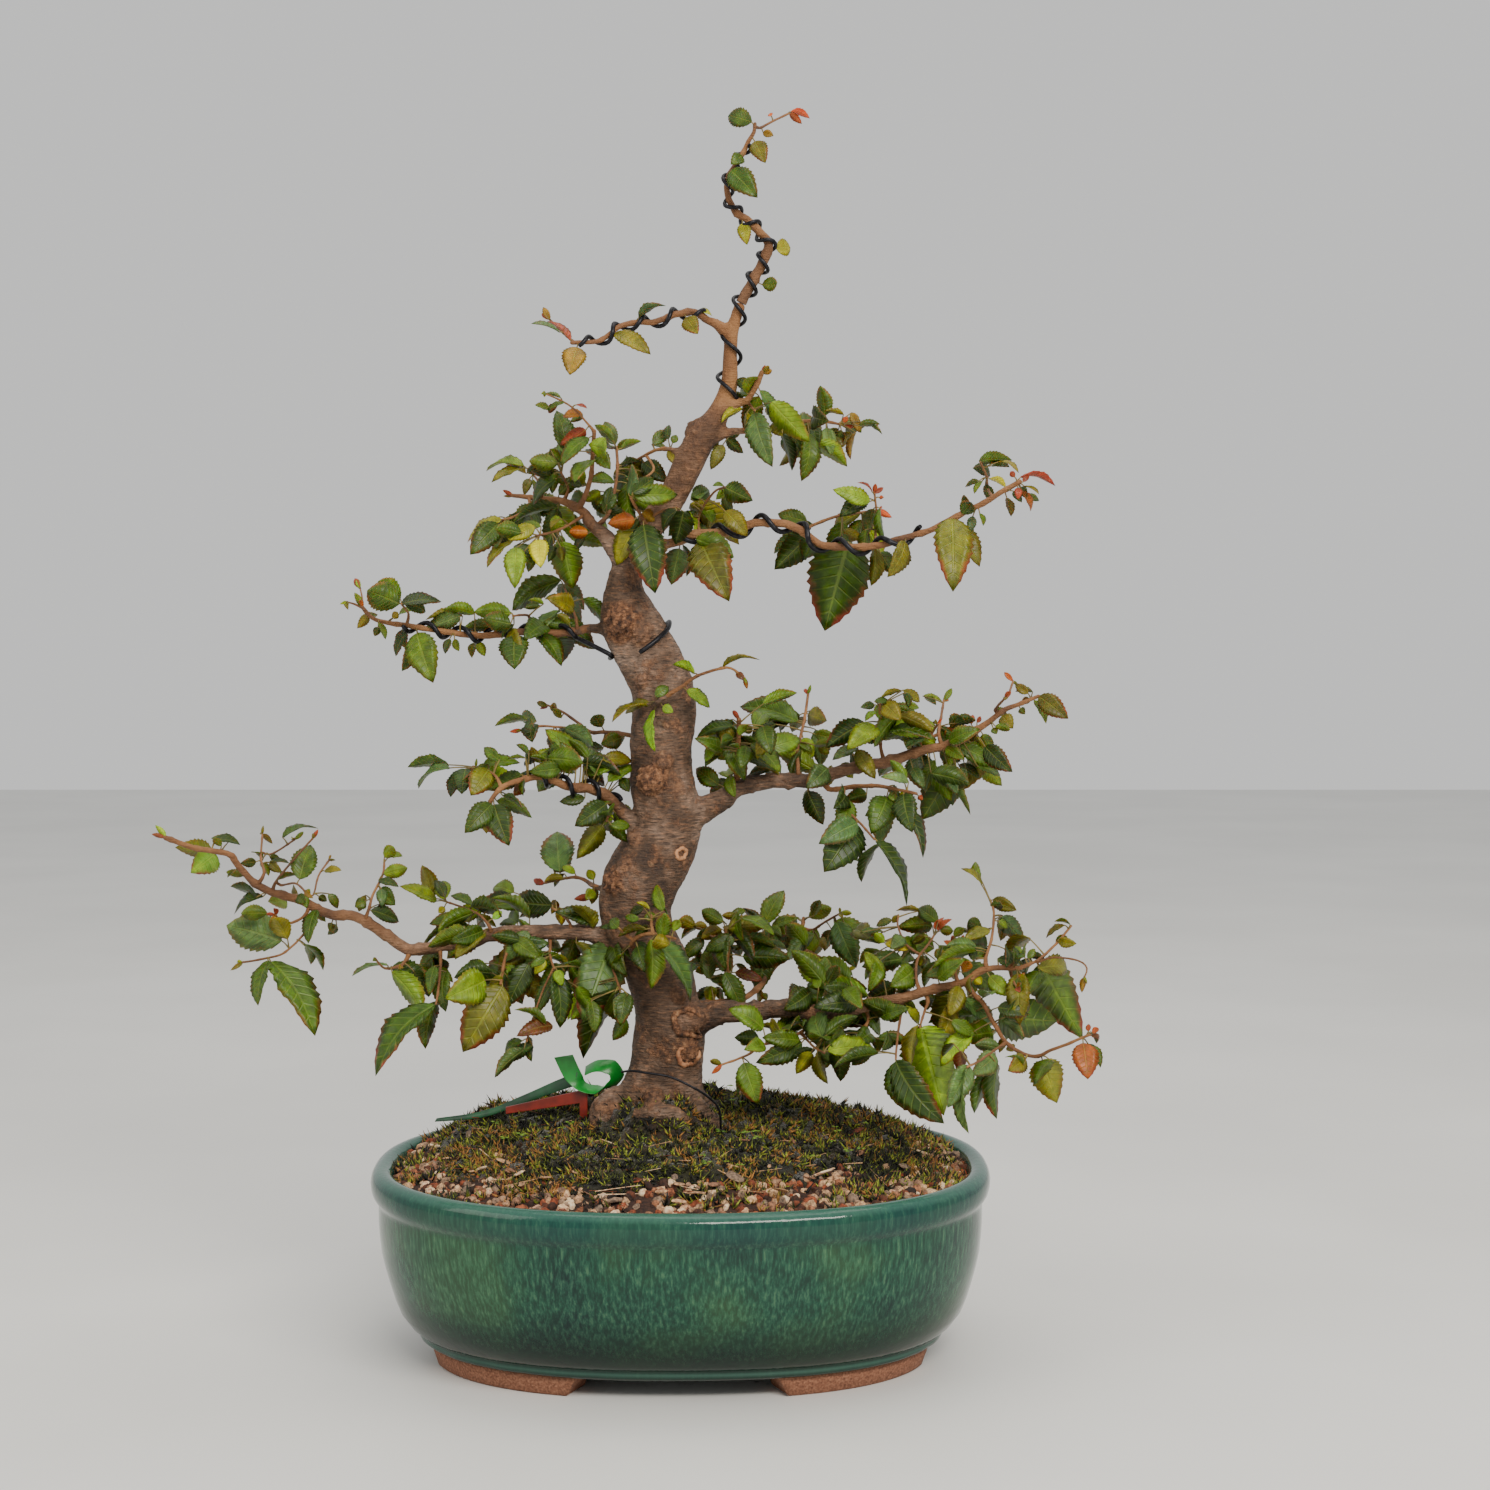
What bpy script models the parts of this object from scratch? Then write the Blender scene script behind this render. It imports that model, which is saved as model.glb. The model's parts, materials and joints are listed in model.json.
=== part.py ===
# Zelkova bonsai in an oval glazed pot, with training wires and a plant label.
# Sizes are in centimetres and become metres in the meshes. The pot's middle stands at x = y = 0 on z = 0,
# with +X to the viewer's right and -Y to the front.
import math
import random
from collections import Counter

import bmesh
import bpy
from mathutils import Vector
from mathutils.bvhtree import BVHTree

CM = 0.01
GAP = 0.03  # between two pieces that touch
SECTORS = 28  # sides of the pot, the soil and the moss round their oval

# The pot: rim_ and base_ are half widths (x) and half depths (y) of its outline
RIM_HALF_WIDTH = 15.5
RIM_HALF_DEPTH = 12.1
POT_HEIGHT = 9.7
FOOT_HEIGHT = 1.0
FLOOR_TOP = 2.0
SQUARENESS = 2.3  # exponent of the oval: 2 is an ellipse
DRAIN_HOLE_RADIUS = 1.2
DRAIN_HOLE_X = 6.0
MESH_SIDE = 3.6
MESH_THICKNESS = 0.1

# The soil and the moss
TRUNK_X = -1.3
PLATEAU_RADIUS = 4.1
PLATEAU_HEIGHT = 10.9
SOIL_EDGE_HEIGHT = 9.1
ROOT_STUB_RADIUS = 1.5
ROOT_STUB_DEPTH = 3.0
MOSS_THICKNESS = 0.45

WIRE_RADIUS = 0.15
BLADE_THICKNESS = 0.06
LEAST_LEAF = 1.25  # seen length times seen width, cm2: smaller leaves are left out of the solids
TAIL_HALF = 0.015  # half the thickness of a leaf's stalk where it ends inside its twig
BROAD_LEAF = 2.8  # from this seen length times seen width on, a blade has teeth
WELD = 1e-7  # metres: corners nearer than this count as one
END_MARGIN = 0.12  # nothing begins nearer than this to a wood's end

# Places in the tree are read as seen from one eye on the upright plane y = 0, and then moved to their depth
# along the line of sight. The readings' zero lies DATUM above the ground.
EYE = Vector((3.2, -120.0, 36.3))
DATUM = 0.5


def seen(x, z, depth):
    """The point that is seen at x, z on the plane y = 0 and really lies at this depth, in centimetres."""
    reach = (depth - EYE.y) / -EYE.y
    return Vector((EYE.x + (x - EYE.x) * reach, depth, EYE.z + (z - EYE.z) * reach + DATUM))


# Trunk: height and middle as read, with the width there
TRUNK = [
    (11.0, -1.3, 5.2), (12.0, -1.2, 4.4), (13.0, -0.9, 3.9), (14.0, -0.7, 3.65), (15.0, -0.6, 3.6),
    (16.0, -0.6, 3.5), (17.0, -0.75, 3.3), (18.0, -1.0, 3.3), (19.0, -1.35, 3.3), (20.0, -1.8, 3.3),
    (21.0, -2.15, 3.4), (22.0, -2.3, 3.6), (23.0, -2.05, 3.8), (24.0, -1.6, 3.8), (25.0, -1.0, 3.5),
    (26.0, -0.65, 3.2), (27.0, -0.75, 3.2), (28.0, -0.9, 3.3), (29.0, -0.95, 3.1), (30.0, -0.95, 3.1),
    (31.0, -0.9, 3.2), (32.0, -0.85, 3.2), (33.0, -1.0, 3.15), (34.0, -1.4, 3.1), (35.0, -1.9, 3.1),
    (36.0, -2.4, 3.1), (37.0, -2.7, 2.6), (38.0, -2.8, 1.9), (39.0, -2.65, 1.5), (40.0, -2.2, 1.45),
    (41.0, -1.5, 1.45), (42.0, -0.7, 1.45), (43.0, -0.1, 1.45), (44.0, 0.35, 1.5), (45.0, 0.85, 1.5),
    (45.7, 1.3, 1.4), (46.5, 1.85, 1.15), (47.3, 2.2, 0.95), (48.2, 2.45, 0.85), (49.2, 2.45, 0.75),
    (50.2, 2.52, 0.68), (51.2, 2.72, 0.62), (52.0, 3.0, 0.6),
]

# Each branch grows from the trunk's middle at the height "root". Its first wood is the limb; every other
# wood starts on the wood before it. A wood is (radius at its start, radius at its end, depth at its start,
# depth at its end, points as seen), and a leaf is (x and z of the blade's base and of its tip, its width,
# all as seen, and its kind: d dark, m middle, b bright, y yellow, o olive, g grey-green, r red, a amber,
# n brown, with + for a red margin).
BRANCHES = {
    "leader_shoot": {
        "root": None,
        "wood": [
            (0.28, 0.08, 0.0, -1.0, [
                (3.55, 53.0), (4.1, 54.0), (4.35, 54.65), (4.3, 55.1), (3.9, 55.5), (3.3, 56.1), (2.8, 56.4),
                (2.5, 56.9), (2.3, 57.5), (2.4, 58.2), (3.1, 59.35), (3.35, 59.9), (3.65, 60.4), (3.7, 60.8)]),
            (0.07, 0.05, 0.0, 1.2, [(4.0, 60.6), (4.65, 60.95), (5.4, 61.3)]),
        ],
        "leaves": [
            (3.6, 60.85, 2.3, 61.2, 1.0, "m"), (3.65, 60.0, 4.2, 58.9, 0.9, "o+"),
            (3.2, 59.3, 2.5, 58.8, 0.7, "m"), (2.5, 58.5, 3.8, 57.2, 1.3, "d"),
            (3.0, 56.2, 3.3, 54.9, 0.7, "y+"), (4.35, 54.65, 5.5, 54.75, 0.9, "y"),
            (4.0, 52.9, 4.85, 53.0, 0.8, "m"), (4.0, 60.4, 4.6, 60.2, 0.4, "a"),
            (4.6, 61.0, 4.4, 61.3, 0.3, "r"), (5.3, 61.4, 6.4, 61.1, 0.3, "r"),
            (5.4, 61.3, 6.0, 60.8, 0.35, "r"),
        ],
    },
    "upper_left_branch": {
        "root": 50.2,
        "wood": [
            (0.2, 0.1, 0.0, -3.2, [
                (1.9, 50.9), (1.25, 51.2), (0.7, 51.55), (0.0, 51.5), (-0.65, 51.3),
                (-1.4, 51.05), (-2.2, 51.05), (-3.0, 50.85), (-3.75, 50.3), (-4.2, 50.1), (-5.4, 50.05)]),
            (0.07, 0.05, 0.0, 0.5, [(-5.9, 50.6), (-6.5, 51.2)]),
        ],
        "leaves": [
            (-2.25, 51.2, -0.7, 51.9, 0.3, "g"), (0.1, 51.5, 0.85, 50.5, 0.9, "o+"),
            (0.7, 51.7, 1.6, 51.4, 0.3, "y"), (-3.5, 50.6, -1.5, 49.6, 0.9, "o"),
            (-5.1, 50.0, -5.5, 48.5, 1.2, "a"), (-5.4, 50.1, -6.6, 51.2, 0.3, "r"),
            (-5.8, 50.5, -7.4, 51.05, 0.25, "g"),
        ],
    },
    "apex_right_branch": {
        "root": 44.9,
        "wood": [
            (0.18, 0.06, 0.0, 3.0, [(1.9, 45.4), (2.5, 45.55), (3.1, 45.7), (4.9, 45.9), (6.6, 46.2), (8.1, 46.0)]),
        ],
        "leaves": [
            (5.0, 45.75, 5.6, 43.75, 0.6, "d"), (5.7, 45.3, 6.45, 43.7, 0.6, "d"),
            (2.3, 45.3, 3.1, 44.6, 0.6, "d"), (2.1, 45.0, 1.5, 43.8, 0.7, "o"),
            (6.6, 46.0, 6.8, 44.8, 0.7, "d"), (7.2, 46.0, 7.5, 44.5, 0.8, "g"),
            (8.1, 46.5, 7.1, 46.75, 0.3, "o"), (8.5, 46.6, 8.9, 45.6, 0.5, "a"),
            (8.7, 45.6, 8.4, 44.3, 0.4, "a"), (9.0, 46.15, 10.1, 45.6, 0.2, "d"),
            (8.0, 45.8, 7.7, 44.7, 0.6, "g"), (8.0, 46.0, 8.3, 46.4, 0.3, "r"),
            (8.1, 45.9, 8.7, 45.9, 0.25, "r"),
        ],
    },
    "apex_stub_shoot": {
        "root": 46.6,
        "wood": [
            (0.17, 0.12, -0.2, -1.6, [(2.75, 47.0), (3.3, 47.2), (3.75, 47.9), (4.05, 48.6)]),
            (0.07, 0.05, 0.0, -1.0, [(3.5, 46.9), (3.7, 46.7)]),
        ],
        "leaves": [
            (3.6, 47.6, 2.8, 48.3, 0.6, "d"), (3.8, 48.0, 4.6, 46.2, 0.6, "g"),
            (4.5, 47.1, 6.4, 45.15, 1.3, "b"), (3.6, 46.75, 4.5, 43.95, 1.3, "g"),
            (3.1, 46.8, 2.0, 46.1, 0.4, "y"), (3.3, 46.6, 3.3, 45.4, 0.5, "y"),
        ],
    },
    "upper_right_branch": {
        "root": 39.4,
        "wood": [
            (0.24, 0.12, -0.3, -5.0, [
                (-0.9, 40.05), (0.0, 40.25), (0.6, 40.55), (1.4, 40.6), (2.25, 40.65), (3.0, 40.85),
                (3.6, 41.1), (4.35, 41.15), (5.3, 41.05), (5.95, 40.8), (6.5, 40.35), (7.15, 40.0),
                (8.1, 39.95), (9.15, 39.95), (10.1, 40.05), (10.75, 40.3), (11.6, 40.5), (12.4, 40.75),
                (13.2, 41.15), (14.1, 41.65), (15.05, 42.1), (15.7, 42.5), (16.4, 42.9), (16.9, 43.2)]),
            (0.09, 0.06, 0.0, 2.4, [(6.35, 40.9), (7.55, 41.4), (8.6, 41.6), (9.9, 41.75)]),
            (0.07, 0.05, 0.0, -1.5, [(9.7, 40.6), (9.75, 41.6), (9.65, 42.6)]),
            (0.08, 0.05, 0.0, -2.0, [(15.3, 42.8), (15.2, 43.5), (14.9, 44.15)]),
            (0.07, 0.05, 0.0, -2.5, [(0.9, 41.5), (1.65, 42.65), (2.2, 42.9)]),
        ],
        "leaves": [
            (14.85, 44.2, 16.45, 44.3, 0.6, "m"), (15.1, 43.35, 14.6, 42.6, 0.25, "m"),
            (15.2, 43.4, 16.2, 42.95, 0.3, "y"), (15.8, 44.15, 16.85, 43.7, 0.25, "o"),
            (16.9, 43.4, 18.65, 43.1, 0.25, "r"), (17.0, 43.0, 17.85, 42.6, 0.2, "o"),
            (17.0, 42.7, 17.5, 41.7, 0.4, "a"), (16.8, 43.1, 16.8, 42.3, 0.4, "r"),
            (17.0, 43.1, 17.3, 43.6, 0.3, "r"), (16.8, 43.2, 16.4, 43.7, 0.3, "r"),
            (16.2, 42.5, 16.5, 41.5, 0.35, "o"), (14.8, 41.9, 15.1, 41.0, 0.3, "m"),
            (13.5, 41.5, 13.6, 37.85, 1.9, "o+"), (13.9, 41.4, 14.5, 42.2, 0.8, "d"),
            (11.3, 40.45, 10.35, 38.45, 1.0, "o"), (9.7, 40.1, 9.6, 38.05, 0.7, "o"),
            (8.35, 40.2, 7.2, 35.85, 3.1, "d+"), (6.5, 40.6, 4.7, 38.85, 1.5, "d"),
            (6.6, 40.3, 6.2, 39.45, 1.2, "d"), (6.3, 41.2, 4.8, 41.6, 0.9, "m"),
            (9.55, 42.15, 7.6, 42.8, 0.9, "b"), (9.15, 41.75, 7.5, 40.65, 0.8, "o+"),
            (8.1, 40.75, 9.1, 40.3, 0.6, "o"), (9.9, 41.95, 10.1, 40.3, 0.5, "m"),
            (9.65, 42.6, 9.7, 43.1, 0.25, "r"), (9.65, 42.6, 10.1, 42.9, 0.25, "r"),
            (9.7, 42.4, 10.1, 42.4, 0.2, "r"), (9.65, 42.6, 8.8, 43.15, 0.15, "r"),
            (0.5, 42.1, 2.9, 40.2, 1.3, "o"), (0.85, 40.5, 2.35, 37.35, 2.1, "o+"),
            (0.0, 40.2, -0.45, 38.15, 1.3, "g+"), (2.2, 42.9, 3.55, 42.25, 1.1, "d"),
            (2.2, 43.0, 1.6, 43.0, 0.25, "m"), (0.5, 42.3, 1.5, 42.8, 0.9, "d"),
            (0.4, 41.7, 0.75, 40.3, 0.35, "b"),
        ],
    },
    "neck_shoot": {
        "root": 40.9,
        "wood": [
            (0.1, 0.06, -1.0, -2.6, [(-1.7, 41.1), (-2.1, 41.7), (-2.5, 42.4)]),
            (0.07, 0.05, -1.4, -2.4, [(-1.0, 41.7), (-0.2, 41.9)]),
        ],
        "leaves": [
            (-1.9, 41.3, -1.3, 37.7, 1.9, "d+"), (0.15, 41.7, -0.25, 40.1, 1.3, "d"),
            (-2.0, 41.8, -1.3, 41.2, 0.7, "a"), (-2.3, 41.3, -3.6, 41.1, 0.9, "a"),
            (-2.4, 42.5, -0.1, 42.55, 1.1, "m"), (-2.6, 42.5, -2.4, 44.1, 0.6, "g"),
        ],
    },
    "neck_left_branch": {
        "root": 38.9,
        "wood": [
            (0.33, 0.1, 0.0, 3.5, [
                (-3.75, 40.45), (-4.5, 41.15), (-4.9, 41.7), (-5.85, 42.2), (-6.65, 42.3), (-8.4, 42.5)]),
            (0.14, 0.1, 0.2, -1.5, [(-4.75, 42.5), (-4.5, 43.3), (-4.4, 44.2), (-4.3, 45.7)]),
            (0.06, 0.04, -1.5, -3.5, [(-4.4, 45.8), (-5.45, 46.9), (-6.75, 47.55)]),
            (0.1, 0.07, 0.2, 2.4, [(-3.6, 41.6), (-3.25, 43.0), (-3.15, 44.0), (-3.2, 44.9)]),
            (0.08, 0.05, 1.5, -0.8, [(-5.6, 42.8), (-5.95, 43.65)]),
            (0.07, 0.05, 2.0, 4.0, [(-6.9, 42.9), (-7.4, 43.6)]),
            (0.08, 0.05, 0.2, -2.6, [(-5.3, 41.2), (-6.3, 40.7), (-7.2, 40.5)]),
            (0.07, 0.05, 2.0, 0.6, [(-7.6, 41.9), (-8.4, 41.4), (-8.9, 41.3)]),
        ],
        "leaves": [
            (-5.85, 47.3, -6.8, 47.55, 0.2, "g"), (-5.95, 47.1, -6.6, 46.6, 0.35, "n"),
            (-5.25, 47.0, -4.65, 46.85, 0.2, "r"), (-4.8, 46.5, -5.9, 46.45, 0.5, "a"),
            (-4.6, 45.8, -6.0, 45.0, 0.8, "r"), (-4.4, 45.5, -6.0, 44.05, 0.8, "m"),
            (-3.2, 44.9, -3.8, 46.2, 0.8, "g"), (-3.0, 44.8, -1.95, 45.2, 0.4, "m"),
            (-7.8, 43.95, -9.7, 43.75, 0.4, "b"), (-7.7, 43.85, -9.45, 43.3, 0.45, "o"),
            (-6.1, 44.1, -7.6, 44.2, 0.9, "m"), (-6.5, 44.8, -5.9, 44.1, 0.5, "m"),
            (-6.2, 43.3, -7.5, 43.8, 0.6, "d"), (-7.5, 43.4, -7.8, 42.5, 0.5, "o"),
            (-6.3, 43.6, -6.4, 42.6, 0.5, "d"), (-5.7, 43.0, -4.7, 43.7, 0.8, "b"),
            (-4.1, 44.6, -3.5, 43.8, 0.8, "m"), (-3.2, 43.9, -2.0, 44.2, 0.4, "d"),
            (-4.0, 42.7, -4.8, 42.2, 0.6, "b"), (-3.9, 41.7, -3.2, 42.6, 0.7, "d"),
            (-6.0, 42.0, -8.5, 41.2, 0.6, "d"), (-8.8, 41.3, -10.8, 40.3, 0.6, "y+"),
            (-9.1, 41.1, -10.45, 39.65, 1.3, "d"), (-8.8, 41.2, -8.9, 40.4, 0.5, "o"),
            (-7.3, 40.95, -8.6, 40.3, 0.8, "y"), (-5.6, 41.0, -6.6, 41.1, 0.9, "b"),
            (-4.4, 40.65, -5.6, 40.7, 0.7, "a"), (-8.4, 40.2, -9.7, 38.95, 0.5, "o+"),
            (-8.2, 39.9, -8.3, 37.95, 1.1, "b"), (-7.1, 40.3, -7.0, 38.95, 1.0, "y"),
            (-7.4, 39.6, -7.6, 38.7, 0.5, "d"), (-5.9, 40.2, -5.4, 37.95, 1.6, "m"),
            (-6.3, 40.0, -6.6, 39.2, 0.5, "d"), (-4.3, 40.9, -4.0, 40.5, 0.6, "r"),
        ],
    },
    "apex_left_branch": {
        "root": 44.3,
        "wood": [
            (0.12, 0.06, 0.3, 2.5, [(-0.45, 44.8), (-1.2, 44.75), (-2.2, 44.25)]),
            (0.07, 0.05, 0.8, 0.4, [(-1.35, 43.75), (-2.2, 43.15)]),
        ],
        "leaves": [
            (-1.4, 45.05, -0.6, 45.75, 0.7, "d"), (-0.5, 44.9, -0.2, 45.5, 0.4, "m"),
            (-1.9, 44.2, -0.7, 43.2, 1.0, "d"), (-0.7, 44.9, -0.2, 44.0, 0.5, "o"),
        ],
    },
    "middle_left_branch": {
        "root": 35.7,
        "wood": [
            (0.22, 0.09, 0.2, -3.5, [
                (-4.1, 35.85), (-5.05, 35.75), (-6.1, 35.65), (-7.2, 35.7), (-8.3, 35.7), (-9.4, 35.55),
                (-10.5, 35.55), (-11.6, 35.7), (-12.65, 35.85), (-13.75, 36.05), (-14.6, 36.15),
                (-15.4, 36.4), (-15.9, 36.95)]),
            (0.05, 0.04, -3.4, -4.2, [(-16.3, 37.1), (-16.7, 37.2)]),
            (0.05, 0.04, -3.4, -2.4, [(-15.9, 37.3), (-16.0, 37.9)]),
            (0.08, 0.05, -0.2, 3.0, [(-5.25, 36.4), (-5.8, 37.9)]),
            (0.08, 0.05, -0.8, -2.6, [(-7.6, 36.5), (-8.4, 36.5)]),
            (0.06, 0.05, -2.8, -5.0, [(-13.6, 36.6), (-13.95, 37.1)]),
        ],
        "leaves": [
            (-14.0, 37.1, -15.7, 37.8, 1.5, "m"), (-13.95, 37.1, -11.9, 37.35, 0.7, "d"),
            (-15.5, 36.7, -16.15, 35.9, 0.5, "o"), (-15.1, 36.0, -15.3, 35.5, 0.4, "d"),
            (-14.6, 36.2, -14.1, 36.7, 0.4, "o"), (-13.65, 35.8, -14.35, 34.5, 0.5, "d"),
            (-13.25, 35.9, -12.45, 33.25, 1.6, "m"), (-10.9, 36.5, -12.8, 36.4, 0.5, "o"),
            (-10.3, 36.6, -11.9, 36.9, 0.7, "m"), (-9.3, 36.0, -10.9, 35.9, 0.7, "d"),
            (-8.5, 36.1, -9.9, 36.4, 1.0, "d"), (-11.4, 35.6, -11.1, 34.75, 0.4, "m"),
            (-10.3, 35.5, -9.8, 34.5, 0.5, "b"), (-8.3, 35.5, -8.35, 34.0, 1.5, "d"),
            (-6.15, 35.6, -5.95, 34.25, 1.5, "d"), (-5.5, 35.9, -6.9, 36.2, 0.8, "d"),
            (-6.0, 38.3, -8.6, 36.85, 1.2, "d"), (-5.8, 38.1, -4.85, 36.85, 1.0, "g"),
            (-5.7, 37.6, -6.4, 37.1, 0.4, "n+"), (-7.0, 37.0, -7.8, 36.9, 0.35, "d"),
        ],
    },
    "lower_middle_left_branch": {
        "root": 24.6,
        "wood": [
            (0.3, 0.1, -0.3, -4.0, [
                (-2.85, 26.6), (-3.8, 27.5), (-4.6, 27.85), (-5.6, 27.95), (-6.2, 28.2), (-7.0, 28.45),
                (-8.0, 28.3), (-9.0, 27.9), (-9.6, 27.2)]),
            (0.07, 0.05, -3.0, -1.5, [(-9.4, 28.6), (-10.3, 28.95)]),
            (0.07, 0.05, -0.6, -2.2, [(-3.5, 26.9), (-3.75, 26.2)]),
        ],
        "leaves": [
            (-3.0, 28.4, -2.6, 27.7, 0.6, "d"),
            (-9.1, 29.3, -9.9, 29.95, 0.6, "m"), (-7.8, 29.4, -8.7, 29.4, 0.25, "m"),
            (-6.8, 29.3, -7.6, 29.5, 0.3, "m"), (-11.6, 28.9, -13.2, 27.9, 0.25, "g"),
            (-10.8, 28.85, -11.0, 27.65, 1.2, "d"), (-9.6, 28.9, -10.5, 27.6, 1.3, "o+"),
            (-7.9, 28.6, -9.7, 27.8, 0.9, "m"), (-7.8, 28.2, -8.4, 27.5, 0.6, "n+"),
            (-6.0, 28.9, -7.6, 28.7, 0.9, "m"), (-4.8, 27.4, -6.1, 27.2, 0.6, "d"),
            (-3.75, 27.1, -5.3, 26.0, 1.2, "d"), (-3.95, 26.0, -5.2, 24.4, 1.1, "o"),
            (-3.6, 26.1, -2.7, 25.2, 0.7, "d"), (-3.4, 26.8, -2.9, 25.9, 0.6, "m"),
            (-9.5, 27.1, -10.85, 25.65, 1.2, "d"), (-9.4, 27.1, -8.65, 25.0, 1.4, "d+"),
            (-9.1, 27.6, -7.8, 26.85, 0.4, "d"),
        ],
    },
    "rear_left_branch": {
        "root": 29.6,
        "wood": [
            (0.12, 0.05, 1.2, 5.5, [
                (-2.6, 30.6), (-3.85, 30.7), (-4.5, 30.7), (-5.2, 31.2), (-5.9, 31.7), (-6.7, 32.05)]),
            (0.07, 0.05, 3.2, 2.2, [(-5.2, 30.9), (-7.0, 31.0), (-8.0, 30.8)]),
        ],
        "leaves": [
            (-7.65, 31.3, -9.3, 31.1, 0.55, "m"), (-7.55, 31.1, -7.45, 30.2, 0.95, "d"),
            (-3.85, 30.8, -4.4, 31.6, 0.8, "d"), (-6.0, 31.0, -4.3, 30.0, 0.9, "g"),
            (-6.0, 31.4, -6.4, 31.9, 0.4, "m"), (-6.4, 30.6, -6.0, 29.5, 1.0, "d"),
            (-2.7, 30.5, -4.0, 30.1, 0.9, "d"), (-3.9, 29.9, -5.7, 29.6, 0.7, "d"),
        ],
    },
    "middle_front_shoot": {
        "root": 31.8,
        "wood": [
            (0.11, 0.05, -2.0, -4.0, [
                (-1.3, 32.1), (-0.7, 32.5), (0.0, 32.95), (0.8, 33.5), (1.85, 33.85), (2.5, 33.9), (3.2, 33.4)]),
        ],
        "leaves": [
            (-1.3, 32.5, -0.6, 33.0, 0.7, "m"), (-1.35, 31.8, -1.35, 29.7, 0.5, "b"),
            (-1.6, 32.2, -2.9, 31.7, 0.5, "o"), (-1.7, 32.0, -3.5, 31.35, 0.2, "o"),
            (-1.1, 32.1, -0.4, 31.7, 0.5, "b"), (0.1, 32.9, 1.5, 31.95, 0.6, "b"),
            (0.9, 33.55, -0.4, 34.1, 0.5, "b"), (1.85, 33.9, 3.95, 34.45, 0.25, "o"),
            (2.6, 33.8, 3.2, 33.3, 0.35, "n"),
        ],
    },
    "middle_right_branch": {
        "root": 25.8,
        "wood": [
            (0.46, 0.09, 0.0, 2.0, [
                (1.2, 26.6), (1.8, 27.1), (2.5, 27.7), (3.5, 28.1), (4.6, 28.25), (5.75, 28.25), (6.6, 28.3),
                (7.7, 28.65), (8.85, 28.95), (10.1, 29.15), (11.1, 29.45), (12.2, 29.8), (13.05, 30.0),
                (14.05, 30.3), (14.75, 30.8), (15.45, 31.25), (16.15, 31.8), (16.9, 32.1), (17.9, 32.5)]),
            (0.15, 0.07, 0.8, -4.0, [(7.4, 27.85), (8.55, 27.95), (9.8, 28.0), (10.95, 27.8), (11.8, 27.6)]),
            (0.07, 0.05, -1.5, -5.5, [(8.25, 26.95), (9.1, 26.0), (9.7, 25.3)]),
            (0.14, 0.11, 0.1, -1.8, [(2.75, 28.6), (2.85, 30.0), (2.9, 31.35)]),
            (0.1, 0.07, 0.5, 4.0, [(5.85, 28.9), (5.85, 29.95), (6.15, 31.2), (6.35, 32.6)]),
            (0.09, 0.07, 1.2, -1.6, [(10.0, 29.9), (9.95, 31.2), (9.95, 32.2)]),
            (0.09, 0.06, 1.5, 5.5, [(12.9, 30.6), (13.0, 31.4), (13.15, 32.3)]),
            (0.08, 0.06, 1.5, -0.8, [(12.5, 30.5), (12.85, 31.1)]),
            (0.08, 0.06, 1.8, 0.0, [(15.7, 31.8), (16.2, 32.4)]),
            (0.08, 0.06, 1.8, 5.0, [(16.35, 32.5), (16.6, 33.25)]),
        ],
        "leaves": [
            (2.9, 31.1, 0.65, 30.4, 0.5, "d"), (2.1, 29.8, 0.7, 30.4, 0.7, "m"),
            (2.7, 30.1, 2.0, 30.9, 0.8, "o"), (3.0, 30.6, 3.6, 30.9, 0.4, "m"),
            (2.0, 28.0, 0.7, 28.9, 1.0, "d"), (1.6, 30.0, 1.2, 29.2, 0.5, "m"),
            (2.6, 29.4, 1.6, 29.7, 0.6, "o"), (6.0, 31.2, 2.9, 32.1, 1.2, "m"),
            (4.1, 32.1, 5.75, 32.75, 0.6, "m"), (6.3, 31.6, 7.2, 31.3, 1.1, "o"),
            (6.1, 31.6, 3.9, 31.0, 0.9, "m"), (4.1, 31.0, 4.5, 29.6, 1.1, "d"),
            (3.3, 30.0, 3.0, 28.9, 0.9, "m"), (4.7, 28.9, 3.3, 28.6, 0.5, "d"),
            (5.8, 30.0, 5.1, 30.6, 0.6, "m"), (6.0, 30.6, 6.6, 29.4, 0.8, "b"),
            (6.7, 30.6, 7.8, 30.4, 0.7, "m"), (6.9, 30.0, 7.4, 29.6, 0.5, "m"),
            (7.4, 29.0, 6.3, 27.9, 1.2, "g"), (6.3, 27.8, 7.1, 26.1, 1.1, "d"),
            (8.85, 26.3, 7.2, 23.7, 2.1, "d"), (9.7, 25.4, 11.65, 22.0, 0.7, "d"),
            (8.0, 29.2, 8.6, 28.4, 0.7, "b"), (8.8, 29.8, 9.7, 28.4, 0.9, "o"),
            (8.8, 29.9, 7.6, 29.4, 0.5, "g"), (9.9, 30.2, 8.7, 30.6, 0.6, "d"),
            (9.9, 31.9, 9.2, 31.3, 0.3, "m"), (10.0, 32.4, 11.0, 32.85, 0.3, "o"),
            (11.1, 32.8, 12.0, 32.2, 0.5, "o"), (12.1, 32.5, 13.1, 32.3, 0.35, "b"),
            (10.1, 32.2, 11.0, 31.3, 1.0, "o"), (11.3, 32.1, 11.9, 31.9, 0.4, "m"),
            (10.3, 30.9, 12.9, 31.0, 1.2, "b"), (10.4, 30.7, 12.7, 30.5, 0.5, "d"),
            (13.5, 30.9, 14.1, 31.6, 0.9, "d"), (14.5, 31.0, 14.6, 31.6, 0.3, "r"),
            (14.7, 31.0, 15.0, 31.5, 0.25, "r"), (13.0, 30.9, 13.8, 30.5, 0.7, "a"),
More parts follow.
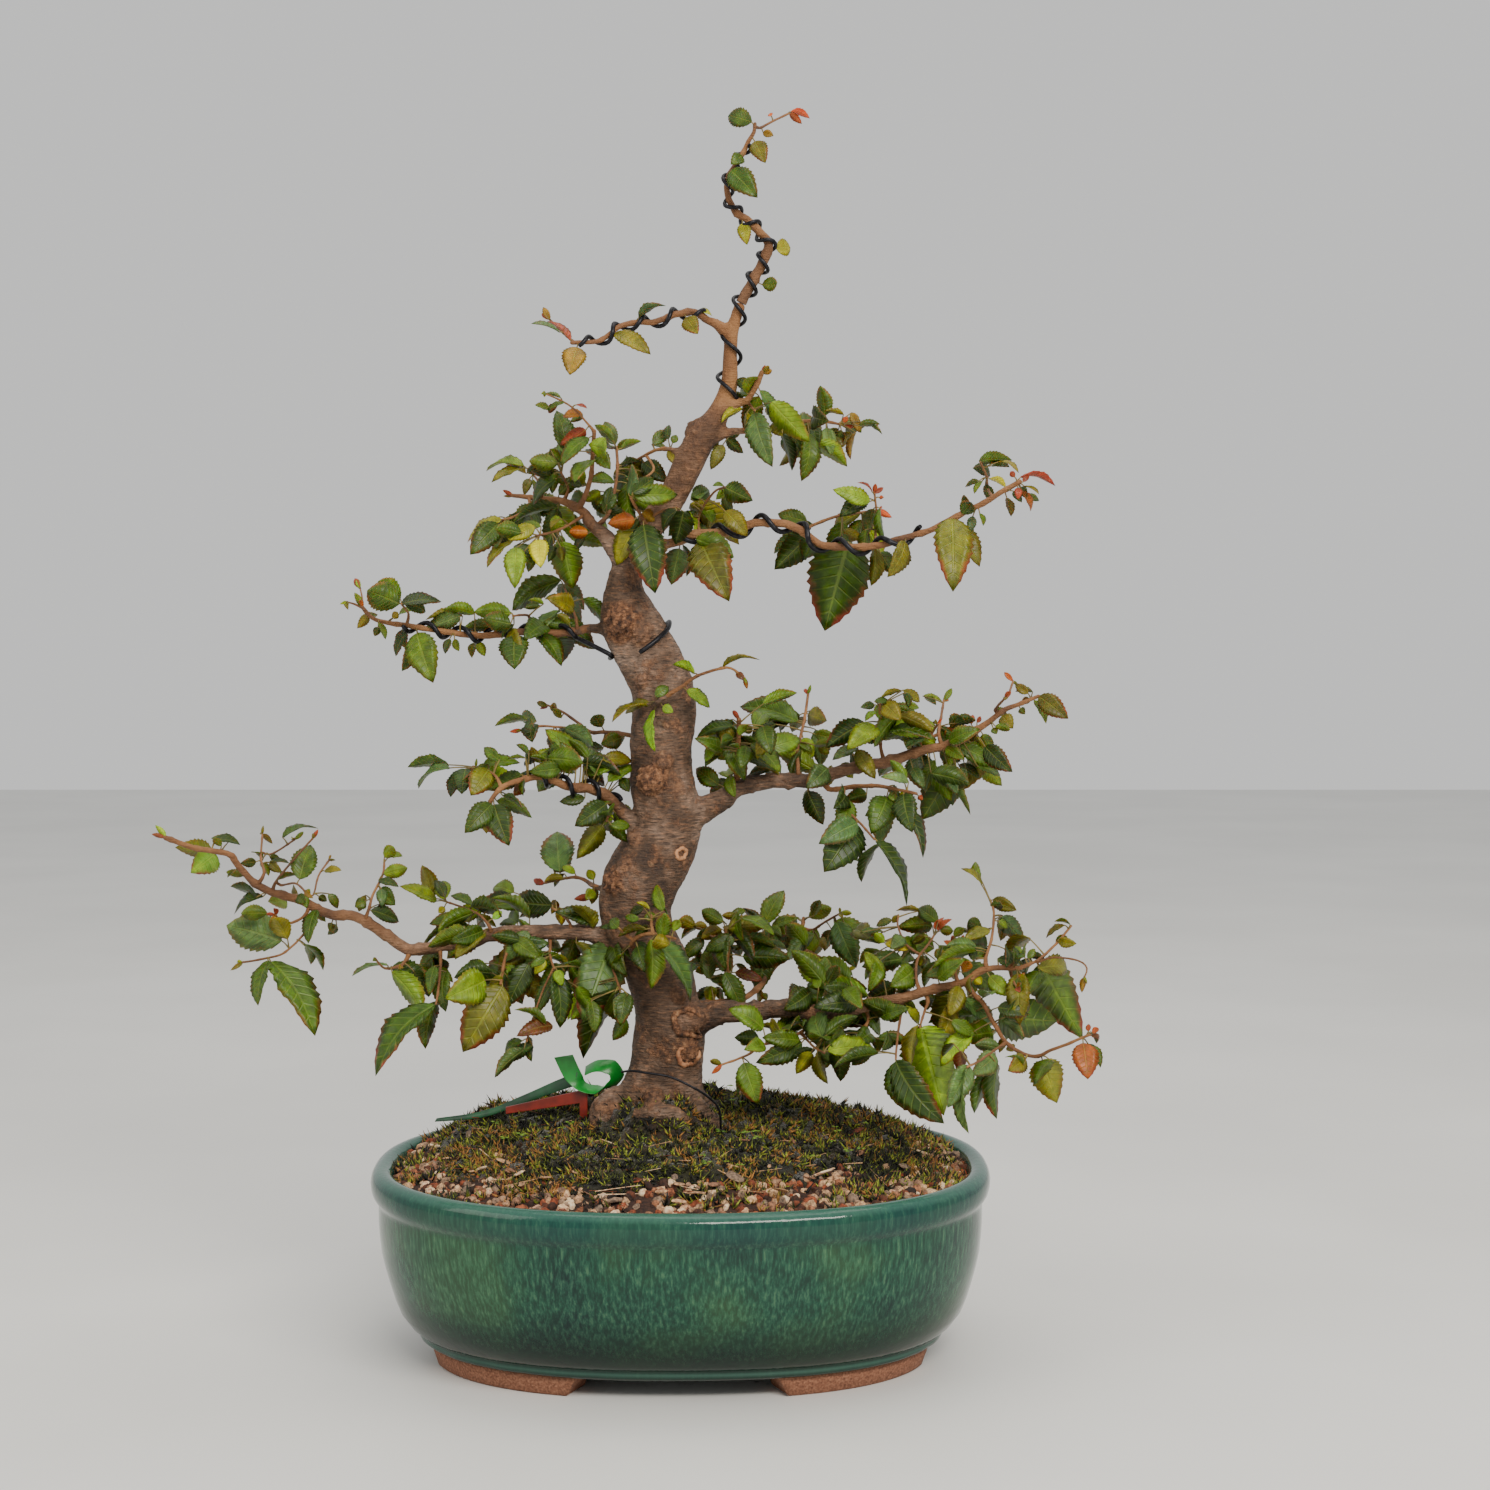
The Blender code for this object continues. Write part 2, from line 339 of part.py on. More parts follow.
            (15.9, 31.7, 16.6, 30.9, 0.8, "o"), (15.1, 30.6, 15.6, 29.5, 0.75, "m"),
            (15.5, 31.1, 15.8, 30.6, 0.4, "m"), (16.8, 32.1, 17.2, 31.6, 0.4, "m"),
            (17.4, 32.6, 16.7, 33.1, 0.5, "o+"), (17.6, 32.5, 17.0, 32.1, 0.4, "o"),
            (17.9, 32.5, 19.35, 31.4, 1.1, "o+"), (13.8, 28.9, 12.1, 26.4, 2.0, "d"),
            (14.9, 30.6, 14.2, 27.8, 0.9, "o"), (12.5, 28.8, 14.7, 26.7, 0.5, "m"),
            (13.2, 29.8, 13.7, 28.6, 0.7, "m"), (11.6, 28.9, 12.2, 27.9, 0.7, "g"),
            (11.4, 28.2, 10.0, 28.5, 0.5, "g"), (11.0, 27.9, 11.5, 27.1, 0.6, "y"),
            (11.8, 27.6, 12.1, 27.3, 0.3, "r"), (10.3, 27.4, 9.6, 25.7, 1.5, "m"),
            (9.3, 27.6, 8.2, 27.3, 0.8, "d"), (10.7, 27.3, 12.3, 24.5, 0.7, "d"),
            (10.3, 27.9, 10.8, 27.2, 0.5, "m"),
        ],
    },
    "lower_left_branch": {
        "root": 19.4,
        "wood": [
            (0.4, 0.12, 0.0, -3.5, [
                (-3.9, 20.3), (-5.2, 20.6), (-6.5, 20.65), (-8.0, 20.6), (-9.5, 20.5), (-10.5, 20.2),
                (-11.5, 20.05), (-12.7, 19.85), (-13.6, 19.75), (-14.3, 20.1), (-15.0, 20.6), (-15.8, 21.15),
                (-16.6, 21.45), (-17.4, 21.5), (-18.3, 21.8), (-19.0, 22.2), (-20.0, 22.5), (-20.6, 22.65),
                (-21.4, 23.1), (-22.0, 23.7), (-22.4, 24.2), (-22.8, 24.6), (-24.5, 24.9), (-25.9, 25.4)]),
            (0.08, 0.05, -2.8, 0.5, [(-20.95, 23.6), (-21.1, 24.4), (-21.0, 25.6)]),
            (0.07, 0.05, -2.8, -6.0, [(-20.4, 23.1), (-19.7, 24.0), (-18.5, 25.35)]),
            (0.06, 0.05, 0.0, -1.5, [(-20.5, 24.6), (-19.4, 25.3)]),
            (0.07, 0.05, -2.8, -5.5, [(-20.1, 23.0), (-19.4, 23.1), (-18.9, 22.7)]),
            (0.08, 0.05, -2.5, 0.5, [(-18.5, 22.5), (-18.2, 23.5), (-17.65, 24.3)]),
            (0.08, 0.05, -2.6, -5.0, [(-19.0, 21.4), (-19.9, 21.05), (-20.4, 21.5)]),
            (0.09, 0.05, -2.5, -6.5, [(-18.7, 20.9), (-19.9, 19.65), (-20.95, 19.3), (-22.1, 19.1)]),
            (0.08, 0.05, -2.2, 0.8, [(-15.7, 21.8), (-15.5, 22.5), (-15.0, 23.5), (-14.9, 24.3)]),
            (0.11, 0.08, -1.8, -3.2, [(-13.8, 19.3), (-14.1, 18.9)]),
            (0.07, 0.05, -3.0, -5.0, [(-14.9, 18.8), (-15.4, 19.3)]),
            (0.09, 0.05, -1.6, -4.5, [(-12.1, 19.4), (-12.2, 18.0), (-12.35, 17.0)]),
            (0.08, 0.05, -1.2, 3.0, [(-9.7, 21.0), (-10.3, 21.6), (-11.9, 22.2)]),
            (0.09, 0.05, -0.2, -3.0, [(-3.7, 19.4), (-3.35, 18.5), (-3.1, 17.7)]),
            (0.09, 0.05, -0.6, -3.4, [(-6.6, 20.0), (-6.6, 19.4), (-6.4, 18.8)]),
            (0.07, 0.05, -3.2, -4.6, [(-7.0, 17.6), (-7.5, 16.2), (-7.8, 15.1)]),
            (0.09, 0.07, -0.8, -3.0, [(-8.6, 20.1), (-8.9, 19.2), (-9.1, 18.0)]),
            (0.08, 0.05, -0.4, 3.0, [(-5.6, 21.1), (-6.4, 21.8), (-7.2, 22.1)]),
        ],
        "leaves": [
            (-23.2, 24.7, -24.5, 23.7, 1.4, "b+"), (-23.4, 25.3, -22.1, 25.05, 0.35, "d"),
            (-23.0, 24.9, -23.5, 25.4, 0.4, "m"), (-21.2, 24.2, -22.1, 24.1, 0.5, "d"),
            (-20.8, 24.5, -20.1, 24.3, 0.35, "d"), (-20.7, 24.15, -19.7, 24.2, 0.2, "d"),
            (-20.3, 23.3, -19.9, 23.7, 0.3, "d"), (-22.3, 23.8, -22.8, 23.4, 0.15, "d"),
            (-20.0, 25.4, -18.2, 26.0, 0.25, "d"), (-20.8, 22.55, -22.5, 21.55, 0.4, "d"),
            (-19.2, 23.2, -18.6, 25.1, 1.3, "m"), (-18.1, 23.7, -17.1, 23.8, 0.35, "o"),
            (-19.6, 22.3, -20.7, 22.2, 1.0, "b"), (-20.8, 21.6, -22.2, 21.6, 0.8, "m"),
            (-20.1, 20.2, -22.9, 21.0, 2.0, "g"), (-20.75, 19.3, -18.35, 15.55, 0.95, "m"),
            (-19.0, 20.0, -17.95, 18.8, 0.55, "d"), (-18.3, 22.0, -18.8, 20.1, 0.85, "m"),
            (-19.4, 22.6, -18.9, 22.1, 0.7, "d"), (-18.3, 22.5, -17.8, 22.2, 0.4, "d"),
            (-17.5, 21.3, -17.7, 20.7, 0.4, "m"), (-15.8, 21.8, -14.1, 21.2, 0.7, "d"),
            (-15.7, 22.3, -16.4, 21.9, 0.7, "m"), (-15.3, 23.0, -14.4, 22.0, 0.9, "d"),
            (-15.1, 23.5, -13.7, 23.9, 0.75, "b"), (-14.9, 24.4, -14.4, 25.0, 0.8, "b"),
            (-14.7, 18.8, -12.9, 16.45, 1.2, "b"), (-12.35, 17.0, -15.65, 13.6, 1.3, "m+"),
            (-13.5, 18.7, -12.7, 17.4, 0.7, "d"), (-12.0, 19.8, -13.2, 18.7, 1.0, "m"),
            (-14.7, 19.0, -16.6, 18.6, 0.25, "g"), (-12.3, 22.2, -14.1, 23.0, 0.6, "b"),
            (-11.9, 22.2, -12.0, 23.3, 0.9, "b"), (-10.5, 22.0, -11.6, 22.6, 0.4, "d"),
            (-11.8, 22.0, -12.2, 21.6, 0.4, "y"), (-10.3, 21.7, -12.4, 20.7, 1.0, "m"),
            (-10.7, 21.0, -13.2, 20.0, 0.4, "d"), (-8.5, 22.4, -10.3, 21.9, 1.0, "d"),
            (-6.4, 22.0, -8.4, 22.2, 1.5, "d"), (-9.8, 20.7, -11.4, 19.3, 0.8, "o"),
            (-8.0, 20.2, -9.6, 20.5, 0.8, "d"), (-6.8, 19.65, -10.3, 17.9, 1.7, "m+"),
            (-9.9, 18.2, -11.8, 17.3, 1.8, "b"), (-9.0, 17.9, -11.0, 14.6, 2.2, "o+"),
            (-8.9, 18.6, -8.0, 17.0, 1.0, "d"), (-6.7, 19.4, -7.4, 18.5, 0.55, "y"),
            (-6.7, 19.5, -5.65, 18.85, 0.5, "y"), (-6.4, 18.9, -6.0, 15.8, 1.1, "d"),
            (-6.3, 18.8, -6.0, 17.9, 0.6, "b"), (-3.5, 20.2, -4.9, 16.2, 2.6, "g+"),
            (-3.2, 17.7, -5.05, 14.45, 1.5, "d"), (-2.8, 17.6, -3.1, 15.9, 1.0, "d"),
            (-6.5, 15.9, -8.3, 15.4, 0.7, "n"), (-7.9, 15.2, -9.0, 14.5, 0.4, "d"),
            (-7.95, 14.7, -9.5, 13.3, 0.7, "g"), (-9.5, 21.3, -9.0, 21.7, 0.4, "b"),
            (-4.2, 21.2, -6.3, 21.7, 0.9, "d"), (-6.1, 21.9, -6.0, 21.0, 0.6, "y"),
            (-7.3, 21.6, -8.2, 21.4, 0.4, "o"),
        ],
    },
    "left_rear_shoot": {
        "root": 22.4,
        "wood": [
            (0.12, 0.05, 0.8, 3.5, [(-4.2, 22.9), (-5.3, 23.4), (-6.9, 23.1)]),
        ],
        "leaves": [
            (-5.7, 23.4, -6.9, 23.2, 0.5, "o"), (-5.2, 23.5, -6.0, 24.0, 0.4, "b"),
            (-4.3, 23.1, -4.7, 23.8, 0.5, "b"), (-4.3, 22.8, -4.8, 22.3, 0.8, "b"),
            (-4.6, 22.4, -5.4, 22.3, 0.4, "r"), (-6.1, 23.7, -6.25, 25.8, 1.8, "g+"),
        ],
    },
    "lower_front_shoot": {
        "root": 19.6,
        "wood": [
            (0.12, 0.06, -2.2, -4.6, [(-2.6, 20.0), (-2.2, 20.4), (-1.4, 20.55), (-0.3, 20.3)]),
            (0.07, 0.05, -2.6, -3.4, [(-2.8, 20.5), (-3.1, 20.8)]),
            (0.07, 0.05, -3.4, -3.6, [(-1.5, 21.0), (-1.5, 21.5)]),
        ],
        "leaves": [
            (-0.9, 21.7, -1.3, 23.1, 0.7, "m"), (-1.6, 21.8, -2.25, 22.15, 0.3, "y"),
            (-3.0, 20.7, -3.6, 21.3, 0.8, "d"), (-2.1, 21.3, -2.9, 21.4, 0.45, "m"),
            (-1.5, 20.9, -1.6, 21.7, 0.6, "m"), (-1.0, 20.2, -0.8, 21.7, 0.8, "m"),
            (-0.4, 20.7, -0.1, 21.3, 0.5, "b"), (-1.7, 20.8, -3.2, 20.4, 0.5, "o"),
            (-0.6, 20.0, -1.5, 20.2, 0.8, "o"), (-2.3, 20.2, -1.8, 18.6, 0.9, "d"),
            (-1.3, 20.2, 0.65, 17.1, 0.9, "g"), (-3.0, 19.7, -1.8, 18.1, 0.25, "d"),
        ],
    },
    "rear_right_branch": {
        "root": 16.6,
        "wood": [
            (0.2, 0.09, 1.9, 8.0, [
                (0.9, 17.0), (2.0, 17.1), (3.1, 17.3), (3.95, 17.9), (4.7, 18.9), (5.35, 19.5), (5.9, 19.85),
                (6.0, 20.3), (6.15, 21.35)]),
            (0.08, 0.05, 7.2, 5.0, [(6.6, 20.75), (7.3, 21.2), (8.0, 21.6)]),
            (0.08, 0.05, 6.8, 9.0, [(6.7, 19.5), (7.7, 19.05), (8.4, 18.7)]),
            (0.08, 0.05, 6.0, 7.6, [(4.6, 19.2), (4.1, 19.65)]),
            (0.1, 0.07, 3.6, 2.8, [(2.5, 18.0), (2.3, 18.9), (2.4, 19.9), (2.2, 20.8)]),
            (0.07, 0.05, 2.8, 5.0, [(1.6, 20.4), (1.2, 20.7)]),
        ],
        "leaves": [
            (0.7, 20.9, -0.2, 21.3, 0.8, "o+"), (1.3, 20.9, 0.6, 21.0, 0.5, "o"),
            (1.6, 20.9, 1.5, 21.4, 0.4, "n"), (2.0, 20.8, 1.0, 20.3, 0.8, "o"),
            (2.9, 21.4, 2.0, 21.5, 0.45, "o"), (3.1, 21.35, 4.7, 20.5, 0.5, "m"),
            (2.1, 20.9, 3.8, 19.2, 0.9, "d"), (4.55, 20.9, 5.85, 21.4, 0.6, "m"),
            (5.3, 19.8, 4.05, 20.1, 0.55, "g"), (5.2, 20.5, 5.0, 20.9, 0.4, "m"),
            (5.9, 19.9, 4.9, 20.3, 0.8, "d"), (6.4, 21.4, 7.6, 21.9, 0.85, "m"),
            (7.8, 21.15, 8.8, 18.85, 1.5, "g"), (6.9, 20.3, 7.3, 19.8, 0.7, "o"),
            (0.4, 20.0, 1.0, 19.0, 0.5, "d"), (1.4, 18.3, 1.3, 19.9, 0.9, "m"),
            (1.9, 20.0, 1.9, 19.0, 0.6, "d"), (1.5, 18.2, 2.8, 18.1, 0.45, "d"),
            (2.7, 18.6, 4.1, 18.2, 0.6, "n"), (1.2, 18.5, 0.8, 18.9, 0.5, "m"),
            (1.5, 17.9, 1.4, 16.9, 0.7, "b"), (2.4, 17.8, 2.5, 17.3, 0.5, "o"),
            (4.0, 17.7, 4.3, 17.2, 0.4, "d"),
        ],
    },
    "lower_right_branch": {
        "root": 15.6,
        "wood": [
            (0.55, 0.11, -0.6, -3.0, [
                (1.6, 16.45), (2.95, 16.6), (3.95, 16.65), (4.95, 16.8), (5.6, 16.8), (6.3, 16.6),
                (7.0, 16.5), (8.1, 16.55), (9.0, 16.85), (9.6, 17.0), (10.8, 17.25), (12.0, 17.55),
                (13.1, 17.85), (14.2, 18.1), (15.1, 18.7), (16.1, 18.85), (17.1, 18.8)]),
            (0.08, 0.06, -2.4, 0.8, [(13.75, 18.8), (13.85, 19.7)]),
            (0.09, 0.05, -2.6, 1.6, [(15.3, 19.3), (15.6, 20.3), (15.7, 21.65), (15.5, 22.3)]),
            (0.08, 0.06, -3.0, -0.8, [(17.5, 19.0), (18.05, 19.3), (18.9, 20.1), (19.6, 20.95)]),
            (0.13, 0.06, -2.4, -7.5, [
                (14.7, 17.5), (15.2, 17.0), (15.8, 15.9), (16.4, 15.0), (17.3, 14.45), (18.0, 14.35),
                (18.6, 14.65), (19.3, 14.9), (20.0, 15.2), (20.6, 15.45)]),
            (0.1, 0.05, -1.2, -6.0, [
                (6.4, 15.95), (6.0, 15.55), (5.05, 15.1), (4.05, 14.9), (3.3, 14.4), (2.0, 13.9)]),
            (0.07, 0.05, -2.6, -5.5, [(6.3, 15.2), (6.7, 14.8), (7.2, 14.5)]),
            (0.08, 0.05, -2.0, 2.4, [(11.8, 18.4), (11.9, 19.3), (12.4, 20.0), (12.8, 20.6)]),
            (0.07, 0.05, 0.0, 3.6, [(11.3, 20.0), (10.9, 20.9), (10.9, 21.5)]),
            (0.09, 0.07, -1.6, -3.0, [(9.4, 16.2), (9.05, 15.45)]),
            (0.05, 0.04, -2.9, -4.8, [(17.9, 19.1), (18.7, 19.35), (19.95, 19.2), (20.4, 18.8), (20.25, 18.3)]),
            (0.09, 0.05, -2.2, -5.0, [(12.4, 17.1), (12.2, 16.5), (12.0, 15.8)]),
            (0.08, 0.05, -2.0, -6.0, [(11.1, 16.8), (10.9, 15.5), (10.8, 14.2)]),
            (0.07, 0.05, -5.2, -8.0, [(15.7, 14.6), (15.0, 14.1), (14.4, 13.8)]),
            (0.07, 0.05, -2.6, -4.8, [(16.6, 18.4), (16.9, 17.8)]),
        ],
        "leaves": [
            (6.5, 17.6, 5.2, 16.7, 1.2, "d"), (6.9, 17.8, 6.7, 18.4, 0.7, "m"),
            (9.5, 17.4, 6.5, 18.0, 1.2, "m+"), (9.3, 17.0, 6.7, 16.9, 1.0, "d"),
            (6.2, 16.1, 4.6, 15.7, 0.8, "d"), (5.0, 15.4, 3.9, 15.9, 0.4, "o"),
            (3.9, 15.2, 2.7, 15.3, 0.85, "d"), (6.2, 15.1, 3.8, 14.0, 1.2, "d"),
            (6.1, 15.4, 8.3, 15.6, 1.3, "g"), (7.2, 14.6, 9.8, 14.8, 0.95, "b"),
            (9.9, 14.5, 7.5, 13.9, 0.9, "d"), (6.6, 14.6, 5.8, 13.5, 0.8, "y"),
            (6.8, 14.5, 7.35, 12.95, 0.7, "o"), (3.1, 14.15, 3.85, 11.9, 1.3, "m+"),
            (9.9, 16.6, 8.2, 15.9, 1.2, "d"), (11.1, 19.3, 9.1, 18.9, 1.1, "g"),
            (11.7, 19.7, 10.2, 20.1, 0.6, "y"), (10.2, 20.1, 9.7, 20.6, 0.6, "b"),
            (9.0, 20.6, 10.3, 20.7, 0.25, "d"), (12.0, 21.7, 10.75, 21.8, 0.4, "o"),
            (10.9, 21.5, 10.6, 21.1, 0.4, "o"), (12.6, 21.0, 10.9, 20.9, 1.0, "m"),
            (12.3, 20.4, 11.3, 20.2, 0.3, "m"), (13.0, 20.7, 13.7, 20.7, 0.6, "m"),
            (13.7, 20.4, 14.2, 20.9, 0.5, "m"), (12.9, 20.7, 13.2, 21.4, 0.25, "r"),
            (12.9, 20.7, 13.6, 21.3, 0.25, "r"), (12.8, 20.7, 12.9, 21.3, 0.25, "r"),
            (13.85, 19.8, 13.2, 20.2, 0.35, "r"), (13.85, 19.8, 14.5, 20.2, 0.35, "r"),
            (13.85, 19.8, 13.6, 20.5, 0.35, "r"), (13.85, 19.8, 14.2, 20.5, 0.35, "r"),
            (13.85, 19.8, 14.4, 19.6, 0.35, "r"), (15.1, 23.0, 14.1, 23.9, 0.3, "o"),
            (15.7, 20.8, 14.2, 20.3, 0.55, "o"), (15.6, 22.3, 16.8, 21.75, 0.75, "o"),
            (15.9, 21.2, 16.4, 20.8, 0.6, "b"), (16.1, 21.4, 17.25, 20.1, 1.0, "g"),
            (16.7, 19.4, 17.1, 19.9, 0.7, "m"), (18.8, 20.2, 19.85, 20.05, 0.55, "o"),
            (19.3, 21.0, 18.25, 20.4, 0.2, "o"), (11.8, 18.8, 10.6, 17.9, 1.3, "m"),
            (13.7, 19.0, 12.3, 18.4, 0.8, "g"), (12.2, 19.4, 12.0, 18.9, 0.5, "y"),
            (13.2, 19.2, 12.8, 19.8, 0.6, "o"), (14.2, 18.6, 14.5, 19.2, 0.7, "a"),
            (14.6, 18.5, 15.1, 18.0, 0.6, "y"), (14.7, 19.3, 15.2, 19.9, 0.8, "d"),
            (15.3, 18.6, 16.5, 17.4, 0.9, "b"), (17.4, 19.3, 17.8, 19.8, 0.4, "m"),
            (16.9, 18.8, 17.2, 18.3, 0.4, "a"), (11.2, 17.2, 9.8, 16.6, 0.7, "g"),
            (11.3, 17.0, 12.0, 15.95, 0.5, "y"), (12.3, 17.4, 12.4, 16.7, 0.9, "d"),
            (13.6, 17.6, 13.3, 15.0, 1.8, "o"), (14.2, 17.2, 15.8, 15.9, 0.9, "g"),
            (12.1, 15.8, 13.15, 11.6, 2.7, "b"), (10.8, 14.1, 13.1, 10.9, 1.7, "d"),
            (15.9, 15.6, 14.1, 15.3, 1.4, "m"), (15.9, 14.5, 14.7, 13.4, 1.2, "g"),
            (15.9, 16.2, 18.7, 16.2, 2.3, "m"), (17.0, 18.6, 17.0, 16.0, 1.2, "o"),
            (18.0, 19.2, 20.1, 15.4, 2.2, "m+"), (17.5, 14.4, 16.5, 13.6, 1.0, "o+"),
            (18.1, 14.4, 18.9, 12.05, 1.7, "y"), (20.2, 15.3, 20.5, 13.2, 1.3, "r"),
            (20.6, 15.4, 21.0, 15.8, 0.3, "r"), (20.6, 15.4, 21.1, 15.3, 0.25, "n"),
            (20.5, 15.4, 20.5, 16.0, 0.25, "r"), (14.35, 13.7, 14.4, 10.4, 0.4, "g"),
            (15.9, 13.9, 15.8, 11.2, 0.9, "d+"), (14.1, 14.6, 14.0, 13.6, 0.7, "n"),
            (16.4, 15.1, 16.7, 14.6, 0.5, "o"),
        ],
    },
}

# Wires: the branch they train, the stretch of its limb in parts of its length, and the rise of one turn
WIRES = {
    "wire_leader": ("leader_shoot", 0.03, 0.9, 1.5, 187),
    "wire_upper_left": ("upper_left_branch", 0.12, 0.97, 1.6, 0),
    "wire_upper_right": ("upper_right_branch", 0.04, 0.72, 2.1, 0),
    "wire_middle_left": ("middle_left_branch", 0.06, 0.82, 1.7, 180),
    "wire_lower_middle_left": ("lower_middle_left_branch", 0.1, 0.72, 1.5, 0),
}
LEADER_WIRE_HEIGHTS = [48.3, 49.2, 50.2, 51.2, 51.9]  # where its coil runs on the trunk
TRUNK_WRAP = [(36.6, 40), (36.4, 20), (36.1, 0), (35.8, -35), (35.4, -70), (35.0, -105), (34.6, -140), (34.4, -175)]
LABEL_DEPTH = 0.8


def polyline(points, share):
    """The point at this share of the length of a chain of points."""
    lengths = [(b - a).length for a, b in zip(points, points[1:])]
    target = share * sum(lengths)
    for start, end, length in zip(points, points[1:], lengths):
        if target <= length:
            return start.lerp(end, target / length)
        target -= length
    return points[-1].copy()


def frames_along(points, first=None):
    """A tangent and two directions across it at each point, turning no more than the path does."""
    tangents = []
    for i in range(len(points)):
        before, after = points[max(i - 1, 0)], points[min(i + 1, len(points) - 1)]
        tangents.append((after - before).normalized())
    if first is not None:
        tangents[0] = first.normalized()
    across = Vector((1, 0, 0)) if abs(tangents[0].x) < 0.9 else Vector((0, 0, 1))
    frames = []
    for tangent in tangents:
        across = (across - tangent * across.dot(tangent)).normalized()
        frames.append((tangent, across, tangent.cross(across)))
    return frames


def tube(points, radii, sides, first=None, swell=None):
    """A closed tube of flat-ended rings; swell(ring, angle) scales its radius."""
    verts, faces = [], []
    for ring, (point, radius, frame) in enumerate(zip(points, radii, frames_along(points, first))):
        for k in range(sides):
            angle = math.tau * k / sides
            reach = radius * (swell(ring, angle) if swell else 1.0)
            verts.append(point + (frame[1] * math.cos(angle) + frame[2] * math.sin(angle)) * reach)
    for ring in range(len(points) - 1):
        for k in range(sides):
            low, high = ring * sides, (ring + 1) * sides
            faces.append((low + k, low + (k + 1) % sides, high + (k + 1) % sides, high + k))
    faces.append(tuple(reversed(range(sides))))
    faces.append(tuple(range(len(verts) - sides, len(verts))))
    return verts, faces


def rings_solid(rings, bottom, top):
    """A closed solid through rings of equally many points, closed by a fan at each end."""
    count = len(rings[0])
    verts = [point for ring in rings for point in ring] + [bottom, top]
    faces = []
    for i in range(len(rings) - 1):
        for k in range(count):
            a, b = i * count + k, i * count + (k + 1) % count
            faces += [(a, b, b + count), (a, b + count, a + count)]
    last = (len(rings) - 1) * count
    for k in range(count):
        faces.append((len(verts) - 2, (k + 1) % count, k))
        faces.append((len(verts) - 1, last + k, last + (k + 1) % count))
    return verts, faces


def blob(centre, radius, stretch=(1, 1, 1)):
    """A small faceted lump."""
    form = bmesh.new()
    bmesh.ops.create_icosphere(form, subdivisions=1, radius=radius)
    verts = [centre + Vector([c * s for c, s in zip(vert.co, stretch)]) for vert in form.verts]
    faces = [tuple(vert.index for vert in face.verts) for face in form.faces]
    form.free()
    return verts, faces


def material(name, colour, roughness, metallic=0.0):
    """A Principled material of one colour."""
    made = bpy.data.materials.new(name)
    made.use_nodes = True
    shader = made.node_tree.nodes["Principled BSDF"]
    shader.inputs["Base Color"].default_value = (*colour, 1.0)
    shader.inputs["Roughness"].default_value = roughness
    shader.inputs["Metallic"].default_value = metallic
    return made


def add_object(name, shape, finish, collection=None):
    """An object in metres from a shape in centimetres, with its faces turned outwards."""
    verts, faces = shape
    mesh = bpy.data.meshes.new(name)
    mesh.from_pydata([point * CM for point in verts], [], faces)
    form = bmesh.new()
    form.from_mesh(mesh)
    bmesh.ops.triangulate(form, faces=[face for face in form.faces if len(face.verts) > 3])
    bmesh.ops.recalc_face_normals(form, faces=form.faces)
    form.to_mesh(mesh)
    form.free()
    mesh.materials.append(finish)
    body = bpy.data.objects.new(name, mesh)
    (collection or bpy.context.scene.collection).objects.link(body)
    return body


def apply_boolean(body, operation, shapes):
    """Join the shapes to the body, or cut them from it, in one step. EXACT leaves such thin blades open."""
    pieces = bpy.data.collections.new("pieces")
    bpy.context.scene.collection.children.link(pieces)
    for shape in shapes:
        add_object("piece", shape, body.data.materials[0], pieces)
    boolean = body.modifiers.new("boolean", "BOOLEAN")
    boolean.operation = operation
    boolean.operand_type = "COLLECTION"
    boolean.collection = pieces
    boolean.solver = "MANIFOLD"
    mesh = bpy.data.meshes.new_from_object(body.evaluated_get(bpy.context.evaluated_depsgraph_get()))
    body.modifiers.clear()
    body.data = mesh
    for piece in list(pieces.objects):
        bpy.data.objects.remove(piece)
    bpy.data.collections.remove(pieces)
    keep_largest_piece(mesh)


def keep_largest_piece(mesh):
    """Drop loose scraps, so that the mesh is one body."""
    form = bmesh.new()
    form.from_mesh(mesh)
    left = set(form.verts)
    pieces = []
    while left:
        piece, fresh = set(), [left.pop()]
        while fresh:
            vert = fresh.pop()
            piece.add(vert)
            for edge in vert.link_edges:
                other = edge.other_vert(vert)
                if other in left:
                    left.remove(other)
                    fresh.append(other)
        pieces.append(piece)
    largest = max(pieces, key=len)
    bmesh.ops.delete(form, geom=[vert for vert in form.verts if vert not in largest], context="VERTS")
    form.to_mesh(mesh)
    form.free()


def meets_itself(mesh):
    """Whether two sheets of a mesh meet along an edge, or a triangle has no area."""
    mesh.calc_loop_triangles()
    places = [tuple(round(c / WELD) for c in vert.co) for vert in mesh.vertices]
    uses = Counter()
    for triangle in mesh.loop_triangles:
        corners = [places[v] for v in triangle.vertices]
        if len(set(corners)) < 3:
            return True
        for a, b in zip(corners, corners[1:] + corners[:1]):
            uses[min(a, b), max(a, b)] += 1
    return any(count != 2 for count in uses.values())


def fused(name, shapes, finish):
    """One object from overlapping shapes, which are nudged by up to 0.1 mm until no two sheets meet."""
    for attempt in range(12):
        draw = random.Random(attempt)
        moved = []
        for verts, faces in shapes[1:]:
            nudge = Vector([draw.uniform(-0.001, 0.001) * attempt for axis in range(3)])
            moved.append(([vert + nudge for vert in verts], faces))
        body = add_object(name, shapes[0], finish)
        if moved:
            apply_boolean(body, "UNION", moved)
        if not meets_itself(body.data):
            break
        bpy.data.objects.remove(body)
    return body


# The pot

